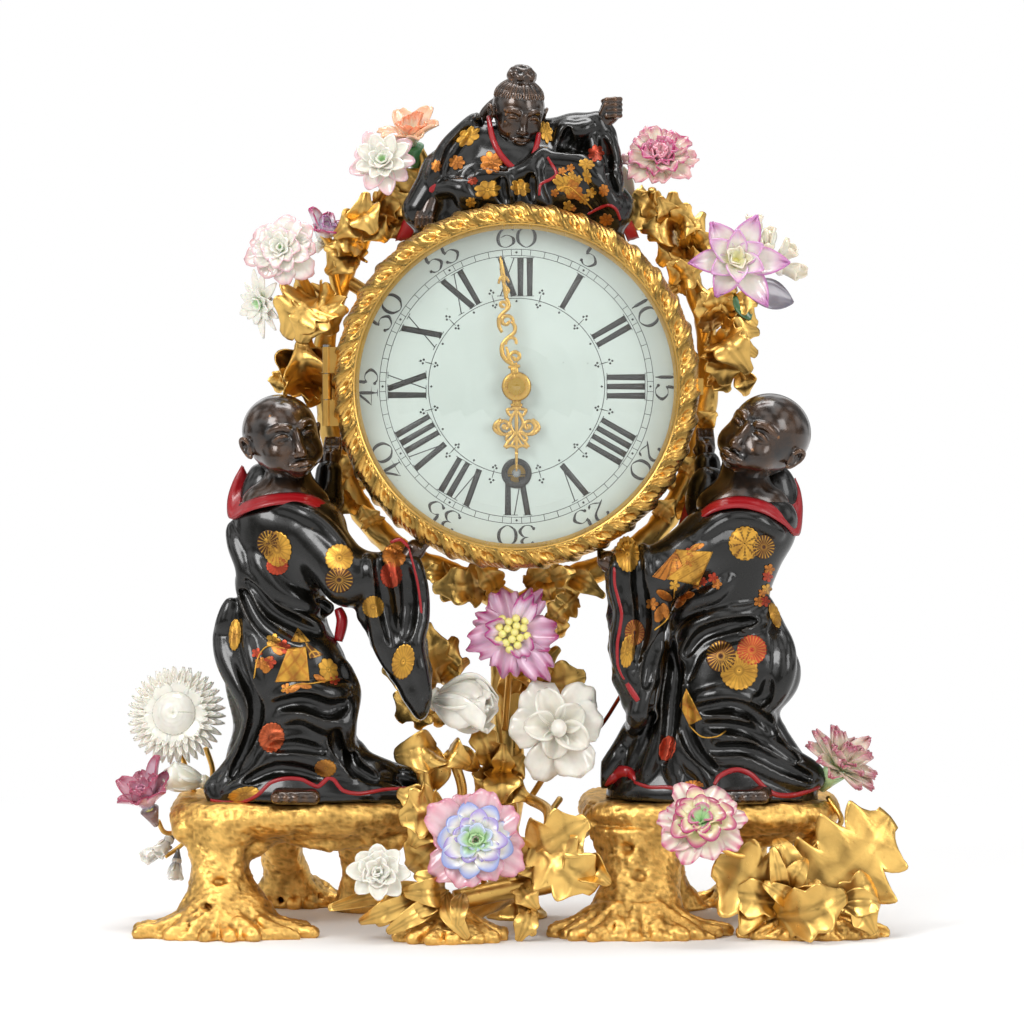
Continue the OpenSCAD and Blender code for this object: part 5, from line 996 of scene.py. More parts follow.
def slab(wax, x, y=-8.8):
    """The slab on which a figure stands: heights with half its breadth and half its depth."""
    halves = ((40, 47, 38), (44, 55, 44), (50, 58.5, 48), (54.5, 57.5, 47), (56.9, 55, 45))
    wax.stack([(z, x, y, half_x, half_y) for z, half_x, half_y in halves], 2.0, 3.4)


def roots(wax, rows, k=3.0):
    """Roots pressed on: rows of a path and its radii."""
    for path, r in rows:
        wax.ridge(path, r, k)


# %% Left platform
left = Wax((-172, -84, -1), (-34, 60, 61), 1.0)
slab(left, -97)
# the front leg with its wide foot, and toes that run out over the floor
left.stack([(0, -128.5, -60, 37, 19), (3, -128.5, -59.5, 35, 18), (6.5, -128.5, -58.5, 25, 15.5),
            (14, -128.5, -54, 19.5, 14), (25, -131, -48, 13.5, 12), (36, -132, -44, 14, 12),
            (44, -128, -40, 20, 16), (50, -125, -38, 25, 18)], 3.0)
roots(left, [
    ([(-128, -60, 8), (-146, -66, 5), (-157, -68, 1.5)], (5, 4, 2)),
    ([(-128, -62, 8), (-112, -70, 5), (-96, -73, 1.5)], (5, 4, 2)),
    ([(-130, -58, 14), (-140, -72, 6), (-146, -76, 1)], (4, 3.5, 2)),
    ([(-126, -58, 14), (-122, -72, 6), (-119, -76, 1)], (4, 3.5, 2)),
    ([(-141, -46, 36), (-148, -44, 44), (-150, -38, 50)], (3, 4, 4)),
    ([(-118, -44, 36), (-104, -40, 45), (-92, -38, 50)], (4, 4, 4)),
    ([(-98, -46, 42), (-84, -46, 38.5), (-70, -44, 39.5)], (4, 2.6, 3)),
    ([(-66, -46, 41), (-54, -42, 39), (-46, -34, 42)], (3, 3, 3))])
# two legs behind
for mx, my, sx in ((-107, 38, 1.0), (-72, 20, 0.75)):
    left.stack([(0, mx + 4, my + 7, 24 * sx, 16), (6, mx + 2, my + 4, 18 * sx, 13),
                (16, mx, my, 11 * sx, 10), (30, mx - 2, my - 8, 10 * sx, 9),
                (48, mx - 2, my - 12, 16 * sx, 14)], 3.0)
# hollows eaten into the leg
for p in ((-116, -63, 9), (-136, -66, 12), (-131, -60, 24), (-150, -62, 8)):
    left.ball(p, (3.4, 3.0, 2.4), 1.6, cut=True)
root_foot(left, -128.5, -60, 39.5, 20.5, 17, 3)
root_foot(left, -103, 45, 24, 16, 11, 4)
cast_rock(left, "platform_left", 3.1, "stump_left")

# %% Right platform
right = Wax((8, -85, -1), (150, 60, 61), 1.0)
slab(right, 87.3)
right.stack([(0, 52, -61, 38, 19), (3, 52, -60.5, 36, 18), (7, 52, -58.5, 26, 15.5),
             (16, 53.5, -53.5, 19, 14.5), (26, 55.5, -48, 17, 14), (36, 55, -42, 19, 15),
             (46, 55, -38, 22, 18)], 3.0)
roots(right, [
    ([(52, -60, 8), (34, -66, 5), (24, -69, 2)], (5, 4, 2)),
    ([(54, -60, 8), (72, -68, 5), (86, -72, 1.5)], (5, 4, 2)),
    ([(50, -60, 14), (44, -73, 6), (40, -77, 1)], (4, 3.5, 2)),
    ([(58, -58, 14), (62, -73, 6), (66, -77, 1)], (4, 3.5, 2)),
    ([(46, -44, 26), (40, -42, 38), (36, -36, 48)], (4, 4, 5)),
    ([(66, -44, 26), (74, -42, 38), (86, -38, 46)], (4, 4, 4)),
    ([(56, -56, 18), (52, -56, 32), (55, -50, 44)], (4, 3.5, 4)),
    ([(90, -46, 42), (104, -46, 39), (118, -42, 41)], (4, 2.6, 3)),
    ([(120, -44, 42), (132, -38, 40), (139, -26, 44)], (3, 3, 4))])
for mx, my, sx in ((107, 38, 1.0), (70, 26, 0.75)):
    right.stack([(0, mx + 2, my + 6, 24 * sx, 15), (6, mx + 1, my + 3, 18 * sx, 12),
                 (16, mx, my - 1, 11 * sx, 10), (30, mx - 1, my - 9, 10 * sx, 9),
                 (48, mx - 1, my - 13, 16 * sx, 14)], 3.0)
for p in ((42, -66, 10), (60, -66, 12), (54, -62, 27), (74, -66, 7), (48, -56, 38)):
    right.ball(p, (3.6, 3.0, 2.6), 1.6, cut=True)
root_foot(right, 52, -61, 40.5, 20.5, 19, 5, 21.0)
root_foot(right, 109, 44, 24, 15, 11, 6)
cast_rock(right, "platform_right", 11.4, "stump_right")

# %% Small rocks and ties
small = Wax((-56, -94, -1), (-4, -40, 24), 0.8)
small.stack([(0, -29, -74.5, 23.5, 15.6), (5.5, -29, -74.5, 21, 13), (10, -29.3, -74, 12, 8.5),
             (16, -29, -73, 6.5, 5)], 2.5)
roots(small, [([(-30, -74, 7), (-44, -78, 4), (-51, -80, 1)], (4, 3, 1.5)),
              ([(-28, -75, 7), (-16, -80, 4), (-9, -84, 1)], (4, 3, 1.5)),
              ([(-29, -76, 8), (-31, -86, 4), (-34, -90, 1)], (3.5, 3, 1.5)),
              ([(-26, -70, 7), (-16, -66, 4), (-8, -62, 1)], (4, 3, 2))], 2.5)
root_foot(small, -29, -74.5, 24, 15.8, 13, 7, 12.0)
cast_rock(small, "rock_small_centre", 21.7, "rock_centre", lumps=0.7)
small = Wax((94, -82, -1), (164, -26, 52), 0.8)
small.stack([(0, 129, -63.7, 30.5, 14.8), (5, 129, -63.7, 28, 12.6), (9.6, 129, -63.5, 14, 8)], 2.5)
shoot = smooth_path([(129, -63.7, 6), (132.5, -57, 23), (135.8, -35.3, 46.7)], 6)
roots(small, [([(128, -64, 6), (112, -68, 4), (100, -68, 1)], (4, 3, 1.5)),
              ([(130, -64, 6), (146, -68, 4), (158, -66, 1)], (4, 3, 1.5)),
              ([(131, -65, 6), (136, -74, 4), (140, -77, 1)], (3.5, 3, 1.5)),
              (shoot, np.linspace(5, 3.4, 13))], 2.5)
root_foot(small, 129, -63.7, 31, 15, 15, 8, 11.0)
cast_rock(small, "rock_small_right", 27.2, "rock_right", lumps=0.6)

# %% [markdown]
# ## The tree
# A trunk rises between the platforms, forks under the dial and clasps the case with two
# long branches. Bark is a swept tube whose radius wanders along and around it, so knots
# and ridges follow the growth.

# %% Bark
def bark(gather, path, r_start, r_end, seed, ridges=5, depth=0.12, sides=28, steps=8):
    """A branch of bark along a path, with ridges that wind round it."""
    path = smooth_path(path, steps)
    n = len(path)
    v = np.linspace(0, 1, n)
    t = unit(np.gradient(path, axis=0))
    side = unit(np.cross(np.array([0, 1, 0.01]), t))
    over = np.cross(t, side)
    a = np.linspace(0, 2 * math.pi, sides, endpoint=False)
    length = np.concatenate([[0], np.cumsum(np.linalg.norm(np.diff(path, axis=0), axis=1))])
    wind = np.sin(ridges * a[None] + length[:, None] * 0.10 + seed) * depth
    ring = side[:, None] * np.cos(a)[None, :, None] + over[:, None] * np.sin(a)[None, :, None]
    r = np.interp(v, [0, 1], [r_start, r_end])[:, None] * (1 + wind)
    points = path[:, None] + ring * r[..., None]
    bumps = noise_at(points.reshape(-1, 3) * (1, 1, 0.6), 5, seed, 3).reshape(n, sides)
    points += ring * (r * (0.16 * bumps))[..., None]
    both = np.vstack([points.reshape(-1, 3), path[:1], path[-1:]])
    # painted shade: darker in the grooves between the winding ridges and bumps, lighter on them
    tone = np.clip(0.85 + 0.8 * wind + 0.3 * bumps, 0.35, 1.08)
    # the gilding is burnished thin on one flank, where it shows red-brown
    flank = np.sin(a[None] + 0.6 * np.sin(length[:, None] * 0.05 + seed)) + 0.3 * bumps
    red = 0.7 * smooth_step(0.25, 0.8, flank)[..., None]
    tones = tone[..., None] * ((1, 0.97, 0.88) * (1 - red) + red * vec(0.62, 0.3, 0.2))
    gather.add(both, grid_quads(n, sides, closed=True), end_caps(n, sides),
               np.vstack([tones.reshape(-1, 3), np.full((2, 3), 0.7)]))


sweep_r, fork_z = 89.0, 140.0
# the left branch round the case, as shares of the sweep's radius from the dial's axis
sweep = [(-0.187, -1.028), (-0.391, -0.947), (-0.596, -0.845), (-0.769, -0.681), (-0.887, -0.452),
         (-0.957, -0.197), (-0.993, 0.06), (-0.963, 0.34), (-0.876, 0.596), (-0.769, 0.809),
         (-0.606, 1.004)]
branch_paths = {side: np.array([(0, fork_z * 0.06, fork_z)]
                               + [(-side * x * sweep_r, 12, dial_z + z * sweep_r) for x, z in sweep])
                for side in (-1, 1)}
# the trunk as shares of the fork's height
trunk_path = fork_z * np.array([(0, 0.02, 0.04), (-0.043, 0.021, 0.21), (-0.036, 0.03, 0.5),
                                (-0.03, 0.036, 0.78), (0, 0.06, 1)])
tree_gather = Gather()
bark(tree_gather, trunk_path, 8.2, 7.2, 1.0, 4, 0.16, 40, 12)
foot = Wax((-20, -18, -1), (20, 20, 14), 0.8)
foot.stack([(0, 0, 0, 14, 14), (2.5, 0, 0, 13, 13), (5, -1, 0, 10, 10), (11, -2, 1, 7.6, 7.6)], 2.0)
# six toes at uneven angles, in radians
for a in range(0, 360, 60):
    x, y = math.cos(a), math.sin(a)
    foot.ridge([(0, 0, 6), (9 * x, 9 * y, 3), (12 * x, 12 * y, 1.4)], (3, 2.4, 1.6), 2.0)
foot.skin(tree_gather, (0.8, 0.76, 0.64))
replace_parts(tree_gather.piece("trunk_bark", gilt_leaf, "gilt_bronze"), "trunk")
ties = Gather()
bark(ties, [(-4.2, 2.8, 21.7), (-27.2, 7, 31.4), (-48.6, 0, 47.3)], 6.2, 5.0, 2.2, 4, 0.14)
bark(ties, [(0.7, 2.8, 21.7), (19.4, 7, 34.2), (38.9, 0, 47.3)], 6.2, 5.0, 3.1, 4, 0.14)
bark(ties, [(0, -3.5, 17.1), (-7, -37.2, 13.7), (-29.1, -74.5, 6.8)], 4.8, 4.0, 4.7, 4, 0.14)
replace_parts(ties.piece("root_ties_bark", gilt_rock, "gilt_bronze"), "root_ties")

# %% [markdown]
# ## Leaves
# The gilt leaves are sheet castings, lobed like acanthus or oak, arched along the middle
# rib and curled at the tips. One function bends a fine grid into such a leaf. Each leaf
# grows from a place on a branch to the place where its tip is seen, so the foliage can
# be laid out like a drawing and still stand at its own depth.

# %% One leaf
# leaves show their upper side to the front and a little upwards
leaf_face = vec(0, -1, 0.15)


def leaf(gather, base, tip, width, lobes=3, roll=0.5, bulge=0.18, deep=0.42, cup=0.25, seed=0.0):
    """A lobed leaf: roll curls its tip over, bulge arches it, deep cuts its lobes, cup lifts its sides."""
    rows, columns, thick = 40, 17, 0.8
    base, tip = np.asarray(base, float), np.asarray(tip, float)
    length = np.linalg.norm(tip - base)
    along = (tip - base) / length
    up = unit(leaf_face - np.dot(leaf_face, along) * along)
    side = np.cross(along, up)
    t = np.linspace(0, 1, rows)[:, None]
    v = np.linspace(-1, 1, columns)[None]
    beat = (0.5 - 0.5 * np.cos(2 * math.pi * (lobes * t ** 0.9 + 0.12))) ** 0.38
    outline = np.sin(math.pi * np.clip(0.06 + 0.9 * t, 0, 1)) ** 0.6 * (1 - 0.85 * deep * (1 - beat)) + 0.04
    half = width / 2 * outline
    swing = 0.08 * math.sin(seed * 5.3) * np.sin(math.pi * t)
    forward = t + 0.03 * np.abs(v) ** 2 * np.sin(2 * math.pi * lobes * t + 0.6) - 0.03 * np.abs(v) ** 2
    rise = length * bulge * np.sin(math.pi * np.clip(forward, 0, 1) ** 1.2)
    over = np.clip((t - 0.62) / 0.38, 0, 1)
    rise = rise - length * roll * 0.22 * over**2 + cup * half * np.abs(v) ** 1.6
    rise = rise + 0.07 * half * np.abs(v) ** 3 * np.sin(2 * math.pi * (lobes * t + seed))
    back = length * roll * 0.16 * over**2
    rib = 0.7 * np.exp(-(v / 0.12) ** 2) * (1 - 0.6 * t)
    course = lobes * t - 0.6 * np.abs(v)
    veins = 0.45 * np.exp(-((course - np.round(course)) / 0.1) ** 2)
    veins = veins * smooth_step(0.05, 0.2, np.abs(v)) * (1 - 0.6 * np.abs(v))
    ahead, beside = length * forward - back, half * v + length * swing
    points = (base + along * ahead[..., None] + side * beside[..., None]
              + up * (rise + (rib + veins) * min(1.6, width / 16))[..., None])
    # painted shade: darker in a band beside the rib, towards the base and along the veins; the stains are the
    # metal's own
    hollow = 0.3 * np.exp(-(np.abs(np.abs(v) - 0.2) / 0.12) ** 2) + 0.35 * (1 - smooth_step(0, 0.25, t))
    stains = 0.12 * noise_at(points.reshape(-1, 3), 7, seed, 2).reshape(rows, columns)
    tone = np.clip(0.92 - hollow - 0.5 * veins - stains, 0.35, 1.08)
    # painted shade: the back of each leaf is darker
    tones = np.concatenate([tone.ravel(), 0.62 * tone.ravel()])[:, None]
    gather.add(*sheet(points, thick * (1 - 0.45 * np.abs(v)) * np.ones_like(t)),
               tint=tones * (1, 0.96, 0.84) + (1 - tones) * (0.03, 0, 0))


def grow(gather, rows_of_leaves, first_seed=0.0):
    """Leaves: rows of base and tip in the frame of 1024, each with its depth, and what leaf takes next."""
    for i, (px, py, y, qx, qy, z, *shape) in enumerate(rows_of_leaves):
        leaf(gather, seen(px, py, y), seen(qx, qy, z), *shape, seed=first_seed + 0.37 * i)


def twig(gather, path, r_start, r_end=None, dark=0.0):
    """A smooth gilt shoot through places in the frame of 1024 with depths."""
    points = smooth_path([seen(*p) for p in path], 6)
    r = np.linspace(r_start, r_end or r_start * 0.75, len(points))
    tone = np.linspace(0.95 - dark, 0.8 - dark, len(points))
    tones = np.append(np.repeat(tone, 12), [0.8, 0.8])[:, None]
    gather.add(*tube(points, r, 12, up=(0.1, 1, 0.05)), tones * (1, 0.94, 0.8))


# %% Left branch
left_tree = Gather()
bark(left_tree, branch_paths[-1], 6.2, 4.2, 6.0, 3, 0.05, 24, 12)
left_twigs = [
    ([(335, 405, 8), (318, 360, 4), (307, 340, 0), (312, 300, -6), (300, 275, -14)], 3.0),
    ([(340, 300, 10), (333, 270, 6), (330, 245, 2), (322, 232, -2)], 2.6),
    ([(363, 232, 10), (374, 210, 6), (385, 190, -6), (392, 178, -10)], 2.8),
    ([(366, 252, 10), (362, 258, 6), (367, 262, 0)], 1.4, 0.6),
    ([(398, 205, 10), (415, 185, 6), (425, 165, 2), (420, 150, 0)], 2.6)]
for path, *radii in left_twigs:
    twig(left_tree, path, *radii)
left_leaves = [
    # the quatrefoil clump and the leaf with the rolled tip beside it
    (366, 236, 6, 366, 192, -8, 15, 2, 0.3), (364, 226, 4, 335, 234, -10, 15, 2, 1.2),
    (366, 224, 2, 389, 240, -8, 16, 2, 0.5), (360, 216, 0, 376, 234, -12, 17, 2, 0.1, 0.3),
    (362, 250, 8, 334, 240, -4, 12, 3, 0.9), (356, 262, 8, 325, 244, -2, 18, 2, 0.5),
    (352, 252, 6, 326, 274, -4, 15, 2), (362, 242, 10, 350, 228, -2, 12),
    # top, behind the flowers
    (392, 214, 8, 428, 168, 4, 22, 3, 0.2), (388, 216, 8, 412, 196, -6, 16, 3, 0.8),
    (380, 222, 8, 396, 186, -4, 16), (392, 216, 10, 421, 211, 4, 12, 2, 0.9),
    (384, 224, 10, 404, 240, 4, 10, 2), (376, 228, 8, 354, 208, 0, 12, 2),
    # the big drooping leaf
    (318, 300, -8, 283, 338, -20, 27, 3, 0.7, 0.3), (318, 300, -8, 334, 336, -16, 24, 3, 0.6, 0.3),
    (318, 300, -8, 300, 344, -22, 22, 3, 0.5, 0.25), (320, 298, -4, 340, 300, -12, 15, 3, 1.0, 0.5),
    (314, 300, -6, 287, 294, -2, 16, 3, 0.8), (322, 300, 0, 330, 286, -2, 16, 3, 1.0, 0.4),
    # the cup over the head
    (322, 392, 6, 276, 352, -12, 26, 2, 0.3, -0.1, 0.42, 1.0),
    (318, 386, 4, 272, 378, -6, 22, 3, 0.7, 0.2, 0.42, 0.9),
    (312, 384, 2, 300, 340, -16, 22, 3, 1.1, 0.18, 0.42, 0.9), (284, 372, -6, 277, 394, -10, 11, 2, 1.0),
    (300, 384, 0, 293, 388, -8, 12, 1),
    # lower down, where the branch passes behind the figure
    (352, 480, 10, 330, 452, 0, 14), (356, 500, 10, 338, 512, 0, 14), (372, 528, 10, 362, 506, 0, 12),
    # under the dial
    (486, 585, 8, 431, 588, -6, 20, 3, 0.6, 0.3), (478, 582, 8, 441, 598, -8, 13, 2, 0.9),
    (494, 592, 8, 478, 564, -6, 13, 2, 0.6), (455, 574, 10, 420, 574, 2, 11),
    (470, 580, 8, 504, 560, 4, 10)]
grow(left_tree, left_leaves, 1.0)
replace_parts(left_tree.piece("branch_left_leaves", gilt_leaf, "gilt_bronze"), "branch_left")

# %% Right branch
right_tree = Gather()
bark(right_tree, branch_paths[1], 6.2, 4.2, 9.0, 3, 0.05, 24, 12)
right_twigs = [
    ([(708, 385, 10), (724, 345, 4), (728, 318, 0), (720, 300, -4)], 3.4),
    ([(705, 345, 10), (712, 320, 6), (712, 300, -2), (735, 288, -8)], 3.0),
    ([(672, 228, 10), (662, 212, 6), (652, 200, 0), (652, 190, -4)], 2.6),
    ([(690, 270, 10), (700, 290, 8), (716, 300, 2), (730, 305, 0)], 2.4)]
for path, *radii in right_twigs:
    twig(right_tree, path, *radii)
right_leaves = [
    (668, 224, 8, 620, 212, -2, 20, 3, 0.6), (668, 230, 6, 642, 228, -8, 14, 2, 0.9),
    (660, 216, 8, 634, 192, -4, 14, 2), (676, 240, 8, 650, 236, -8, 14, 2, 0.8),
    (672, 226, 6, 673, 192, -8, 16, 3, 0.4), (670, 222, 4, 660, 198, -10, 12, 2),
    (676, 230, 4, 688, 204, -8, 15, 3, 0.5), (678, 232, 4, 698, 224, -10, 13, 2, 0.9),
    (688, 254, 8, 704, 210, -2, 11, 2, 0.8), (690, 252, 8, 718, 236, -6, 16, 3, 0.4),
    (682, 246, 8, 658, 264, -4, 18, 3, 0.6), (684, 250, 6, 672, 285, -8, 15, 3, 0.5),
    (676, 282, 4, 702, 264, -8, 17, 3, 0.9, 0.35), (690, 262, 6, 702, 258, -6, 14),
    (680, 278, 4, 682, 292, -4, 9, 1, 1.0), (712, 330, 6, 700, 292, -6, 15),
    (716, 318, 4, 712, 288, -8, 14), (722, 312, 2, 730, 292, -8, 12, 2),
    (724, 308, 2, 758, 302, -8, 13, 3, 0.6), (726, 312, 2, 758, 326, -6, 17, 3, 0.5),
    (722, 340, 4, 760, 330, -8, 15, 3, 0.9, 0.3), (722, 342, 2, 757, 353, -14, 15, 3, 0.8, 0.35),
    (724, 340, 2, 750, 372, -16, 20, 3, 0.5, 0.4), (722, 348, 4, 725, 386, -8, 22, 3, 0.7),
    (736, 366, -2, 748, 398, -6, 11, 2, 0.8), (714, 372, 6, 730, 392, 0, 12),
    (716, 350, 6, 738, 330, -8, 13), (700, 430, 10, 716, 412, 0, 12), (684, 476, 10, 700, 456, 0, 14),
    (676, 500, 10, 696, 520, 0, 13), (660, 520, 10, 676, 500, 0, 12),
    (526, 586, 8, 560, 564, 0, 13, 3, 0.5),
    (536, 580, 8, 578, 572, -4, 12),
    (552, 575, 8, 607, 597, -4, 11, 2, 0.4), (545, 578, 8, 552, 598, -6, 12, 2, 0.8),
    (576, 570, 8, 574, 600, -4, 12, 3, 0.9), (575, 596, -2, 546, 622, -8, 14, 3, 0.6),
    (550, 612, -4, 564, 640, -8, 11, 3, 0.9)]
grow(right_tree, right_leaves, 4.0)
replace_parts(right_tree.piece("branch_right_leaves", gilt_leaf, "gilt_bronze"), "branch_right")

# %% Leaves of the trunk and the base
base_tree = Gather()
base_leaves = [
    # behind the left figure's sleeve
    (440, 682, -4, 424, 622, -22, 22, 3, 0.3), (438, 672, -6, 455, 638, -20, 16, 3, 0.8),
    (440, 680, -4, 468, 660, -18, 12, 2, 0.6), (436, 684, -4, 379, 668, -10, 14, 2),
    (432, 690, -4, 396, 722, -12, 20, 3, 0.4), (434, 692, -4, 416, 732, -10, 13, 3, 0.5),
    (444, 700, -4, 436, 730, -4, 10, 1),
    # up the trunk
    (494, 772, -12, 474, 722, -16, 15, 3), (500, 778, -14, 504, 744, -22, 11, 2),
    (498, 770, -14, 500, 806, -26, 18, 2, 0.3), (492, 774, -12, 478, 796, -22, 15, 2, 0.6),
    (506, 776, -12, 524, 756, -20, 13, 2, 0.8), (504, 790, -12, 530, 800, -24, 14, 2, 0.5),
    (522, 690, 4, 560, 646, -8, 13, 2, 0.6), (530, 684, 2, 587, 676, -12, 22, 3, 0.2),
    (524, 676, 2, 534, 688, -16, 12, 1), (515, 700, 4, 505, 664, -8, 12, 2),
    # the big curls beside the trunk
    (430, 790, -30, 430, 742, -34, 15, 1, 0.5, 0.1, 0.1, 0.5),
    (436, 752, -34, 392, 756, -44, 19, 1, 0.7, 0.35, 0.15),
    (432, 752, -34, 414, 772, -46, 16, 1, 0.6, 0.4, 0.15),
    (448, 752, -30, 470, 766, -40, 16, 1, 0.9, 0.4, 0.2),
    (452, 748, -20, 480, 772, -22, 10, 1, 0.5, 0.3, 0.1),
    # on the left platform's end
    (440, 806, -62, 394, 792, -66, 15, 2, 0.5), (442, 812, -62, 398, 820, -72, 26, 3, 0.2, 0.2),
    (436, 816, -62, 410, 848, -72, 18, 2, 0.3), (446, 830, -60, 405, 874, -60, 22, 2),
    # the oak leaf between the platforms
    (522, 862, -64, 590, 820, -74, 28, 3, 0.2, 0.1, 0.55),
    (536, 842, -66, 597, 892, -74, 30, 3, 0.1, 0.18, 0.55),
    (582, 868, -68, 612, 886, -76, 14, 1, 0.4, 0.18, 0.42, 0.9), (524, 862, -62, 540, 880, -72, 14, 1),
    # grassy blades over the small rock
    (448, 896, -74, 337, 909, -80, 9, 1, -0.6, -0.12, 0.05),
    (440, 896, -74, 384, 936, -88, 9, 1, 0.5, 0.15, 0.05),
    (446, 894, -76, 398, 922, -84, 8, 1, 0.5, 0.18, 0.05),
    (446, 896, -76, 468, 942, -92, 9, 1, 0.5, 0.15, 0.05),
    (436, 894, -72, 352, 926, -76, 10, 2, 0.5, 0.18, 0.2),
    (444, 890, -72, 402, 894, -84, 13, 1, 0.5, 0.3, 0.1),
    (440, 886, -70, 414, 876, -80, 11, 1, 0.5, 0.3, 0.1),
    (462, 896, -76, 456, 936, -92, 8, 1, 0.5, 0.2, 0.05), (430, 900, -74, 366, 908, -72, 12, 2, 0.7),
    (420, 900, -72, 372, 928, -74, 9, 1, 0.5, 0.18, 0.05),
    # the lobed shoot at the right of the small rock
    (520, 884, -66, 538, 912, -76, 12, 2, 0.5), (528, 906, -72, 518, 944, -80, 11, 2, 0.2, 0.18, 0.3),
    (527, 920, -74, 534, 938, -80, 9, 1),
    # the right cluster: oak leaf, its neighbours and blades
    (796, 902, -62, 895, 814, -52, 50, 4, 0.2, 0.05, 0.6, 0.1),
    (790, 900, -64, 712, 864, -70, 42, 3, 0.3, 0.15, 0.5), (784, 902, -66, 722, 896, -74, 18, 2, 0.5),
    (778, 918, -72, 850, 896, -82, 24, 3, 0.3, 0.25, 0.3), (840, 906, -72, 887, 906, -74, 13, 1, 0.8),
    (850, 902, -70, 877, 936, -78, 14, 2, 0.3), (838, 902, -66, 880, 880, -60, 18, 2),
    (784, 904, -70, 773, 846, -78, 8, 1, 0.5, 0.18, 0.05),
    (788, 902, -68, 808, 856, -72, 11, 1, 0.8, 0.18, 0.1),
    (790, 902, -62, 778, 834, -60, 15, 1, 0.5, 0.18, 0.1),
    (794, 906, -70, 764, 884, -80, 9, 1, 0.5, 0.18, 0.05),
    (800, 906, -70, 826, 888, -80, 10, 1, 0.5, 0.18, 0.1)]
grow(base_tree, base_leaves, 7.0)
base_twigs = [
    ([(428, 800, -34), (424, 775, -34), (430, 752, -34)], 3.2, 3.0),
    ([(458, 812, -30), (462, 790, -32), (454, 764, -34), (444, 754, -34)], 2.2, 2.4),
    ([(498, 850, -40), (522, 850, -58), (560, 872, -60), (548, 884, -62), (500, 892, -66), (455, 902, -72)],
     5.5, 4.6, 0.1),
    ([(486, 800, -10), (500, 830, -34), (508, 862, -58), (514, 884, -66)], 3.6, 3.0),
    ([(530, 800, -20), (548, 812, -46), (546, 836, -62), (530, 862, -64)], 2.6, 2.2),
    ([(560, 800, -30), (552, 812, -40), (550, 824, -50)], 1.5, 1.2)]
for path, *radii in base_twigs:
    twig(base_tree, path, *radii)
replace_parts(base_tree.piece("foliage_base_leaves", gilt_leaf, "gilt_bronze"), "foliage_base")

# %% [markdown]
# ## Porcelain flowers
# Each flower is built as the modellers built it, petal by petal in rings round a heart,
# with the colour brushed on from the edge or from the throat. A petal is a small curved
# sheet. Rings differ in length, lift and curl, and a little chance turns each petal, with
# a fixed seed so that the bunch is always the same.

# %% One petal and one bloom
chance = np.random.default_rng(5)


def petal(gather, frame_axes, centre, angle, length, width, lift, curl, cup, colours, start=0.0, point=0.0,
          ruffle=0.0, stripe=0.0, thick=0.8, rows=10, columns=9, seed=0.0, rim_at=0.55, sides=1.0):
    """One petal round an axis: lift is its angle above flat at the root, curl its bend back by the tip."""
    a = math.radians(angle)
    out = frame_axes @ vec(math.cos(a), math.sin(a), 0)
    side = frame_axes @ vec(-math.sin(a), math.cos(a), 0)
    axis = frame_axes[:, 2]
    t = np.linspace(0, 1, rows)
    bend = np.radians(lift - curl * t**1.3)
    step = length / (rows - 1)
    run = start + np.concatenate([[0], np.cumsum(np.cos(bend[:-1]) * step)])
    rise = np.concatenate([[0], np.cumsum(np.sin(bend[:-1]) * step)])
    v = np.linspace(-1, 1, columns)
    round_end = np.sin(math.pi * np.clip(0.08 + 0.86 * t, 0, 1) ** 1.25) ** 0.6
    sharp_end = np.sin(math.pi * np.clip(0.1 + 0.9 * t, 0, 1)) ** 0.9
    # a negative point stands for a broad fan with a scalloped end
    fan_end = 0.28 + 0.72 * smooth_step(0.0, 0.7, t)
    leaf_end = np.maximum(round_end * (1 - point) + sharp_end * point, 0.05)
    half = width / 2 * (fan_end if point < 0 else leaf_end)
    normal = -np.sin(bend)[:, None] * out + np.cos(bend)[:, None] * axis
    across = half[:, None] * v[None]
    wave = ruffle * (t[:, None] ** 1.5) * np.sin(v[None] * 6.5 + seed) * width * 0.16
    lifted = cup * half[:, None] * v[None] ** 2 + wave
    back = (0.24 if point < 0 else 0.07 * (1 - point)) * length * (v[None] ** 2) * t[:, None] ** 3
    back = back + 0.06 * ruffle * length * np.sin(v[None] * 8 + seed * 2) * t[:, None] ** 4
    points = (centre + out * (run[:, None] - back)[..., None] + axis * rise[:, None, None]
              + side * across[..., None] + normal[:, None] * lifted[..., None])
    root, middle, edge = (np.asarray(c) for c in colours)
    k = t[:, None, None]
    tone = root * (1 - smooth_step(0.0, 0.45, k)) + middle * smooth_step(0.0, 0.45, k)
    side_rim = smooth_step(0.72, 1.0, np.abs(v))[None] * smooth_step(rim_at - 0.35, rim_at, t)[:, None]
    rim = np.maximum(smooth_step(rim_at, 1.0, t)[:, None], sides * side_rim)
    if stripe:
        brushed = (np.sin(v[None] * 9 + seed * 3) > 0.3) * smooth_step(0.5, 0.85, t)[:, None]
        rim = np.clip(rim * (1 - stripe) + stripe * brushed, 0, 1)
    tone = tone * (1 - rim[..., None]) + edge * rim[..., None]
    gather.add(*sheet(points, thick * (0.75 + 0.25 * (1 - v**2))[None] * np.ones((rows, 1))),
               tint=np.vstack([tone.reshape(-1, 3)] * 2))


def bead(gather, centre, radii, shade, axes=np.eye(3), sides=10, rings=7):
    """A small closed rounded form."""
    a = np.linspace(0, 2 * math.pi, sides, endpoint=False)
    b = np.linspace(-math.pi / 2, math.pi / 2, rings)[1:-1]
    level, height = np.cos(b)[:, None], np.sin(b)[:, None]
    ball = np.stack([level * np.cos(a), level * np.sin(a), height + 0 * a], -1)
    local = np.vstack([ball.reshape(-1, 3), [(0, 0, -1)], [(0, 0, 1)]]) * radii
    gather.add(local @ np.asarray(axes).T + centre, grid_quads(rings - 2, sides, closed=True),
               end_caps(rings - 2, sides), shade)


def ring(count, length, width, lift, curl, cup, colours, **more):
    """A ring of petals: how many, and what petal takes for each."""
    return dict(count=count, length=length, width=width, lift=lift, curl=curl, cup=cup, colours=colours,
                **more)


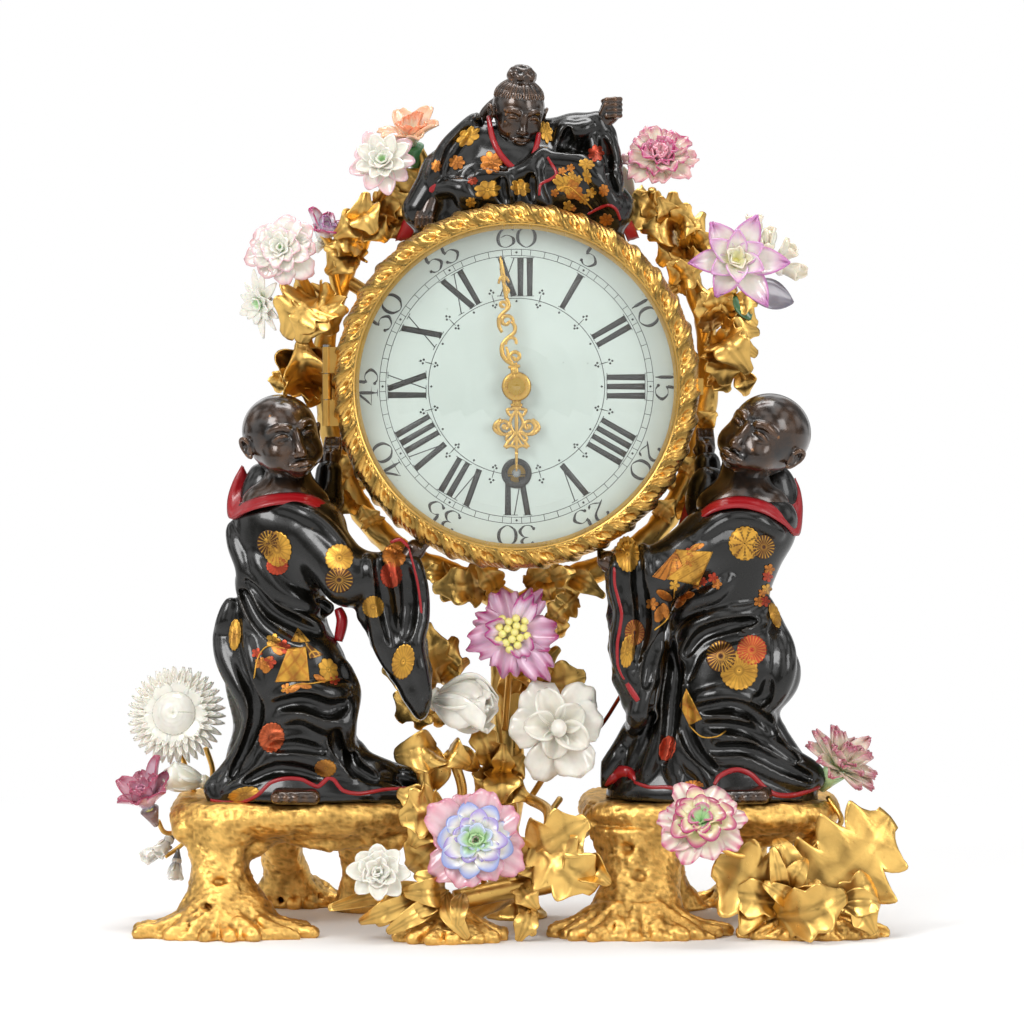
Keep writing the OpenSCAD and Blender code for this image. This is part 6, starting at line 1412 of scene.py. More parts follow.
def flower(gather, centre, facing, rings, heart=None, calyx=None, jitter=1.0):
    """Rings of petals round a heart, with a calyx behind."""
    centre, axes = np.asarray(centre, float), aim(facing)
    for i, petals in enumerate(rings):
        shape = dict(petals)
        count = shape.pop("count")
        for j in range(count):
            near = dict(shape)
            for key in ("length", "width"):
                near[key] = shape[key] * (1 + 0.08 * jitter * chance.normal())
            near["lift"] = shape["lift"] + 5 * jitter * chance.normal()
            angle = 360 * (j + 0.5 * (i % 2)) / count + 4 * jitter * chance.normal()
            petal(gather, axes, centre, angle, seed=chance.uniform(0, 6), **near)
    if heart:
        r, shade = heart
        bead(gather, centre + axes[:, 2] * 0.5, (r, r, r * 0.8), shade, axes, 16, 9)
    if calyx:
        r, depth, shade = calyx
        path = centre - axes[:, 2] * [[depth], [depth * 0.55], [0.2], [0]]
        gather.add(*tube(path, np.array([0.3, 0.6, 1.0, 0.7]) * r, 14, up=axes[:, 1]), shade)
    else:
        bead(gather, centre - axes[:, 2] * 0.6, (2.6, 2.6, 2.0), tint("#E8E6DC"), axes)


# the modellers' colours
milk, cream, ivory = tint("#F4F0E4"), tint("#EFE6CF"), tint("#E7E2D2")
blush, rose, magenta, purple = tint("#F0C9CF"), tint("#E58CA0"), tint("#B0286A"), tint("#8E4C86")
leaf_green, pale_green, lemon, straw = tint("#5FA068"), tint("#BBDDA6"), tint("#F2E98E"), tint("#EDE5A8")
peach, coral, pearl, apricot = tint("#F3BF98"), tint("#E38C62"), tint("#E9E4EC"), tint("#F4D9C0")
# petals take three colours: at the root, in the middle and at the edge
white = (milk, milk, milk)

# %% Flowers of the upper left
upper_left = Gather()
flower(upper_left, (-105, -20, 303), (-0.25, -1, 0.35), [
    ring(9, 17, 11, 10, 18, 0.35, (milk, milk, tint("#E4AFB6")), point=-0.1, ruffle=0.4, rim_at=0.8,
         sides=0.2),
    ring(9, 14.5, 9, 26, 30, 0.4, (milk, milk, blush), point=-0.1, ruffle=0.4, rim_at=0.84, sides=0.2),
    ring(8, 11.5, 7, 44, 36, 0.4, (milk, milk, blush), point=-0.1, ruffle=0.3, rim_at=0.86, sides=0.2),
    ring(6, 8.5, 5.6, 52, 0, 0.4, (pale_green, milk, milk)),
    ring(4, 5, 4.4, 70, 0, 0.4, (leaf_green, pale_green, milk))],
    heart=(1.6, leaf_green), calyx=(3.4, 6, pale_green))
flower(upper_left, (-115, -10, 280), (-0.85, -0.8, -0.35), [
    ring(11, 13.5, 5.2, 8, 10, 0.3, (pale_green, milk, milk), point=0.7),
    ring(9, 10, 4.6, 28, 10, 0.3, (pale_green, milk, milk), point=0.7),
    ring(6, 5.5, 3.4, 55, 0, 0.3, (leaf_green, pale_green, milk), point=0.5)],
    heart=(1.4, leaf_green), calyx=(3, 6, tint("#8A7A5E")))
flower(upper_left, (-89, 5, 308), (0.35, -0.6, 0.85), [
    ring(5, 15, 9.5, 58, 16, 0.5, (milk, pearl, magenta), point=0.25, ruffle=0.4, rim_at=0.78),
    ring(4, 12, 8, 72, 0, 0.6, (milk, pearl, purple), point=0.25, rim_at=0.85)],
    calyx=(3.2, 6, milk))
flower(upper_left, (-60, -15, 343), (-0.1, -1, 0.3), [
    ring(9, 15.5, 8, 4, -8, 0.35, (milk, milk, blush * 1.02)),
    ring(8, 12.5, 7, 20, -14, 0.4, white),
    ring(7, 9, 5.6, 42, -8, 0.4, (pale_green, milk, milk)),
    ring(5, 5.5, 4.2, 62, 0, 0.4, (leaf_green, pale_green, milk))],
    heart=(1.8, pale_green), calyx=(3.2, 6, pale_green))
flower(upper_left, (-47, 0, 351), (-0.12, -0.55, 1), [
    ring(6, 20, 10.5, 48, 26, 0.5, (cream, apricot, peach), ruffle=0.3),
    ring(5, 16, 9, 66, 22, 0.5, (cream, apricot, coral * 1.1), ruffle=0.3),
    ring(4, 9, 6, 76, 0, 0.5, (leaf_green, pale_green, pale_green))],
    calyx=(5.2, 13, leaf_green))
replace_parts(upper_left.piece("flowers_upper_left_petals", porcelain, "porcelain"), "flowers_upper_left")

# %% Flowers of the upper right
upper_right = Gather()
carnation = dict(point=-1, ruffle=0.7, stripe=0.35, rim_at=0.72)
flower(upper_right, (64, -15, 344), (0.05, -0.9, 0.75), [
    ring(8, 16, 12, 4, 6, 0.15, (lemon, cream, rose), **carnation),
    ring(8, 14, 10, 22, 0, 0.2, (lemon, cream, magenta * 1.2), **carnation),
    ring(7, 11, 8.5, 42, 0, 0.2, (lemon, blush, magenta * 1.2), **carnation),
    ring(5, 8, 6.5, 64, 0, 0.25, (pale_green, blush, rose), **carnation)],
    heart=(1.8, leaf_green), calyx=(4.6, 9, leaf_green))
petal(upper_right, aim((0, -1, 0.1)), vec(51, 8, 322), 112, 24, 14, 5, 10, 0.5, (cream, ivory, cream),
      rows=14)
flower(upper_right, (98, -22, 298), (0.1, -1, 0.25), [
    ring(6, 22.5, 12.5, 8, -14, 0.5, (cream, milk, tint("#C878B8")), point=0.75, ruffle=0.3),
    ring(6, 16, 10, 32, -6, 0.55, (lemon, milk, tint("#D9A0CE")), point=0.65),
    ring(5, 9.5, 7, 58, 0, 0.6, (lemon, tint("#F1EBC0"), cream), point=0.4)],
    heart=(2.6, lemon), calyx=(3.6, 8, milk))
# five buds that spread like a fan
for x, z, dx, dz in ((108, 312, -0.1, 1), (114, 306, 0.25, 1), (120, 301, 0.7, 0.5), (122, 295, 0.9, -0.1),
                     (112, 300, 0.3, 0.8)):
    flower(upper_right, (x - dx * 3, 0, z - dz * 3), (dx, -0.35, dz), [
        ring(3, 11, 6.6, 80, 14, 0.9, (cream, milk, cream), start=1.2)],
        heart=(3.1, milk), calyx=(2.2, 5, cream))
# a grey and a green leaf behind them
grey_leaf = (tint("#8B8790"), tint("#8E8892"), tint("#75707C"))
green_leaf = (leaf_green * 0.5, leaf_green * 0.5, leaf_green * 0.4)
petal(upper_right, aim((0.3, -1, 0.4)), vec(104, -4, 286), -12, 24, 15, -4, 6, 0.3, grey_leaf, point=0.8,
      rows=14)
petal(upper_right, aim((0.3, -1, 0.4)), vec(99, -6, 283), -60, 13, 9, -4, 6, 0.3, green_leaf, point=0.8)
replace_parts(upper_right.piece("flowers_upper_right_petals", porcelain, "porcelain"), "flowers_upper_right")

# %% The chrysanthemum
# Rings of narrow pointed petals round a woven button, all in white. The tree sets each ring.
daisy = Gather()
daisy_axes, daisy_place = aim((-0.12, -1, 0.22)), vec(-154, -15, 94)
# rows of count, length, width, lift, curl, cup, point, radius and place forward; the last is the button's bed
for count, length, width, lift, curl, cup, point, radius, forward in (
    (34, 9.5, 2.6, -16, -10, 0.7, 0.9, 13.2, -1.5), (34, 9.0, 2.6, 0, -12, 0.7, 0.9, 13, 0),
    (32, 8.6, 2.5, 22, -6, 0.7, 0.9, 12.2, 1), (28, 7.5, 2.4, 46, -2, 0.7, 0.9, 11.2, 1),
    (9, 10, 9.5, 14, 12, 0.1, 0.0, 5.5, 2),
):
    narrow = Gather()
    petal(narrow, np.eye(3), vec(0, 0, 0), 0, length, width, lift, curl, cup, white, point=point,
          rows=7, columns=7, seed=float(count))
    spread_out(daisy, narrow, porcelain, count, radius=radius, wobble=0.07, seed=count, axes=daisy_axes,
               centre=daisy_place + daisy_axes[:, 2] * forward)
button_r, r, a = 9.6, np.linspace(0, 1, 26)[:, None], np.linspace(0, 2 * math.pi, 73)[None]
weave = 0.3 * np.cos(a * 36) * np.cos(r * 60) * smooth_step(0.15, 0.5, r)
dome = 3.6 + 4.2 * (1 - r**2.6) - 2.6 * np.exp(-(r / 0.13) ** 2) + weave
button = np.stack([button_r * r * np.cos(a), button_r * r * np.sin(a), dome], -1)
daisy.add(*sheet(button @ daisy_axes.T + daisy_place, 1.0), tint=milk)
calyx_path = daisy_place - daisy_axes[:, 2] * [[6], [3.5], [0.5], [-1]]
daisy.add(*tube(calyx_path, (1.5, 3.2, 5, 6), 16, up=daisy_axes[:, 1]), milk)
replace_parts(daisy.piece("chrysanthemum_white", porcelain, "porcelain"), "daisy_white")

# %% [markdown]
# ## Lacquered robes
# A robe starts as level ovals one above another, with arms pressed on. Folds are then
# laid on its front as rolls of wax and scraped in between them, each along a line given
# by its places in the front view and let down onto the surface.

# %% Laying lines on the front of a wax
class Front:
    """The front of a wax as a map of depths, to lay folds and ornament on."""

    def __init__(self, wax):
        self.wax = wax
        inside = wax.d < 0
        first = np.maximum(inside.argmax(1), 1)[:, None]
        here = np.take_along_axis(wax.d, first, 1)[:, 0]
        before = np.take_along_axis(wax.d, first - 1, 1)[:, 0]
        depth = wax.low[1] + wax.step * (first[:, 0] - here / np.minimum(here - before, -1e-3))
        self.depth = np.where(inside.any(1), depth, np.nan)

    def lay(self, places, sink=0.0, start=-30.0, reach=None):
        """Points in millimetres where places of the front view meet the wax."""
        px, py = np.moveaxis(np.asarray(places, float), -1, 0)
        y = np.full(px.shape, start)
        for _ in range(5):
            x, _, z = seen(px, py, y)
            i, k = (x - self.wax.low[0]) / self.wax.step, (z - self.wax.low[2]) / self.wax.step
            total, weight = 0, 1e-9
            for di in (0, 1):
                for dk in (0, 1):
                    a = np.clip(np.floor(i).astype(int) + di, 0, self.depth.shape[0] - 1)
                    b = np.clip(np.floor(k).astype(int) + dk, 0, self.depth.shape[1] - 1)
                    share = np.abs(1 - di - (i - np.floor(i))) * np.abs(1 - dk - (k - np.floor(k)))
                    found = self.depth[a, b]
                    total = total + np.where(np.isfinite(found), found * share, 0)
                    weight = weight + np.where(np.isfinite(found), share, 0)
            y = np.where(weight > 0.01, total / weight, y)
        if reach is not None:
            y = np.clip(y, np.median(y) - reach, np.median(y) + reach)
        return np.moveaxis(seen(px, py, y), 0, -1) + (0, sink, 0)


def fold(wax, front, rolls, hollows):
    """Rolls of wax and scraped hollows: rows of places, radius and depth below the surface."""
    for places, r, sink in rolls:
        path = smooth_path(front.lay(smooth_path(places, 3), sink), 2)
        wax.ridge(path, r * np.sin(np.linspace(0.35, math.pi - 0.35, len(path))) ** 0.5, 3.2)
    for places, r in hollows:
        path = smooth_path(front.lay(smooth_path(places, 3), -r * 0.45), 2)
        wax.ridge(path, r * np.sin(np.linspace(0.3, math.pi - 0.3, len(path))) ** 0.6, 2.4, cut=True)


def hanging(wax, rows, y, depth, k=3.0):
    """A sleeve that hangs open: rows of height, middle and half width."""
    for (za, xa, wa), (zb, xb, wb) in zip(rows, rows[1:]):
        for t in np.linspace(0, 1, 4):
            w = wa + (wb - wa) * t
            x, z = xa + (xb - xa) * t, za + (zb - za) * t
            wax.ball((x, y, z), (w, depth, 5.0), k)


def finish_robe(wax, name):
    """The robe's piece, and its finished front."""
    gather = Gather()
    wax.skin(gather)
    return gather.piece(name, black_lacquer, "lacquered_bronze"), Front(wax)


# %% Left robe
robe = Wax((-150, -62, 55), (-34, 6, 212), 0.85)
robe.stack([(57.6, -93, -23, 47, 30), (62, -93, -23, 45, 30), (70, -94.5, -22, 38, 28),
            (79, -99, -22, 31, 26), (90, -100.5, -22, 27, 23.5), (105, -102, -22, 28.6, 23),
            (119, -105, -22, 27.5, 22), (130, -107.5, -22, 24.5, 20.5), (145, -106, -22, 20, 18.5),
            (160, -103.5, -22, 22, 18.5), (172, -102, -22, 25, 18.5), (182, -102, -22, 25, 18),
            (189, -103.5, -22, 21.5, 15), (193, -103, -22, 16, 12)], 4)
robe.ball((-98, -34, 117), (21, 17, 19), 8)
robe.ball((-88, -36, 99), (13, 13, 12), 8)
robe.limb((-100, -34, 80), (-86, -36, 90), 12, 10, 8)
robe.limb((-92, -33, 176), (-74, -46, 157), 14, 12, 8)
robe.limb((-74, -46, 157), (-50, -44, 161), 11, 8, 6)
hanging(robe, [(162, -57, 13), (152, -58, 15.5), (140, -56, 14), (128, -52, 12), (116, -47.5, 9.5),
               (106, -44.5, 6), (99, -42.5, 3.2)], -46, 6.2)
robe.limb((-92, -12, 174), (-86, -7, 190), 8.5, 7, 5)
robe.limb((-86, -7, 190), (-85, -5, 203), 7, 6, 4)
robe.limb((-60, -40, 60), (-42, -40, 59.5), 4.6, 3.2, 5)
robe.limb((-120, -40, 60), (-134, -36, 59), 5, 3.6, 5)
left_front = Front(robe)
left_rolls = [
    ([(230, 604), (223, 636), (229, 666), (248, 699), (255, 724), (245, 751), (225, 778), (210, 791)], 4.6,
     2.4),
    ([(248, 641), (255, 669), (260, 694), (256, 721), (248, 748), (235, 773), (222, 788)], 3.2, 1.6),
    ([(240, 579), (252, 609), (270, 629), (295, 641)], 3.4, 1.9),
    ([(248, 569), (267, 602), (292, 617), (319, 627)], 3.2, 1.6),
    ([(255, 559), (277, 589), (304, 604), (329, 609)], 3.6, 2.0),
    ([(257, 604), (277, 612), (302, 627)], 2.4, 1.0),
    ([(277, 697), (304, 691), (329, 696), (347, 689)], 4.0, 1.8),
    ([(280, 720), (302, 712), (324, 721), (342, 729), (344, 743)], 4.2, 2.0),
    ([(342, 666), (350, 694), (344, 719), (342, 743), (354, 763), (374, 776)], 4.2, 1.6),
    ([(329, 741), (334, 763), (354, 778)], 3.0, 1.0),
    ([(354, 746), (362, 763), (379, 771), (406, 778), (424, 783)], 4.2, 1.6),
    ([(262, 761), (290, 756), (314, 761), (334, 773)], 3.6, 1.2),
    ([(277, 741), (270, 761), (255, 778), (227, 793)], 3.0, 1.0),
    ([(369, 559), (373, 589), (377, 614), (381, 644), (392, 669)], 3.0, 1.2),
    ([(387, 554), (394, 584), (398, 609), (406, 629)], 3.0, 1.2),
    ([(414, 559), (420, 589), (420, 619), (414, 644), (419, 669), (426, 699)], 2.8, 1.0),
    ([(277, 507), (299, 512), (324, 527), (344, 549)], 3.0, 1.6),
    ([(232, 527), (237, 547), (245, 569), (244, 589)], 3.0, 1.4)]
left_hollows = [
    ([(277, 705), (304, 702), (329, 710), (342, 706)], 3.4),
    ([(242, 589), (257, 619), (277, 636), (299, 646)], 2.2),
    ([(248, 582), (270, 609), (295, 623), (319, 633)], 2.4),
    ([(236, 619), (235, 641), (242, 669), (256, 704), (251, 736), (232, 776)], 2.6),
    ([(334, 729), (338, 753), (354, 775)], 2.6),
    ([(347, 741), (354, 766), (374, 780)], 2.2),
    ([(378, 562), (384, 589), (388, 614), (394, 641)], 3.0),
    ([(403, 562), (408, 589), (408, 614), (405, 636)], 2.8),
    ([(314, 602), (334, 615), (354, 636)], 2.0),
    ([(270, 748), (295, 746), (319, 751)], 2.4),
    ([(245, 783), (270, 771), (295, 771), (319, 778)], 2.2)]
fold(robe, left_front, left_rolls, left_hollows)
robe_left, left_front = finish_robe(robe, "left_robe_folds")
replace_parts(robe_left, "left_robe")

# %% Right robe
robe = Wax((38, -62, 55), (146, 6, 212), 0.85)
robe.stack([(57.6, 88, -23, 48, 30), (62, 87, -23, 46, 30), (70, 86, -22, 42, 28), (79, 84, -22, 37, 26),
            (90, 84, -22, 32.5, 24), (105, 89, -22, 31, 23.5), (119, 94, -22, 29, 22.5),
            (130, 93, -22, 26, 20), (145, 91, -22, 22.5, 18.5), (160, 93, -22, 25, 18.5),
            (172, 98, -22, 26.5, 18.5), (182, 102, -22, 24.5, 18), (189, 104, -22, 20, 15),
            (193, 103, -22, 15, 12)], 4)
robe.ball((101, -35, 114), (26, 15, 20), 8)
robe.limb((88, -36, 104), (84, -36, 86), 12, 9, 7)
robe.limb((112, -32, 82), (128, -34, 66), 11, 7, 8)
robe.limb((84, -33, 173), (66, -46, 160), 13, 12, 8)
robe.limb((66, -46, 160), (48, -44, 159), 11, 9, 6)
hanging(robe, [(164, 53, 11), (152, 55, 14.5), (140, 54, 13.5), (126, 53, 12), (112, 53, 10),
               (102, 54, 6.5), (97, 55, 3.6)], -46, 6.4)
robe.limb((90, -12, 174), (88, -7, 190), 8.5, 7, 5)
robe.limb((88, -7, 190), (86.5, -5, 207), 7, 6, 4)
right_front = Front(robe)
right_rolls = [
    ([(682, 646), (694, 629), (719, 619), (749, 614), (767, 604)], 3.6, 1.8),
    ([(677, 669), (692, 646), (717, 634), (744, 629), (764, 622)], 3.2, 1.6),
    ([(764, 604), (774, 627), (783, 649), (783, 674), (774, 696), (762, 709)], 4.4, 2.2),
    ([(697, 701), (729, 696), (754, 704), (769, 721)], 4.2, 1.8),
    ([(707, 716), (739, 716), (764, 731), (782, 751)], 4.0, 1.8),
    ([(714, 736), (749, 741), (779, 756), (809, 771), (821, 783)], 4.2, 1.8),
    ([(709, 761), (744, 761), (779, 776), (809, 786)], 3.4, 1.2),
    ([(682, 679), (677, 709), (681, 741), (690, 761), (707, 778)], 4.2, 1.8),
    ([(665, 649), (670, 679), (667, 709), (660, 743), (647, 778)], 3.8, 1.6),
    ([(648, 679), (640, 711), (630, 738), (612, 766), (602, 783)], 3.8, 1.6),
    ([(675, 724), (672, 753), (677, 783)], 3.0, 1.0),
    ([(688, 743), (699, 763), (709, 786)], 3.0, 1.0),
    ([(643, 547), (646, 574), (648, 599), (652, 629), (646, 661), (637, 691)], 3.0, 1.3),
    ([(630, 549), (631, 584), (636, 609), (635, 644), (627, 669), (636, 694)], 3.0, 1.2),
    ([(617, 549), (617, 584), (624, 614), (619, 644), (621, 669)], 2.6, 0.9),
    ([(697, 537), (724, 520), (754, 520), (779, 534)], 3.0, 1.4),
    ([(672, 624), (690, 604), (714, 594), (729, 579)], 3.0, 1.4)]
right_hollows = [
    ([(687, 654), (702, 636), (727, 627), (754, 622)], 2.4),
    ([(687, 679), (699, 651), (719, 641), (744, 636)], 2.2),
    ([(702, 709), (734, 706), (759, 716), (774, 736)], 3.0),
    ([(709, 726), (744, 729), (772, 743), (796, 761)], 2.8),
    ([(714, 751), (749, 751), (782, 766), (809, 778)], 2.4),
    ([(673, 641), (676, 669), (673, 699), (671, 729), (665, 761)], 3.0),
    ([(688, 711), (687, 733), (697, 753), (714, 771)], 2.6),
    ([(656, 691), (650, 719), (642, 746), (627, 776)], 2.6),
    ([(637, 547), (639, 579), (642, 604), (643, 629), (637, 659)], 2.6),
    ([(662, 634), (652, 659), (646, 686)], 2.4),
    ([(769, 681), (764, 699), (752, 701)], 2.0)]
fold(robe, right_front, right_rolls, right_hollows)
robe_right, right_front = finish_robe(robe, "right_robe_folds")
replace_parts(robe_right, "right_robe")

# %% Rider's robe
robe = Wax((-62, -42, 294), (58, 12, 372), 0.7)
robe.stack([(296, 0.7, -14, 52, 17), (310, 0.7, -14, 48, 20), (320, 2, -14, 44, 22), (330, 4, -14, 39, 21),
            (340, 3, -14, 31, 18.5), (348, 0, -14, 26.5, 16), (355, -3, -13, 19, 12.5),
            (360.5, -2.5, -12, 11.5, 9)], 3)
robe.ball((-15, -25, 330), (19, 13, 11), 6)
robe.ball((22, -25, 333), (24, 13, 13), 6)
robe.ball((43, -22, 322), (10, 11, 10), 5)
robe.limb((-19, -15, 352), (-33, -21, 338), 9.5, 9, 5)
robe.limb((-33, -21, 338), (-43, -22, 321), 9, 8.5, 4)
robe.limb((13, -13, 354), (26, -17, 356.5), 8.5, 7.5, 5)
robe.limb((26, -17, 356.5), (36, -19, 360), 7.5, 5.6, 4)
hanging(robe, [(356, 38, 6.5), (346, 38.5, 7.6), (336, 39.5, 7), (326, 41, 6.4), (317, 43, 5)], -18, 5.5)
rider_front = Front(robe)
rider_rolls = [
    ([(473.5, 176.8), (488.8, 174.3), (504.1, 178.1), (506.6, 190.9), (509.2, 199.8)], 2.4, 0.9),
    ([(506.6, 176.8), (521.9, 173), (533.4, 166.6), (542.3, 156.4), (550, 159)], 2.6, 0.9),
    ([(536, 173), (534.7, 184.5), (537.9, 197.2), (543.6, 204.9)], 2.2, 0.7),
    ([(550, 160.3), (565.3, 160.3), (581.9, 164.1), (594.6, 176.8), (606.1, 193.4), (613.8, 207.4)], 2.8,
     1.0),
    ([(590.8, 173), (602.3, 187), (613.8, 202.3)], 2.2, 0.7),
    ([(465.8, 183.2), (463.3, 194.7), (467.1, 204.9)], 2.4, 0.8),
    ([(478.6, 116.9), (467.1, 128.4), (450.5, 144.9), (440.3, 161.5), (432.7, 179.4)], 2.6, 1.2),
    ([(564, 128.4), (575.5, 132.2), (589.5, 127.1)], 2.2, 1.0),
    ([(593.4, 138.6), (597.2, 156.4), (599.7, 171.7), (608.7, 187)], 2.2, 0.8),
    ([(608.7, 138.6), (612.5, 156.4), (615.1, 174.3), (616.3, 189.6)], 2.2, 0.8),
    ([(440.3, 189.6), (450.5, 187), (463.3, 190.9), (473.5, 199.8)], 2.4, 0.8),
    ([(564, 129.6), (562.1, 138.6), (557.7, 148.8)], 1.8, 0.7)]
rider_hollows = [
    ([(467.1, 176.8), (474.7, 169.2), (488.8, 167.9), (504.1, 173)], 2.0),
    ([(502.8, 179.4), (502.2, 190.9), (505.4, 202.3)], 1.6),
    ([(532.1, 176.8), (531.5, 187), (533.4, 199.8)], 1.6),
    ([(552.6, 152.6), (567.9, 156.4), (583.2, 159)], 2.0),
    ([(602.9, 142.4), (606.1, 159), (607.4, 176.8), (615.1, 194.7)], 1.8),
    ([(569.1, 130.9), (566.6, 139.8), (560.2, 151.3)], 1.5),
    ([(468.4, 129.6), (456.9, 144.9), (449.2, 156.4), (444.1, 171.7)], 1.5)]
fold(robe, rider_front, rider_rolls, rider_hollows)
# the seat fits the case with a small gap
seat_r = 74.4
robe.press(np.sqrt(robe.x**2 + (robe.z - dial_z) ** 2) - seat_r + 0 * robe.y, 0.6, cut=True)
robe_rider, rider_front = finish_robe(robe, "rider_robe_folds")
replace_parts(robe_rider, "rider_robe")

# %% [markdown]
# ## Red linings and gold pictures
# The collars, cuffs and hems are rolled edges in cinnabar red. The gold pictures on the
# robes are built up as in raised lacquer: a thin layer in the shape of a roundel, a fan or
# a leaf, let down onto the folds, with its lines left dark or laid in red.

# %% Red edges
def at(rows):
    """Points in millimetres from places of the front view, each with its depth."""
    return np.array([seen(*row) for row in rows])


def roll(path, r):
    """A rolled edge along a path, thinner at its ends; r may vary along it."""
    path = smooth_path(path, 5)
    r = evenly(r, len(path)) * np.sin(np.linspace(0.3, math.pi - 0.3, len(path))) ** 0.25
    red.add(*tube(path, r, 10, 0.8, up=(0.1, 1, 0.2)))


def edge(rows, r):
    """A rolled edge through places with depths."""
    roll(at(rows), r)


def hem(front, places, r, sink):
    """A rolled edge let down onto the folds."""
    roll(front.lay(smooth_path(places, 2), sink), r)


def band(outer, inner):
    """A broad folded edge between two lines: a soft sheet that bulges and rolls over at its rims."""
    outer, inner = smooth_path(at(outer), 5), smooth_path(at(inner), 5)
    t = np.linspace(0, 1, 9)[None, :, None]
    rise = np.sin(math.pi * t) * vec(0, -1.3, 0) + 0.5 * np.sin(3 * math.pi * t) * vec(0, -0.5, 0.2)
    thickness = 1.5 + 0.8 * np.abs(2 * t[..., 0] - 1) ** 3 * np.ones((len(outer), 1))
    red.add(*sheet(outer[:, None] * (1 - t) + inner[:, None] * t + rise, thickness))


# rows of a collar's or cuff's outer and inner line
folded_bands = [
    ([(243, 466, -8), (234, 483, -10), (229, 502, -16), (231, 519, -26), (243, 514, -34), (259, 508, -38),
      (279, 504, -39.5), (300, 504, -39.5), (321, 511, -38), (340, 524, -33)],
     [(248, 478, -6), (243, 492, -10), (241, 502, -18), (243, 505, -26), (252, 501, -31), (266, 497, -34),
      (282, 495, -35), (300, 495, -35), (318, 500, -33), (334, 512, -29)]),
    ([(683, 541, -34), (697, 523, -38), (715, 511, -40), (739, 507, -40), (764, 513, -39), (784, 525, -35),
      (797, 536, -27), (801, 512, -17), (799, 492, -12), (794, 479, -8)],
     [(690, 530, -30), (703, 512, -34), (718, 502, -36), (739, 498, -36), (762, 502, -35), (780, 511, -32),
      (789, 518, -26), (790, 507, -17), (790, 495, -12), (788, 486, -8)]),
    ([(672, 547, -22), (679, 529, -16), (689, 497, -12), (699, 484, -10), (716, 475, -8)],
     [(681, 549, -22), (692, 532, -17), (704, 508, -14), (712, 496, -12), (722, 486, -10)]),
    ([(438, 184, -22), (422, 198, -16), (408, 216, -10), (397, 241, -2)],
     [(442, 200, -22), (432, 212, -18), (422, 224, -12), (414, 238, -4)]),
    ([(620, 212, -20), (630, 222, -14), (637, 238, -6)],
     [(612, 220, -22), (622, 230, -16), (628, 240, -8)])]
# rows of a line in space and its radius
free_edges = [
    ([(390.3, 542.4, -50), (400.2, 539.5, -51), (408.4, 546.9, -52)], 0.9),
    ([(408.4, 546.9, -52), (417.6, 584.2, -52), (421.9, 624, -51), (420.1, 653.9, -50)], 0.6),
    ([(338, 609.1, -30), (341.8, 621.5, -32), (338, 641.4, -33)], 2.6),
    ([(319.4, 476, -8), (324.4, 489.7, -9)], 1.4),
    ([(488.8, 117.5, -21), (490.3, 128.4, -27), (493.9, 142.4, -31), (501.5, 156.4, -33), (513, 168.5, -34),
      (520, 170.2, -34), (527.7, 164.1, -34), (533.4, 156.4, -33), (537, 144.9, -31), (538.8, 134.1, -27)],
     1.45),
    ([(462, 187, -33), (450.5, 184.5, -33), (440.3, 185.5, -31), (431.4, 191.5, -29), (426.9, 198.5, -27)],
     (1.0, 1.8, 2.0, 2.0, 1.6)),
    ([(608.7, 135.4, -19), (611.9, 144.9, -19), (614.4, 156.4, -19)], 0.6)]
# rows of a line on the folds, its radius and how deep it sinks in
left_hems = [
    ([(209.9, 801.1), (222.4, 803.1), (244.8, 801.9), (259.7, 793.7), (269.6, 784.2), (284.6, 779.8),
      (302, 781), (316.9, 787.7), (326.8, 779.5), (334.3, 782), (341.8, 791.2), (359.2, 794.7),
      (384.1, 790.7), (406.4, 789.5), (423.9, 788.2)], 1.1, 0.2)]
right_hems = [
    ([(605.4, 786.2), (612.4, 779.5), (622.3, 773.3), (631, 774.5), (636, 782)], (1.2, 2.6, 3.2, 2.6, 1.2),
     0.6),
    ([(634.8, 783.2), (649.7, 788.2), (664.6, 788.2), (679.6, 789.5), (697, 790.2)], 1.0, 0.2),
    ([(714.4, 785.7), (720.6, 777), (736.8, 770.3), (751.7, 775.8), (764.1, 788.2), (776.6, 795.7),
      (796.5, 795.7), (820.1, 787.7)], 1.4, 0.2),
    ([(614.9, 554.4), (614.9, 584.2), (621.8, 614.1), (617.9, 641.4), (618.4, 666.3), (624.8, 680)], 0.8,
     0.2),
    ([(627.3, 683.7), (633.5, 693.7), (638.8, 701.6)], 1.5, 0.4)]
rider_hems = [
    ([(547.4, 157.7), (551.3, 164.1), (556.4, 174.9), (548.7, 180.7), (540.4, 185.1), (539.2, 196)], 0.8,
     0.2),
    ([(587.6, 214.5), (597.2, 209.4), (608.7, 205.5), (616.3, 210.6), (619.9, 220.2)], 0.8, 0.2)]
red = Gather()
for outer, inner in folded_bands:
    band(outer, inner)
for places, r in free_edges:
    edge(places, r)
for front, rows in ((left_front, left_hems), (right_front, right_hems), (rider_front, rider_hems)):
    for places, r, sink in rows:
        hem(front, places, r, sink)
red.piece("robe_red_edges", red_lacquer, "lacquered_bronze")

# %% Gold pictures
gold = Gather()
bright, deep, warm = tint("#D8A340"), tint("#94631F"), tint("#C27A32")
vermilion, ground = tint("#B8442C"), tint("#33241A")


def drape(front, px, py, tones, lift=0.3):
    """A thin layer let down onto the folds, from a grid of places and a grid of tones."""
    points = front.lay(np.stack([px, py], -1), -lift, reach=9)
    gold.add(*sheet(points, 0.3), tint=np.vstack([tones.reshape(-1, 3)] * 2))


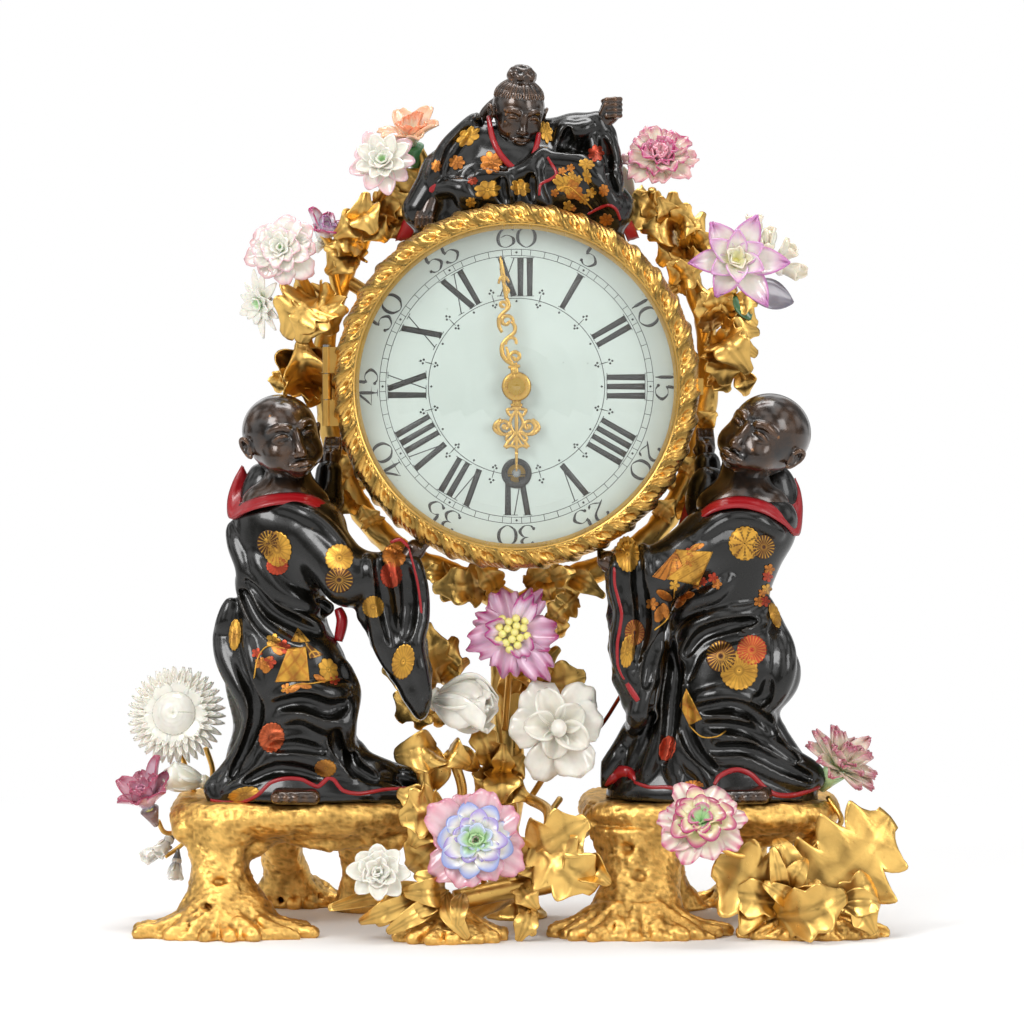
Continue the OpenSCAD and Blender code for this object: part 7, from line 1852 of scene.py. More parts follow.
def roundel(front, px, py, rx, ry, shade=bright, petals=16, lean=0, lines=0.35, scallop=0.05, start=0,
            sweep=360, net=False):
    """A chrysanthemum or a fan seen from the front: a disc with a scalloped edge and drawn petals."""
    r = np.linspace(0.03, 1, 11)[:, None]
    a = np.radians(np.linspace(start, start + sweep, 4 * petals + 1))[None]
    wave = np.cos(petals * a)
    out = r * (1 + scallop * np.where(wave > 0, wave**2 * 0.4, wave) * (r > 0.6))
    u, w = out * np.cos(a) * rx, out * np.sin(a) * ry
    c, s = math.cos(math.radians(lean)), math.sin(math.radians(lean))
    drawn = bright if lines < 0 else ground
    mark = (wave < -0.6) * abs(lines) * smooth_step(0.12, 0.3, r) + 0.4 * (np.abs(r - 0.22) < 0.05)
    mark = np.clip(mark, 0, 1)
    if net:
        mark = 0.85 * (np.sin(r * 16 + 0 * a) * np.sin(a * petals / 2 + math.pi * np.floor(r * 5.1)) > 0.35)
    tones = shade * (1 - mark[..., None]) + drawn * mark[..., None]
    drape(front, px + u * c - w * s, py + u * s + w * c, tones)


def panel(front, corners, shade=bright, cells=5, other=deep, fan=False):
    """A four-cornered picture with a trellis, or ribs that meet in its first corner."""
    a, b, c, d = (np.array(p, float) for p in corners)
    u, w = np.linspace(0, 1, 21)[:, None, None], np.linspace(0, 1, 21)[None, :, None]
    place = a * (1 - u) * (1 - w) + b * u * (1 - w) + c * u * w + d * (1 - u) * w
    uu, ww = u[..., 0] + 0 * w[..., 0], w[..., 0] + 0 * u[..., 0]
    if fan:
        mark = np.sin(np.arctan2(ww + 1e-6, uu + 1e-6) * 4 * cells) > 0.7
    else:
        mark = np.maximum(np.sin((uu + ww) * cells * math.pi), np.sin((uu - ww) * cells * math.pi)) > 0.8
    to_rim = np.minimum(np.minimum(uu, ww), np.minimum(1 - uu, 1 - ww))
    mark = np.where(to_rim < 0.04, 0.0, mark * 0.75)[..., None]
    drape(front, place[..., 0], place[..., 1], shade * (1 - mark) + other * mark)


def sprig(front, places, blooms, leaves):
    """A drawn twig with small five-petalled blossoms and leaves."""
    if len(places):
        path = front.lay(smooth_path(places, 4), -0.35)
        gold.add(*tube(path, 0.35, 6), tint=bright)
    for px, py, r, shade in blooms:
        roundel(front, px, py, r, r, shade, 5, 0, 0.6, 0.3)
    for px, py, rx, ry, lean in leaves:
        roundel(front, px, py, rx, ry, warm, 4, lean, 0.3, 0)


# the left robe: blossoms and fans, panels, sprigs
left_roundels = [
    (268, 543, 11, 13, ground * 1.5, 18, 0, -0.9),
    (277, 549, 14, 18, bright, 18, -10),
    (277, 566, 11, 9, vermilion, 16),
    (339, 580, 14, 13, ground * 1.6, 20, 0, -0.9),
    (339, 558, 14, 14, bright, 18),
    (391, 575, 11, 13, vermilion, 18),
    (394, 556, 12, 12, warm * 1.1, 16, 20),
    (373, 607, 11, 11, bright * 0.85, 20),
    (403, 662, 11, 18, bright * 0.95, 20, 12),
    (234.5, 635, 6, 16, bright * 0.85, 14, 4),
    (328.1, 670, 9, 12, bright, 8, -25, 0.35, 0.12),
    (271, 738, 13, 15, tint("#B5552F"), 18, 8),
    (325, 769, 11, 9, deep, 16),
    (243, 795, 16, 7, bright * 0.8, 14, -12)]
left_panels = [
    ([(274.6, 682.5), (287.5, 648.4), (305.7, 646.9), (309.4, 681.2)], bright, 4, warm),
    ([(297.5, 627.8), (290.8, 641.4), (300.7, 642.7), (309.4, 641.4)], bright, 3, ground, True),
    ([(304.5, 641.4), (309.4, 658.9), (316.9, 657.6), (323.1, 655.1)], tint("#5A3A22"), 3, bright)]
left_sprigs = [
    ([(253.5, 678.8), (257.2, 658.9), (267.1, 646.4), (284.6, 648.9)],
     [(272.9, 640.9, 7, bright), (282.6, 646.9, 7, vermilion), (260.2, 663.8, 6, warm),
      (269.6, 662.6, 6, vermilion), (256.4, 653.4, 5, vermilion)],
     [(267.1, 665.1, 5, 9, 20), (277.1, 648.9, 5, 8, -40)]),
    ([(280.8, 691.2), (294.5, 685), (311.9, 683.7), (338, 678.8)],
     [(285.8, 688.7, 5, warm), (334.3, 680, 5, vermilion)],
     [(294.5, 688.7, 3, 7, 60), (304.5, 686.2, 3, 7, 100), (319.4, 678.8, 3, 7, 120)])]
# the right robe: blossoms and fans, panels, sprigs
right_roundels = [
    (764, 547, 11, 12, ground * 2.2, 20, 0, -1.2),
    (745, 543.5, 16, 17, bright, 18, 0, 0.35, 0.05, 0, 360, True),
    (627.5, 554, 12, 18, bright * 0.95, 18, -5),
    (634.8, 632.7, 10, 13, tint("#7C3A22"), 22, 0, -0.8),
    (627.8, 651.4, 7, 17, bright * 0.9, 14, 8),
    (721.1, 656.4, 15, 16, ground * 1.5, 24, 0, -1.4),
    (752.2, 650.1, 15, 15, tint("#BC4630"), 24, 0, -0.7),
    (739.3, 670.8, 19, 19.5, bright * 0.9, 22),
    (667.6, 748.9, 8, 13, tint("#B5452C"), 10, 15),
    (775.3, 615.3, 5, 13, bright * 0.85, 12, -18),
    (693.2, 787.2, 11, 6, warm, 14, 0, 0.6, 0.05, 180, 180)]
right_panels = [
    ([(675.8, 549.4), (667.1, 579.3), (698.2, 585.5), (713.1, 551.9)], bright, 5, deep),
    ([(675.8, 550.6), (652.2, 576.8), (664.6, 580.5), (683.3, 565.6)], warm, 4, ground, True),
    ([(686.5, 688.7), (680, 706.1), (689.5, 726), (702.4, 719.8)], bright * 0.9, 3, warm)]
right_sprigs = [
    ([(654.7, 630.2), (667.1, 619.1), (673.3, 601.6), (674.6, 589.2)],
     [(652.2, 604.1, 6, warm), (674.6, 585.5, 5, bright), (697, 585.5, 4, warm),
      (703.2, 581.7, 4, vermilion), (713.1, 578, 5, vermilion), (716.9, 584.2, 5, warm)],
     [(664.6, 595.4, 4, 9, -60), (685.8, 595.4, 4, 9, 80), (659.7, 614.1, 5, 9, 20),
      (665.9, 611.6, 4, 9, -20), (680.8, 601.6, 4, 8, 40)]),
    ([(688.3, 551.9), (694.5, 546.9), (700.7, 543.2)],
     [(690.7, 551.9, 5, vermilion), (689.5, 561.8, 5, warm)],
     [(697, 546.9, 3, 8, 70)]),
    ([(689.5, 726), (701.9, 737.2), (716.9, 737.2), (726.3, 731.5)], [], []),
    ([], [(769.6, 569.3, 5, warm), (767.9, 576.8, 5, vermilion), (767.1, 589.2, 5, bright),
          (762.9, 592.9, 4, warm), (759.2, 601.6, 5, warm), (765.4, 601.6, 5, vermilion)], [])]
# the rider's robe: small blossoms (with their lean last) and sprigs
rider_blossoms = [
    (468.4, 137.3, 13, 8, bright, -35),
    (456.9, 163.1, 8, 7, warm * 1.1, 0),
    (491.3, 163.1, 11, 11, warm * 1.2, 0),
    (546.2, 132.8, 6, 11, bright, -12),
    (595.9, 153.9, 8, 8, vermilion * 1.1, 0),
    (586.4, 164.7, 8, 5, bright, 10),
    (487.5, 190.2, 13, 9, bright, -10),
    (472.8, 181.3, 5, 4, vermilion, 0),
    (520.7, 188.3, 10, 8, bright, 20),
    (565.3, 185.8, 14, 8, bright, 35),
    (603.6, 190.9, 5, 6, warm, 0),
    (606.1, 220.2, 7, 6, warm, 0),
    (470.9, 203, 5, 5, bright, 0),
    (436.5, 166.6, 5, 6, warm, 0),
    (587, 176.8, 4, 8, bright * 0.8, -15)]
rider_sprigs = [
    ([(562.8, 174.3), (571.7, 179.4), (578.1, 181.9)],
     [(562.1, 171.7, 4, warm), (570.4, 168.5, 4, warm), (571.7, 176.2, 4, bright), (578.1, 180, 4, bright)],
     []),
    ([(555.1, 192.1), (567.9, 187), (583.2, 199.8), (592.1, 209.7)],
     [(554.5, 193.4, 4, warm), (567.9, 206.2, 5, bright), (573, 208.7, 3, warm),
      (583.8, 199.8, 5, bright), (590.8, 193.4, 5, bright)],
     [(569.1, 185.8, 6, 11, 70), (574.2, 193.4, 5, 9, 60), (579.3, 197.2, 4, 8, 110)])]
for front, roundels, panels, sprigs in ((left_front, left_roundels, left_panels, left_sprigs),
                                        (right_front, right_roundels, right_panels, right_sprigs)):
    for row in roundels:
        roundel(front, *row)
    for row in panels:
        panel(front, *row)
    for row in sprigs:
        sprig(front, *row)
for px, py, rx, ry, shade, lean in rider_blossoms:
    roundel(rider_front, px, py, rx, ry, shade, 7, lean, 0.5, 0.2)
for row in rider_sprigs:
    sprig(rider_front, *row)
gold.piece("robe_gold_pictures", gold_lacquer, "lacquered_bronze")

# %% [markdown]
# ## Heads, hands and feet
# The faces are calm and follow the drawing book: eyes halfway between crown and chin, the
# nose ending halfway from there to the chin, ears between brow and nose, five eye widths
# across. One function models it in dark wax, and each head is then turned into its place.

# %% A head by the drawing book
def head(centre, size, facing, up, hair=False):
    """Size is half the height from chin to crown. The face looks along a direction."""
    wax = Wax((-1.15 * size, -1.32 * size, -1.25 * size), (1.15 * size, 1.3 * size, 1.6 * size), size / 36)
    s = size

    def ball(c, r, k, cut=False, side=1):
        wax.ball(vec(side, 1, 1) * c * s, vec(*r) * s, k * s, cut=cut)

    def line(rows, r, k, cut=False, side=1):
        wax.ridge(smooth_path(vec(side, 1, 1) * rows * s, 4), r * s, k * s, cut)

    ball((0, 0.12, 0.15), (0.86, 0.98, 0.85), 0.2)
    ball((0, -0.18, -0.3), (0.7, 0.72, 0.7), 0.25)
    for side in (-1, 1):
        ball((0.37, -0.5, -0.42), (0.34, 0.36, 0.34), 0.2, side=side)
        ball((0.2, -0.99, 0.04), (0.1, 0.16, 0.08), 0.1, cut=True, side=side)
    ball((0, -0.7, -0.84), (0.22, 0.16, 0.14), 0.2)
    ball((0, -0.78, -0.68), (0.36, 0.2, 0.17), 0.15)
    for side in (-1, 1):
        line([(0.56, -0.62, 0.2), (0.4, -0.765, 0.265), (0.26, -0.83, 0.25), (0.14, -0.85, 0.19)],
             0.03, 0.1, side=side)
        ball((0.34, -0.69, -0.01), (0.16, 0.15, 0.135), 0.03, side=side)
        line([(0.52, -0.7, -0.03), (0.44, -0.8, 0.04), (0.34, -0.85, 0.06), (0.24, -0.835, 0.035),
              (0.16, -0.79, -0.04)], 0.03, 0.03, side=side)
        line([(0.52, -0.7, -0.04), (0.43, -0.79, -0.085), (0.33, -0.82, -0.1), (0.23, -0.81, -0.08),
              (0.16, -0.785, -0.045)], 0.022, 0.03, side=side)
    line([(0, -0.83, 0.14), (0, -0.87, -0.1), (0, -0.97, -0.34), (0, -0.99, -0.4)], 0.07, 0.1)
    ball((0, -0.995, -0.41), (0.11, 0.1, 0.09), 0.06)
    for side in (-1, 1):
        ball((0.12, -0.92, -0.435), (0.07, 0.085, 0.062), 0.05, side=side)
        ball((0.055, -1.0, -0.51), (0.024, 0.03, 0.02), 0.02, cut=True, side=side)
    line([(-0.26, -0.9, -0.69), (-0.1, -1.0, -0.655), (0, -0.995, -0.668), (0.1, -1.0, -0.655),
          (0.26, -0.9, -0.69)], 0.045, 0.07)
    line([(-0.2, -0.9, -0.745), (0, -0.98, -0.775), (0.2, -0.9, -0.745)], 0.052, 0.07)
    line([(-0.3, -0.92, -0.685), (-0.1, -1.03, -0.713), (0, -1.04, -0.72), (0.1, -1.03, -0.713),
          (0.3, -0.92, -0.685)], 0.014, 0.02, cut=True)
    for side in (-1, 1):
        ball((0.86, 0.06, -0.1), (0.075, 0.17, 0.24), 0.06, side=side)
        line([(0.9, -0.06, 0.02), (0.95, 0.02, 0.13), (0.98, 0.16, 0.1), (0.96, 0.2, -0.06),
              (0.91, 0.08, -0.26), (0.88, -0.04, -0.32)], 0.042, 0.035, side=side)
        ball((0.97, 0.03, -0.06), (0.06, 0.09, 0.13), 0.03, cut=True, side=side)
    if hair:
        crown, fit = vec(0, 0.13, 0.16), vec(0.88, 1.0, 0.88)
        for j in range(54):
            a = 2 * math.pi * j / 54
            root = vec(0.82 * math.cos(a), 0.18 + 0.86 * math.sin(a), 0.42 - 0.2 * math.sin(a)) - crown
            end = vec(0.3 * math.cos(a), 0.25 + 0.3 * math.sin(a), 1.04) - crown
            strand = [root * (1 - t) + end * t for t in np.linspace(0, 1, 5)]
            strand = np.array([crown + d / np.linalg.norm(d / fit) for d in strand])
            strand = smooth_path(strand * s, 3)
            fine = np.minimum(1, np.linspace(0.3, 2.6, len(strand)))
            wax.ridge(strand, (0.046 + 0.014 * math.sin(j * 2.4)) * s * fine, 0.02 * s)
        ball((0, 0.25, 1.12), (0.5, 0.46, 0.27), 0.06)
        b = np.linspace(0, 2 * math.pi, 17)
        loop = np.stack([0.42 * np.cos(b), 0.2 * np.sin(b), 0.17 - 0.1 * np.cos(2 * b)], -1)
        for tilt in (10, 70, 130):
            wax.ridge((loop @ turn((0, 0, 1), tilt).T + vec(0, 0.25, 1.12)) * s, 0.075 * s, 0.07 * s)
        line([(-0.6, 0.75, 0.0), (-0.85, 0.95, -0.5), (-0.8, 1.0, -1.0)], 0.2, 0.1)
    forward = unit(facing)
    back = -forward
    up = unit(np.asarray(up, float) - (np.asarray(up, float) @ back) * back)
    axes = np.stack([np.cross(back, up), back, up], 1)
    parts = Gather()
    points = wax.skin(parts) @ axes.T + centre
    parts.points = [points]
    print("head", np.round(points.min(0), 1), np.round(points.max(0), 1))
    return parts


def hand(wax, wrist, knuckles, r, curl=(0, 0.5, 1.0), side=(1, 0, 0), spread=0.5):
    """A palm with four fingers that bend along a direction, and a thumb."""
    wrist, knuckles, curl, side = (np.asarray(v, float) for v in (wrist, knuckles, curl, side))
    ahead = unit(knuckles - wrist)
    wax.limb(wrist, knuckles, r * 0.85, r, 1.5)
    for i in (-1.5, -0.5, 0.5, 1.5):
        a = knuckles + side * i * r * spread
        b = a + ahead * r * 0.9 + unit(curl) * r * 0.3
        c = b + ahead * r * 0.3 + unit(curl) * r * 0.9
        wax.ridge([a, b, c], [r * 0.36, r * 0.33, r * 0.27], 0.5)
    base = wrist + (knuckles - wrist) * 0.4 - side * r * 0.8
    wax.ridge([base, base + ahead * r * 0.9 - side * r * 0.35, base + ahead * r * 1.6],
              [r * 0.38, r * 0.34, r * 0.27], 0.8)


def foot(wax, heel, toes, r, spread):
    """A broad short foot whose toes lie side by side."""
    heel, toes, spread = (np.asarray(v, float) for v in (heel, toes, spread))
    for k in (-0.4, -0.2, 0, 0.2, 0.4):
        wax.limb(heel + spread * k * 0.8, toes + spread * k, r * 1.1, r * 0.75, 2.5)
    ahead = unit(toes - heel)
    for i in range(5):
        tip = toes + spread * (i - 2) * 0.215 + ahead * r * (0.55 - 0.1 * abs(i - 1))
        wax.limb(tip - ahead * r, tip, r * 0.55, r * (0.6 if i == 0 else 0.5), 0.4)


# %% The three heads in place
left_parts = head((-104.8, -25.5, 219.4), 19.2, (0.42, -0.9, 0.03), (-0.2, 0, 1))
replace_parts(left_parts.piece("left_head_bronze", dark_bronze, "dark_bronze"), "left_head")
right_parts = head((111.5, -25.5, 219.5), 20.2, (-0.53, -0.82, 0.2), (0.6, 0.15, 0.78))
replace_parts(right_parts.piece("right_head_bronze", dark_bronze, "dark_bronze"), "right_head")
rider_parts = head((0.9, -20.5, 365.2), 13.6, (0.2, -0.92, -0.38), (0.03, 0.1, 1), hair=True)
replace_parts(rider_parts.piece("rider_head_bronze", dark_bronze, "dark_bronze"), "rider_head")

# %% Necks, hands and feet
def bronze_piece(wax, name):
    """The skin of a wax as a piece in dark bronze."""
    gather = Gather()
    wax.skin(gather)
    return gather.piece(name, dark_bronze, "dark_bronze")


body = Wax((-150, -66, 56), (-36, 8, 232), 0.8)
body.ball((-103.5, -23, 189), (20, 13.5, 13), 4)
body.limb((-102, -21, 196), (-103, -20, 206), 11, 10, 5)
hand(body, (-50, -46, 163), (-45, -45, 169.5), 4.8, (0.8, 0.2, 0.4), (0.5, -0.6, -0.2))
hand(body, (-85, -5, 203), (-84, -3, 210), 4.0, (0, 0.6, 0.8))
foot(body, (-98, -44, 61.2), (-97.6, -55, 60.4), 4.2, (20, 0, 0))
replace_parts(bronze_piece(body, "left_limbs_bronze"), "left_limbs")
body = Wax((36, -66, 56), (150, 8, 236), 0.8)
body.ball((101.5, -23, 189), (21, 13.5, 12), 4)
body.limb((101, -21, 194), (103, -20, 205), 12, 11, 5)
hand(body, (47, -46, 160), (40.5, -45, 164.5), 4.8, (-0.8, 0.2, 0.3), (-0.3, -0.6, -0.4))
hand(body, (86.5, -5, 207), (86, -3, 214), 4.0, (0, 0.6, 0.8))
foot(body, (104, -42, 61.5), (100, -54, 60.4), 4.4, (22, 3, 0))
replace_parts(bronze_piece(body, "right_limbs_bronze"), "right_limbs")
body = Wax((-54, -42, 308), (56, 4, 376), 0.6)
body.ball((0.8, -19, 346), (10, 10.5, 12), 4)
body.limb((0.8, -17, 350), (0.8, -17, 357), 7.5, 7, 3)
body.limb((35, -19, 358), (40.5, -20, 363), 4.2, 4.4, 2)
body.ball((42.6, -20.5, 366), (4.6, 4.4, 5.2), 2)
for i, z in enumerate((370.2, 367.8, 365.4, 363.0)):
    body.ridge([(38.8, -21.5, z - 0.4), (40.5, -24.2, z), (44, -24.4, z + 0.2), (46.4, -21.5, z + 0.4),
                (45.8, -17.5, z + 0.3)], 1.15, 0.5)
body.ridge([(39, -20, 361.5), (38.4, -23, 364.5), (40, -24.6, 368)], 1.25, 0.5)
body.limb((-38, -26, 325), (-40.5, -27.5, 318), 4.4, 4.2, 2)
for i in range(4):
    body.ridge([(-43.6 + 2.1 * i, -29, 320.5), (-44.2 + 2.1 * i, -31.5, 317),
                (-44.4 + 2.1 * i, -31.6, 313.5)], 1.15, 0.5)
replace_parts(bronze_piece(body, "rider_limbs_bronze"), "rider_limbs")

# %% The black linings that stand up behind the necks
body = Wax((-132, -30, 172), (-92, 6, 214), 0.8)
body.ball((-112, -13, 192), (12, 9, 16), 2)
body.limb((-121, -13, 186), (-117, -9, 203), 5, 3.5, 4)
linings = Gather()
body.skin(linings)
body = Wax((70, -32, 168), (136, 6, 214), 0.8)
body.ball((86, -13, 188), (10, 8, 18), 2)
body.ball((117, -12, 191), (10.5, 8, 16), 2)
body.limb((88, -10, 196), (114, -8, 198), 7, 7, 6)
body.skin(linings)
linings.piece("collar_linings", black_lacquer, "lacquered_bronze")

# %% [markdown]
# ## The lower flowers
# The same petals serve the flowers between and beside the figures. The star flower's
# yellow stamens are one bead set in a spiral by the tree.

# %% Low on the left
low_left = Gather()
slate, crimson, shell, mist = tint("#7F86A0"), tint("#A33A5A"), tint("#D7D3CC"), tint("#B9BFD6")
flower(low_left, (-165, -25, 52), (-0.35, -0.5, 1), [
    ring(6, 19, 11, 46, 14, 0.55, (mist, tint("#E0AFBC"), crimson), ruffle=0.35, point=0.1, rim_at=0.66),
    ring(5, 16, 9, 64, 10, 0.6, (mist, tint("#DDB6C6"), crimson), ruffle=0.3, point=0.1, rim_at=0.66),
    ring(3, 12, 8, 80, 0, 0.7, (slate, slate, tint("#B56A86")), ruffle=0.3)],
    heart=(2.0, lemon), calyx=(4.4, 9, tint("#8B6E6A")))
petal(low_left, aim((-0.3, -0.4, 1)), vec(-163, -22, 55), 60, 22, 11, 70, 14, 0.5,
      (slate, tint("#D7B3C2"), crimson), point=0.2, rim_at=0.7)
flower(low_left, (-141, -20, 64), (-1, -0.35, 0.2), [
    ring(4, 17, 11, 80, 12, 0.8, (ivory, cream, milk), start=1.5),
    ring(3, 14, 8, 86, 6, 0.9, (cream, cream, milk), start=1.0)],
    heart=(3.2, cream), calyx=(3.4, 6, tint("#B9A77C")))
for x, y, z, dx, dz, r in ((-158, -2, 36, -0.5, -0.6, 4.2), (-155, 2, 26, -0.1, -1, 4.0),
                           (-162, 4, 30, -0.9, -0.3, 3.6)):
    flower(low_left, (x, y, z), (dx, -0.4, dz), [
        ring(4, 9, 6.4, 76, 16, 0.9, (tint("#8E97A6"), shell, milk), start=1.0)],
        heart=(r * 0.6, shell), calyx=(2.2, 5, tint("#6E747C")))
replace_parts(low_left.piece("flowers_low_left_petals", porcelain, "porcelain"), "flowers_low_left")

# %% The star flower
star = Gather()
star_axes, star_place = aim((-0.03, -1, 0.12)), vec(-2, -35, 132)
pinks = (tint("#E4CBE2"), tint("#E6BFD6"), tint("#A6246E"))
flower(star, star_place, star_axes[:, 2], [
    ring(7, 20.5, 14, 12, 4, 0.25, pinks, point=-0.1, ruffle=1.3, stripe=0.45, rim_at=0.78,
         columns=15, rows=15),
    ring(3, 15, 11, 30, 10, 0.5, (lemon, tint("#EBD2E2"), tint("#B8408A")), point=-0.1, ruffle=1.3,
         rim_at=0.8, columns=15)],
    heart=(4.6, straw), calyx=(4.2, 9, tint("#A98BA6")), jitter=1.4)
stamen = Gather()
bead(stamen, vec(0, 0, 0), (1.95, 1.95, 2.2), lemon)
stamen.add(*tube([(0, 0, -4), (0, 0, -2), (0, 0, 0)], 0.5, 8, up=(0, 1, 0.1)), straw)
# the turn from seed to seed in a seed head, in radians
golden_turn = 2.39996
spread_out(star, stamen, porcelain, 18, golden_turn, radius=8.2, power=0.5, dome=2.2, wobble=0.25, seed=4,
           axes=star_axes, centre=star_place + star_axes[:, 2] * 4.2)
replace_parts(star.piece("star_flower_petals", porcelain, "porcelain"), "star_flower")

# %% White flowers of the centre
white_centre = Gather()
flower(white_centre, (-36, -30, 102), (0.86, -0.52, -0.06), [
    ring(3, 28, 27, 72, -16, 0.62, white, ruffle=0.25, start=2.0, rows=13, columns=13, thick=1.1),
    ring(3, 26, 20, 74, -22, 0.7, white, ruffle=0.5, start=1.0, rows=13, columns=13, thick=1.1)],
    heart=(3.4, milk), calyx=(5.5, 5, milk), jitter=1.3)
flower(white_centre, (18, -38, 90), (0.06, -1, 0.15), [
    ring(6, 23, 17, 14, 30, -0.12, white, ruffle=0.35, point=-0.1, rows=13, columns=13, thick=1.5),
    ring(5, 15.5, 12.5, 40, 30, 1.2, white, ruffle=0.1, rows=13, columns=13, thick=1.3, start=2.5)],
    heart=(4.5, milk), calyx=(5, 8, ivory), jitter=1.5)
bead(white_centre, (18.8, -47, 90.5), (3.6, 4.6, 4.2), milk, sides=20, rings=13)
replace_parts(white_centre.piece("flowers_white_centre_petals", porcelain, "porcelain"),
            "flowers_white_centre")

# %% The ranunculus in front
front_bloom = Gather()
patches = dict(point=-0.1, rim_at=0.7, sides=0.0, columns=11, rows=13, thick=0.9)
outer_ring = dict(point=-0.1, rim_at=0.84, columns=13)
flower(front_bloom, (-18, -80, 44), (0.03, -1, 0.22), [
    ring(10, 22, 15, 0, 4, 0.1, (milk, tint("#EFC9CE"), tint("#D97F98")), ruffle=0.5, stripe=0.35,
         **outer_ring),
    ring(9, 18, 10, 34, 50, 0.3, (milk, milk, tint("#8E9EDC")), **patches),
    ring(9, 15, 8, 52, 58, 0.35, (pale_green, milk, tint("#A08CD2")), **patches),
    ring(7, 11, 6.4, 66, 56, 0.4, (leaf_green, pale_green, tint("#C6D2EC")), **patches),
    ring(7, 8, 5.2, 64, -6, 0.5, (leaf_green, pale_green, pale_green)),
    ring(6, 5.4, 4.0, 72, 0, 0.5, (leaf_green, pale_green, blush))],
    heart=(2.2, tint("#E7B9B0")), calyx=(5, 9, pale_green), jitter=1.2)
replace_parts(front_bloom.piece("ranunculus_front_petals", porcelain, "porcelain"), "ranunculus_front")

# %% Flowers in front and beside
front_side = Gather()
flower(front_side, (-60, -80, 30), (-0.05, -1, 0.3), [
    ring(8, 13, 8.4, 6, -6, 0.5, white),
    ring(6, 10, 8.0, 24, -8, 0.55, white, point=-1, ruffle=0.5),
    ring(5, 7.5, 6.4, 46, 0, 0.5, white, point=-1, ruffle=0.5),
    ring(4, 5, 4.6, 68, 0, 0.6, white, point=-1, ruffle=0.4)],
    heart=(1.6, pale_green), calyx=(3.4, 6, ivory))
to_magenta, to_wine = (lemon, tint("#F3EBBC"), tint("#B4306C")), (lemon, cream, tint("#A63A5C"))
flower(front_side, (80, -88, 52), (-0.02, -0.8, 0.72), [
    ring(10, 20.5, 13, 2, 6, 0.2, (lemon, tint("#F6EEDC"), tint("#CC4A7C")), ruffle=0.35, stripe=0.5,
         **outer_ring),
    ring(9, 16.5, 9, 34, 48, 0.35, to_magenta, **patches),
    ring(8, 13, 7, 52, 54, 0.4, to_magenta, **patches),
    ring(6, 9, 5.6, 66, 44, 0.4, (leaf_green, pale_green, tint("#C86A90")), **patches)],
    heart=(2, lemon), calyx=(5, 10, leaf_green), jitter=1.2)
carved = dict(point=0.3, ruffle=0.6, stripe=0.15, rim_at=0.7, sides=0.5, columns=13)
flower(front_side, (143, -38, 72), (0.5, -0.55, 0.8), [
    ring(10, 19, 9.5, 24, 10, 0.35, (pale_green, cream, tint("#B04A66")), **carved),
    ring(9, 17, 8.5, 42, 8, 0.4, to_wine, **carved),
    ring(7, 15, 7.5, 58, 6, 0.4, to_wine, **carved),
    ring(5, 12.5, 6.5, 74, 0, 0.4, to_wine, **carved)],
    heart=(2, lemon), calyx=(6.2, 14, pale_green * 0.9), jitter=1.2)
for lean_to in (200, 250, 300):
    petal(front_side, aim((0.3, -0.62, 0.85)), vec(143, -36, 66), lean_to, 10, 5, 60, 30, 0.4,
          (pale_green * 0.9, pale_green, pale_green), point=0.8)
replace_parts(front_side.piece("flowers_front_petals", porcelain, "porcelain"), "flowers_front")

# %% Stems
wires = Gather()
gilt_stems = (([(205, 748, -8), (212, 772, -6), (208, 798, -4)], 1.3),
              ([(176, 742, -8), (184, 765, -2), (196, 800, 0)], 1.2),
              ([(157, 822, -20), (165, 834, -12), (186, 832, 0)], 1.1),
              ([(164, 858, 4), (176, 850, 6), (190, 838, 6)], 1.0),
              ([(510, 660, -26), (508, 690, -12), (505, 730, -4)], 1.5),
              ([(470, 722, -20), (480, 745, -10), (494, 775, -6)], 1.3),
              ([(556, 744, -30), (548, 770, -18), (530, 800, -12)], 1.4),
              ([(476, 862, -70), (484, 884, -62), (498, 892, -60)], 1.4),
              ([(382, 884, -70), (402, 896, -68), (432, 902, -70)], 1.2),
              ([(712, 845, -76), (735, 856, -74), (755, 860, -72), (779, 878, -70), (792, 902, -68)], 1.2),
              ([(829, 798, -36), (842, 823, -44), (818, 845, -54), (802, 875, -60), (800, 903, -64)], 1.3))
brown_stems = (([(628, 684, -22), (616, 704, -24), (603, 724, -28), (588, 740, -34)], 0.9),
               ([(700, 500, -4), (694, 515, -2), (688, 532, 0)], 0.9))
for stems, shade in ((gilt_stems, (0.9, 0.82, 0.66)), (brown_stems, tint("#6A2A1E"))):
    for way, r in stems:
        wires.add(*tube(smooth_path(at(way), 8), r, 10, up=(0.2, 1, 0.1)), shade)
wires.piece("flower_stems", gilt_leaf, "gilt_bronze")
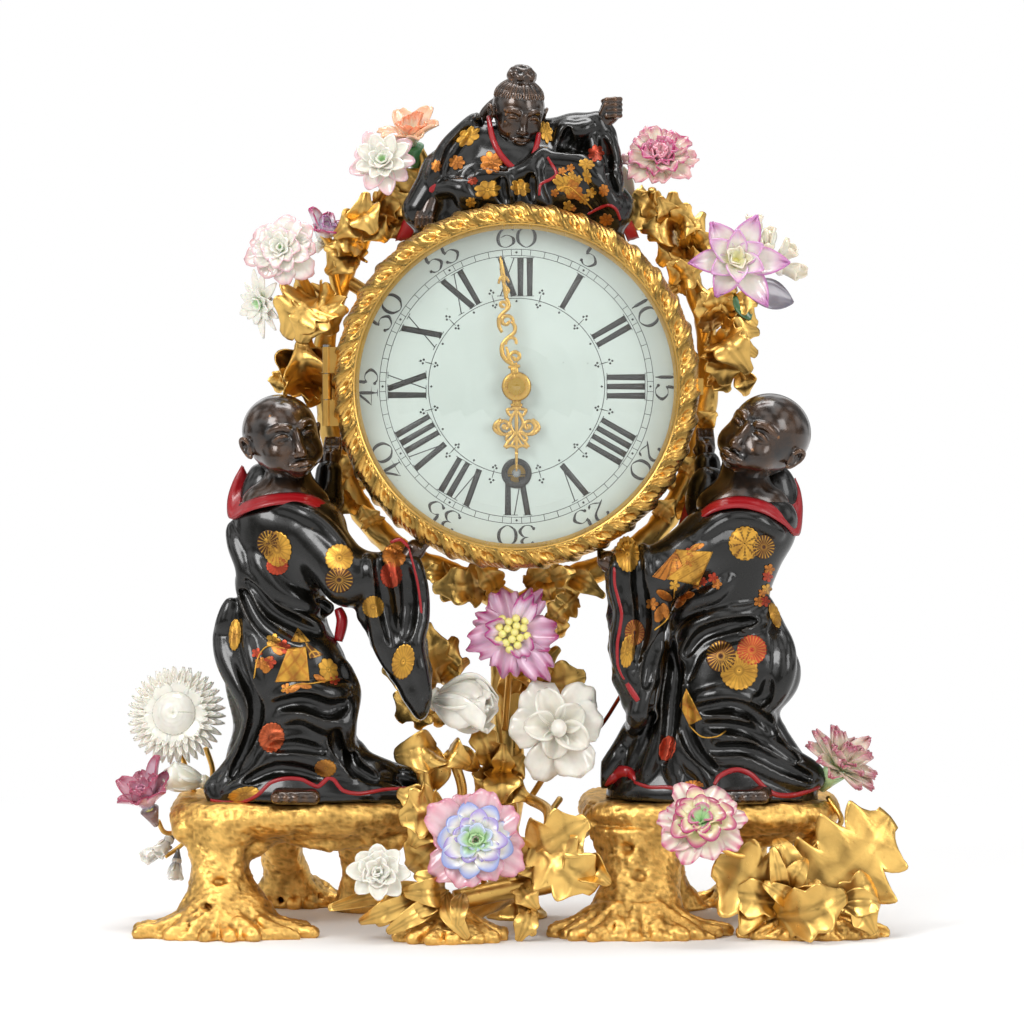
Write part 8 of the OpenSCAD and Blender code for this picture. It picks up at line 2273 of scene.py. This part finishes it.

# %% [markdown]
# ## Floor and light
# A pale floor takes the clock's shadow. The lamps are large and soft, as in a studio where
# polished metal is photographed, and the world is white to the camera. As light it is
# dimmer, and in reflections it is darker from below and broken into bright and dark
# patches, so that lacquer stays black and shadows between the castings stay deep. The
# floor fades into the white far off.

# %% Floor
floor_mesh = bpy.data.meshes.new("floor")
floor_mesh.from_pydata([(-3, -3, 0), (3, -3, 0), (3, 3, 0), (-3, 3, 0)], [], [(0, 1, 2, 3)])
floor = bpy.data.objects.new("floor", floor_mesh)
scene.collection.objects.link(floor)
pale, tree, shader, place = finish("pale paper, floor", Roughness=0.9)
shader.inputs["Base Color"].default_value = colour("#F4F4F4")
paper = clouds(tree, place, 700, 2)
bump = add(tree, "ShaderNodeBump", {"Height": paper, "Strength": 0.1, "Distance": 0.1 * MM})
tree.links.new(bump.outputs[0], shader.inputs["Normal"])
away = add(tree, "ShaderNodeVectorMath", {0: place}, operation="LENGTH").outputs["Value"]
fade = spread_over(tree, away, 0.24, 0.6, interpolation_type="SMOOTHSTEP")
glow = add(tree, "ShaderNodeEmission", {"Color": colour("#FFFFFF"), "Strength": 1.0}).outputs[0]
blend = add(tree, "ShaderNodeMixShader", {0: fade, 1: shader.outputs[0], 2: glow}).outputs[0]
tree.links.new(blend, tree.nodes["Material Output"].inputs["Surface"])
floor_mesh.materials.append(pale)

# %% World
world = bpy.data.worlds.new("studio")
world.use_nodes = True
scene.world = world
tree = world.node_tree
path = add(tree, "ShaderNodeLightPath").outputs
way = add(tree, "ShaderNodeTexCoord").outputs["Generated"]
parts = add(tree, "ShaderNodeSeparateXYZ", {0: way}).outputs
above = spread_over(tree, parts[2], -0.3, 0.9, 0.35, 1.0, interpolation_type="SMOOTHSTEP")
windows = spread_over(tree, clouds(tree, way, 2.6, 1), 0.4, 0.62, 0.25, 1.9,
                      interpolation_type="SMOOTHSTEP")
room = maths(tree, "MULTIPLY", above, windows)
in_view = maths(tree, "MAXIMUM", path["Is Camera Ray"], path["Is Transmission Ray"])
dim = add(tree, "ShaderNodeMix", {0: path["Is Glossy Ray"], 2: 0.6, 3: room}, data_type="FLOAT").outputs[0]
strength = add(tree, "ShaderNodeMix", {0: in_view, 2: dim, 3: 1.0}, data_type="FLOAT").outputs[0]
tree.links.new(strength, tree.nodes["Background"].inputs["Strength"])
tree.nodes["Background"].inputs["Color"].default_value = colour("#FFFFFF")

# %% Lamps
def softbox(name, place, target, size, power):
    """A soft lamp that looks at a place; metres and watts."""
    lamp = bpy.data.lights.new(name, "AREA")
    lamp.shape, lamp.size, lamp.size_y, lamp.energy = "RECTANGLE", *size, power
    lamp_object = bpy.data.objects.new(name, lamp)
    scene.collection.objects.link(lamp_object)
    lamp_object.location = place
    lamp_object.rotation_euler = (Vector(target) - Vector(place)).to_track_quat("-Z", "Y").to_euler()


softbox("key", (-1.1, -1.3, 1.3), (0, 0, 0.2), (0.7, 0.7), 16)
softbox("fill", (1.3, -1.2, 0.8), (0, 0, 0.2), (0.6, 0.9), 9)
softbox("top", (0, 0.2, 1.7), (0, 0, 0.2), (0.9, 0.6), 14)
scene.view_settings.view_transform = "Standard"
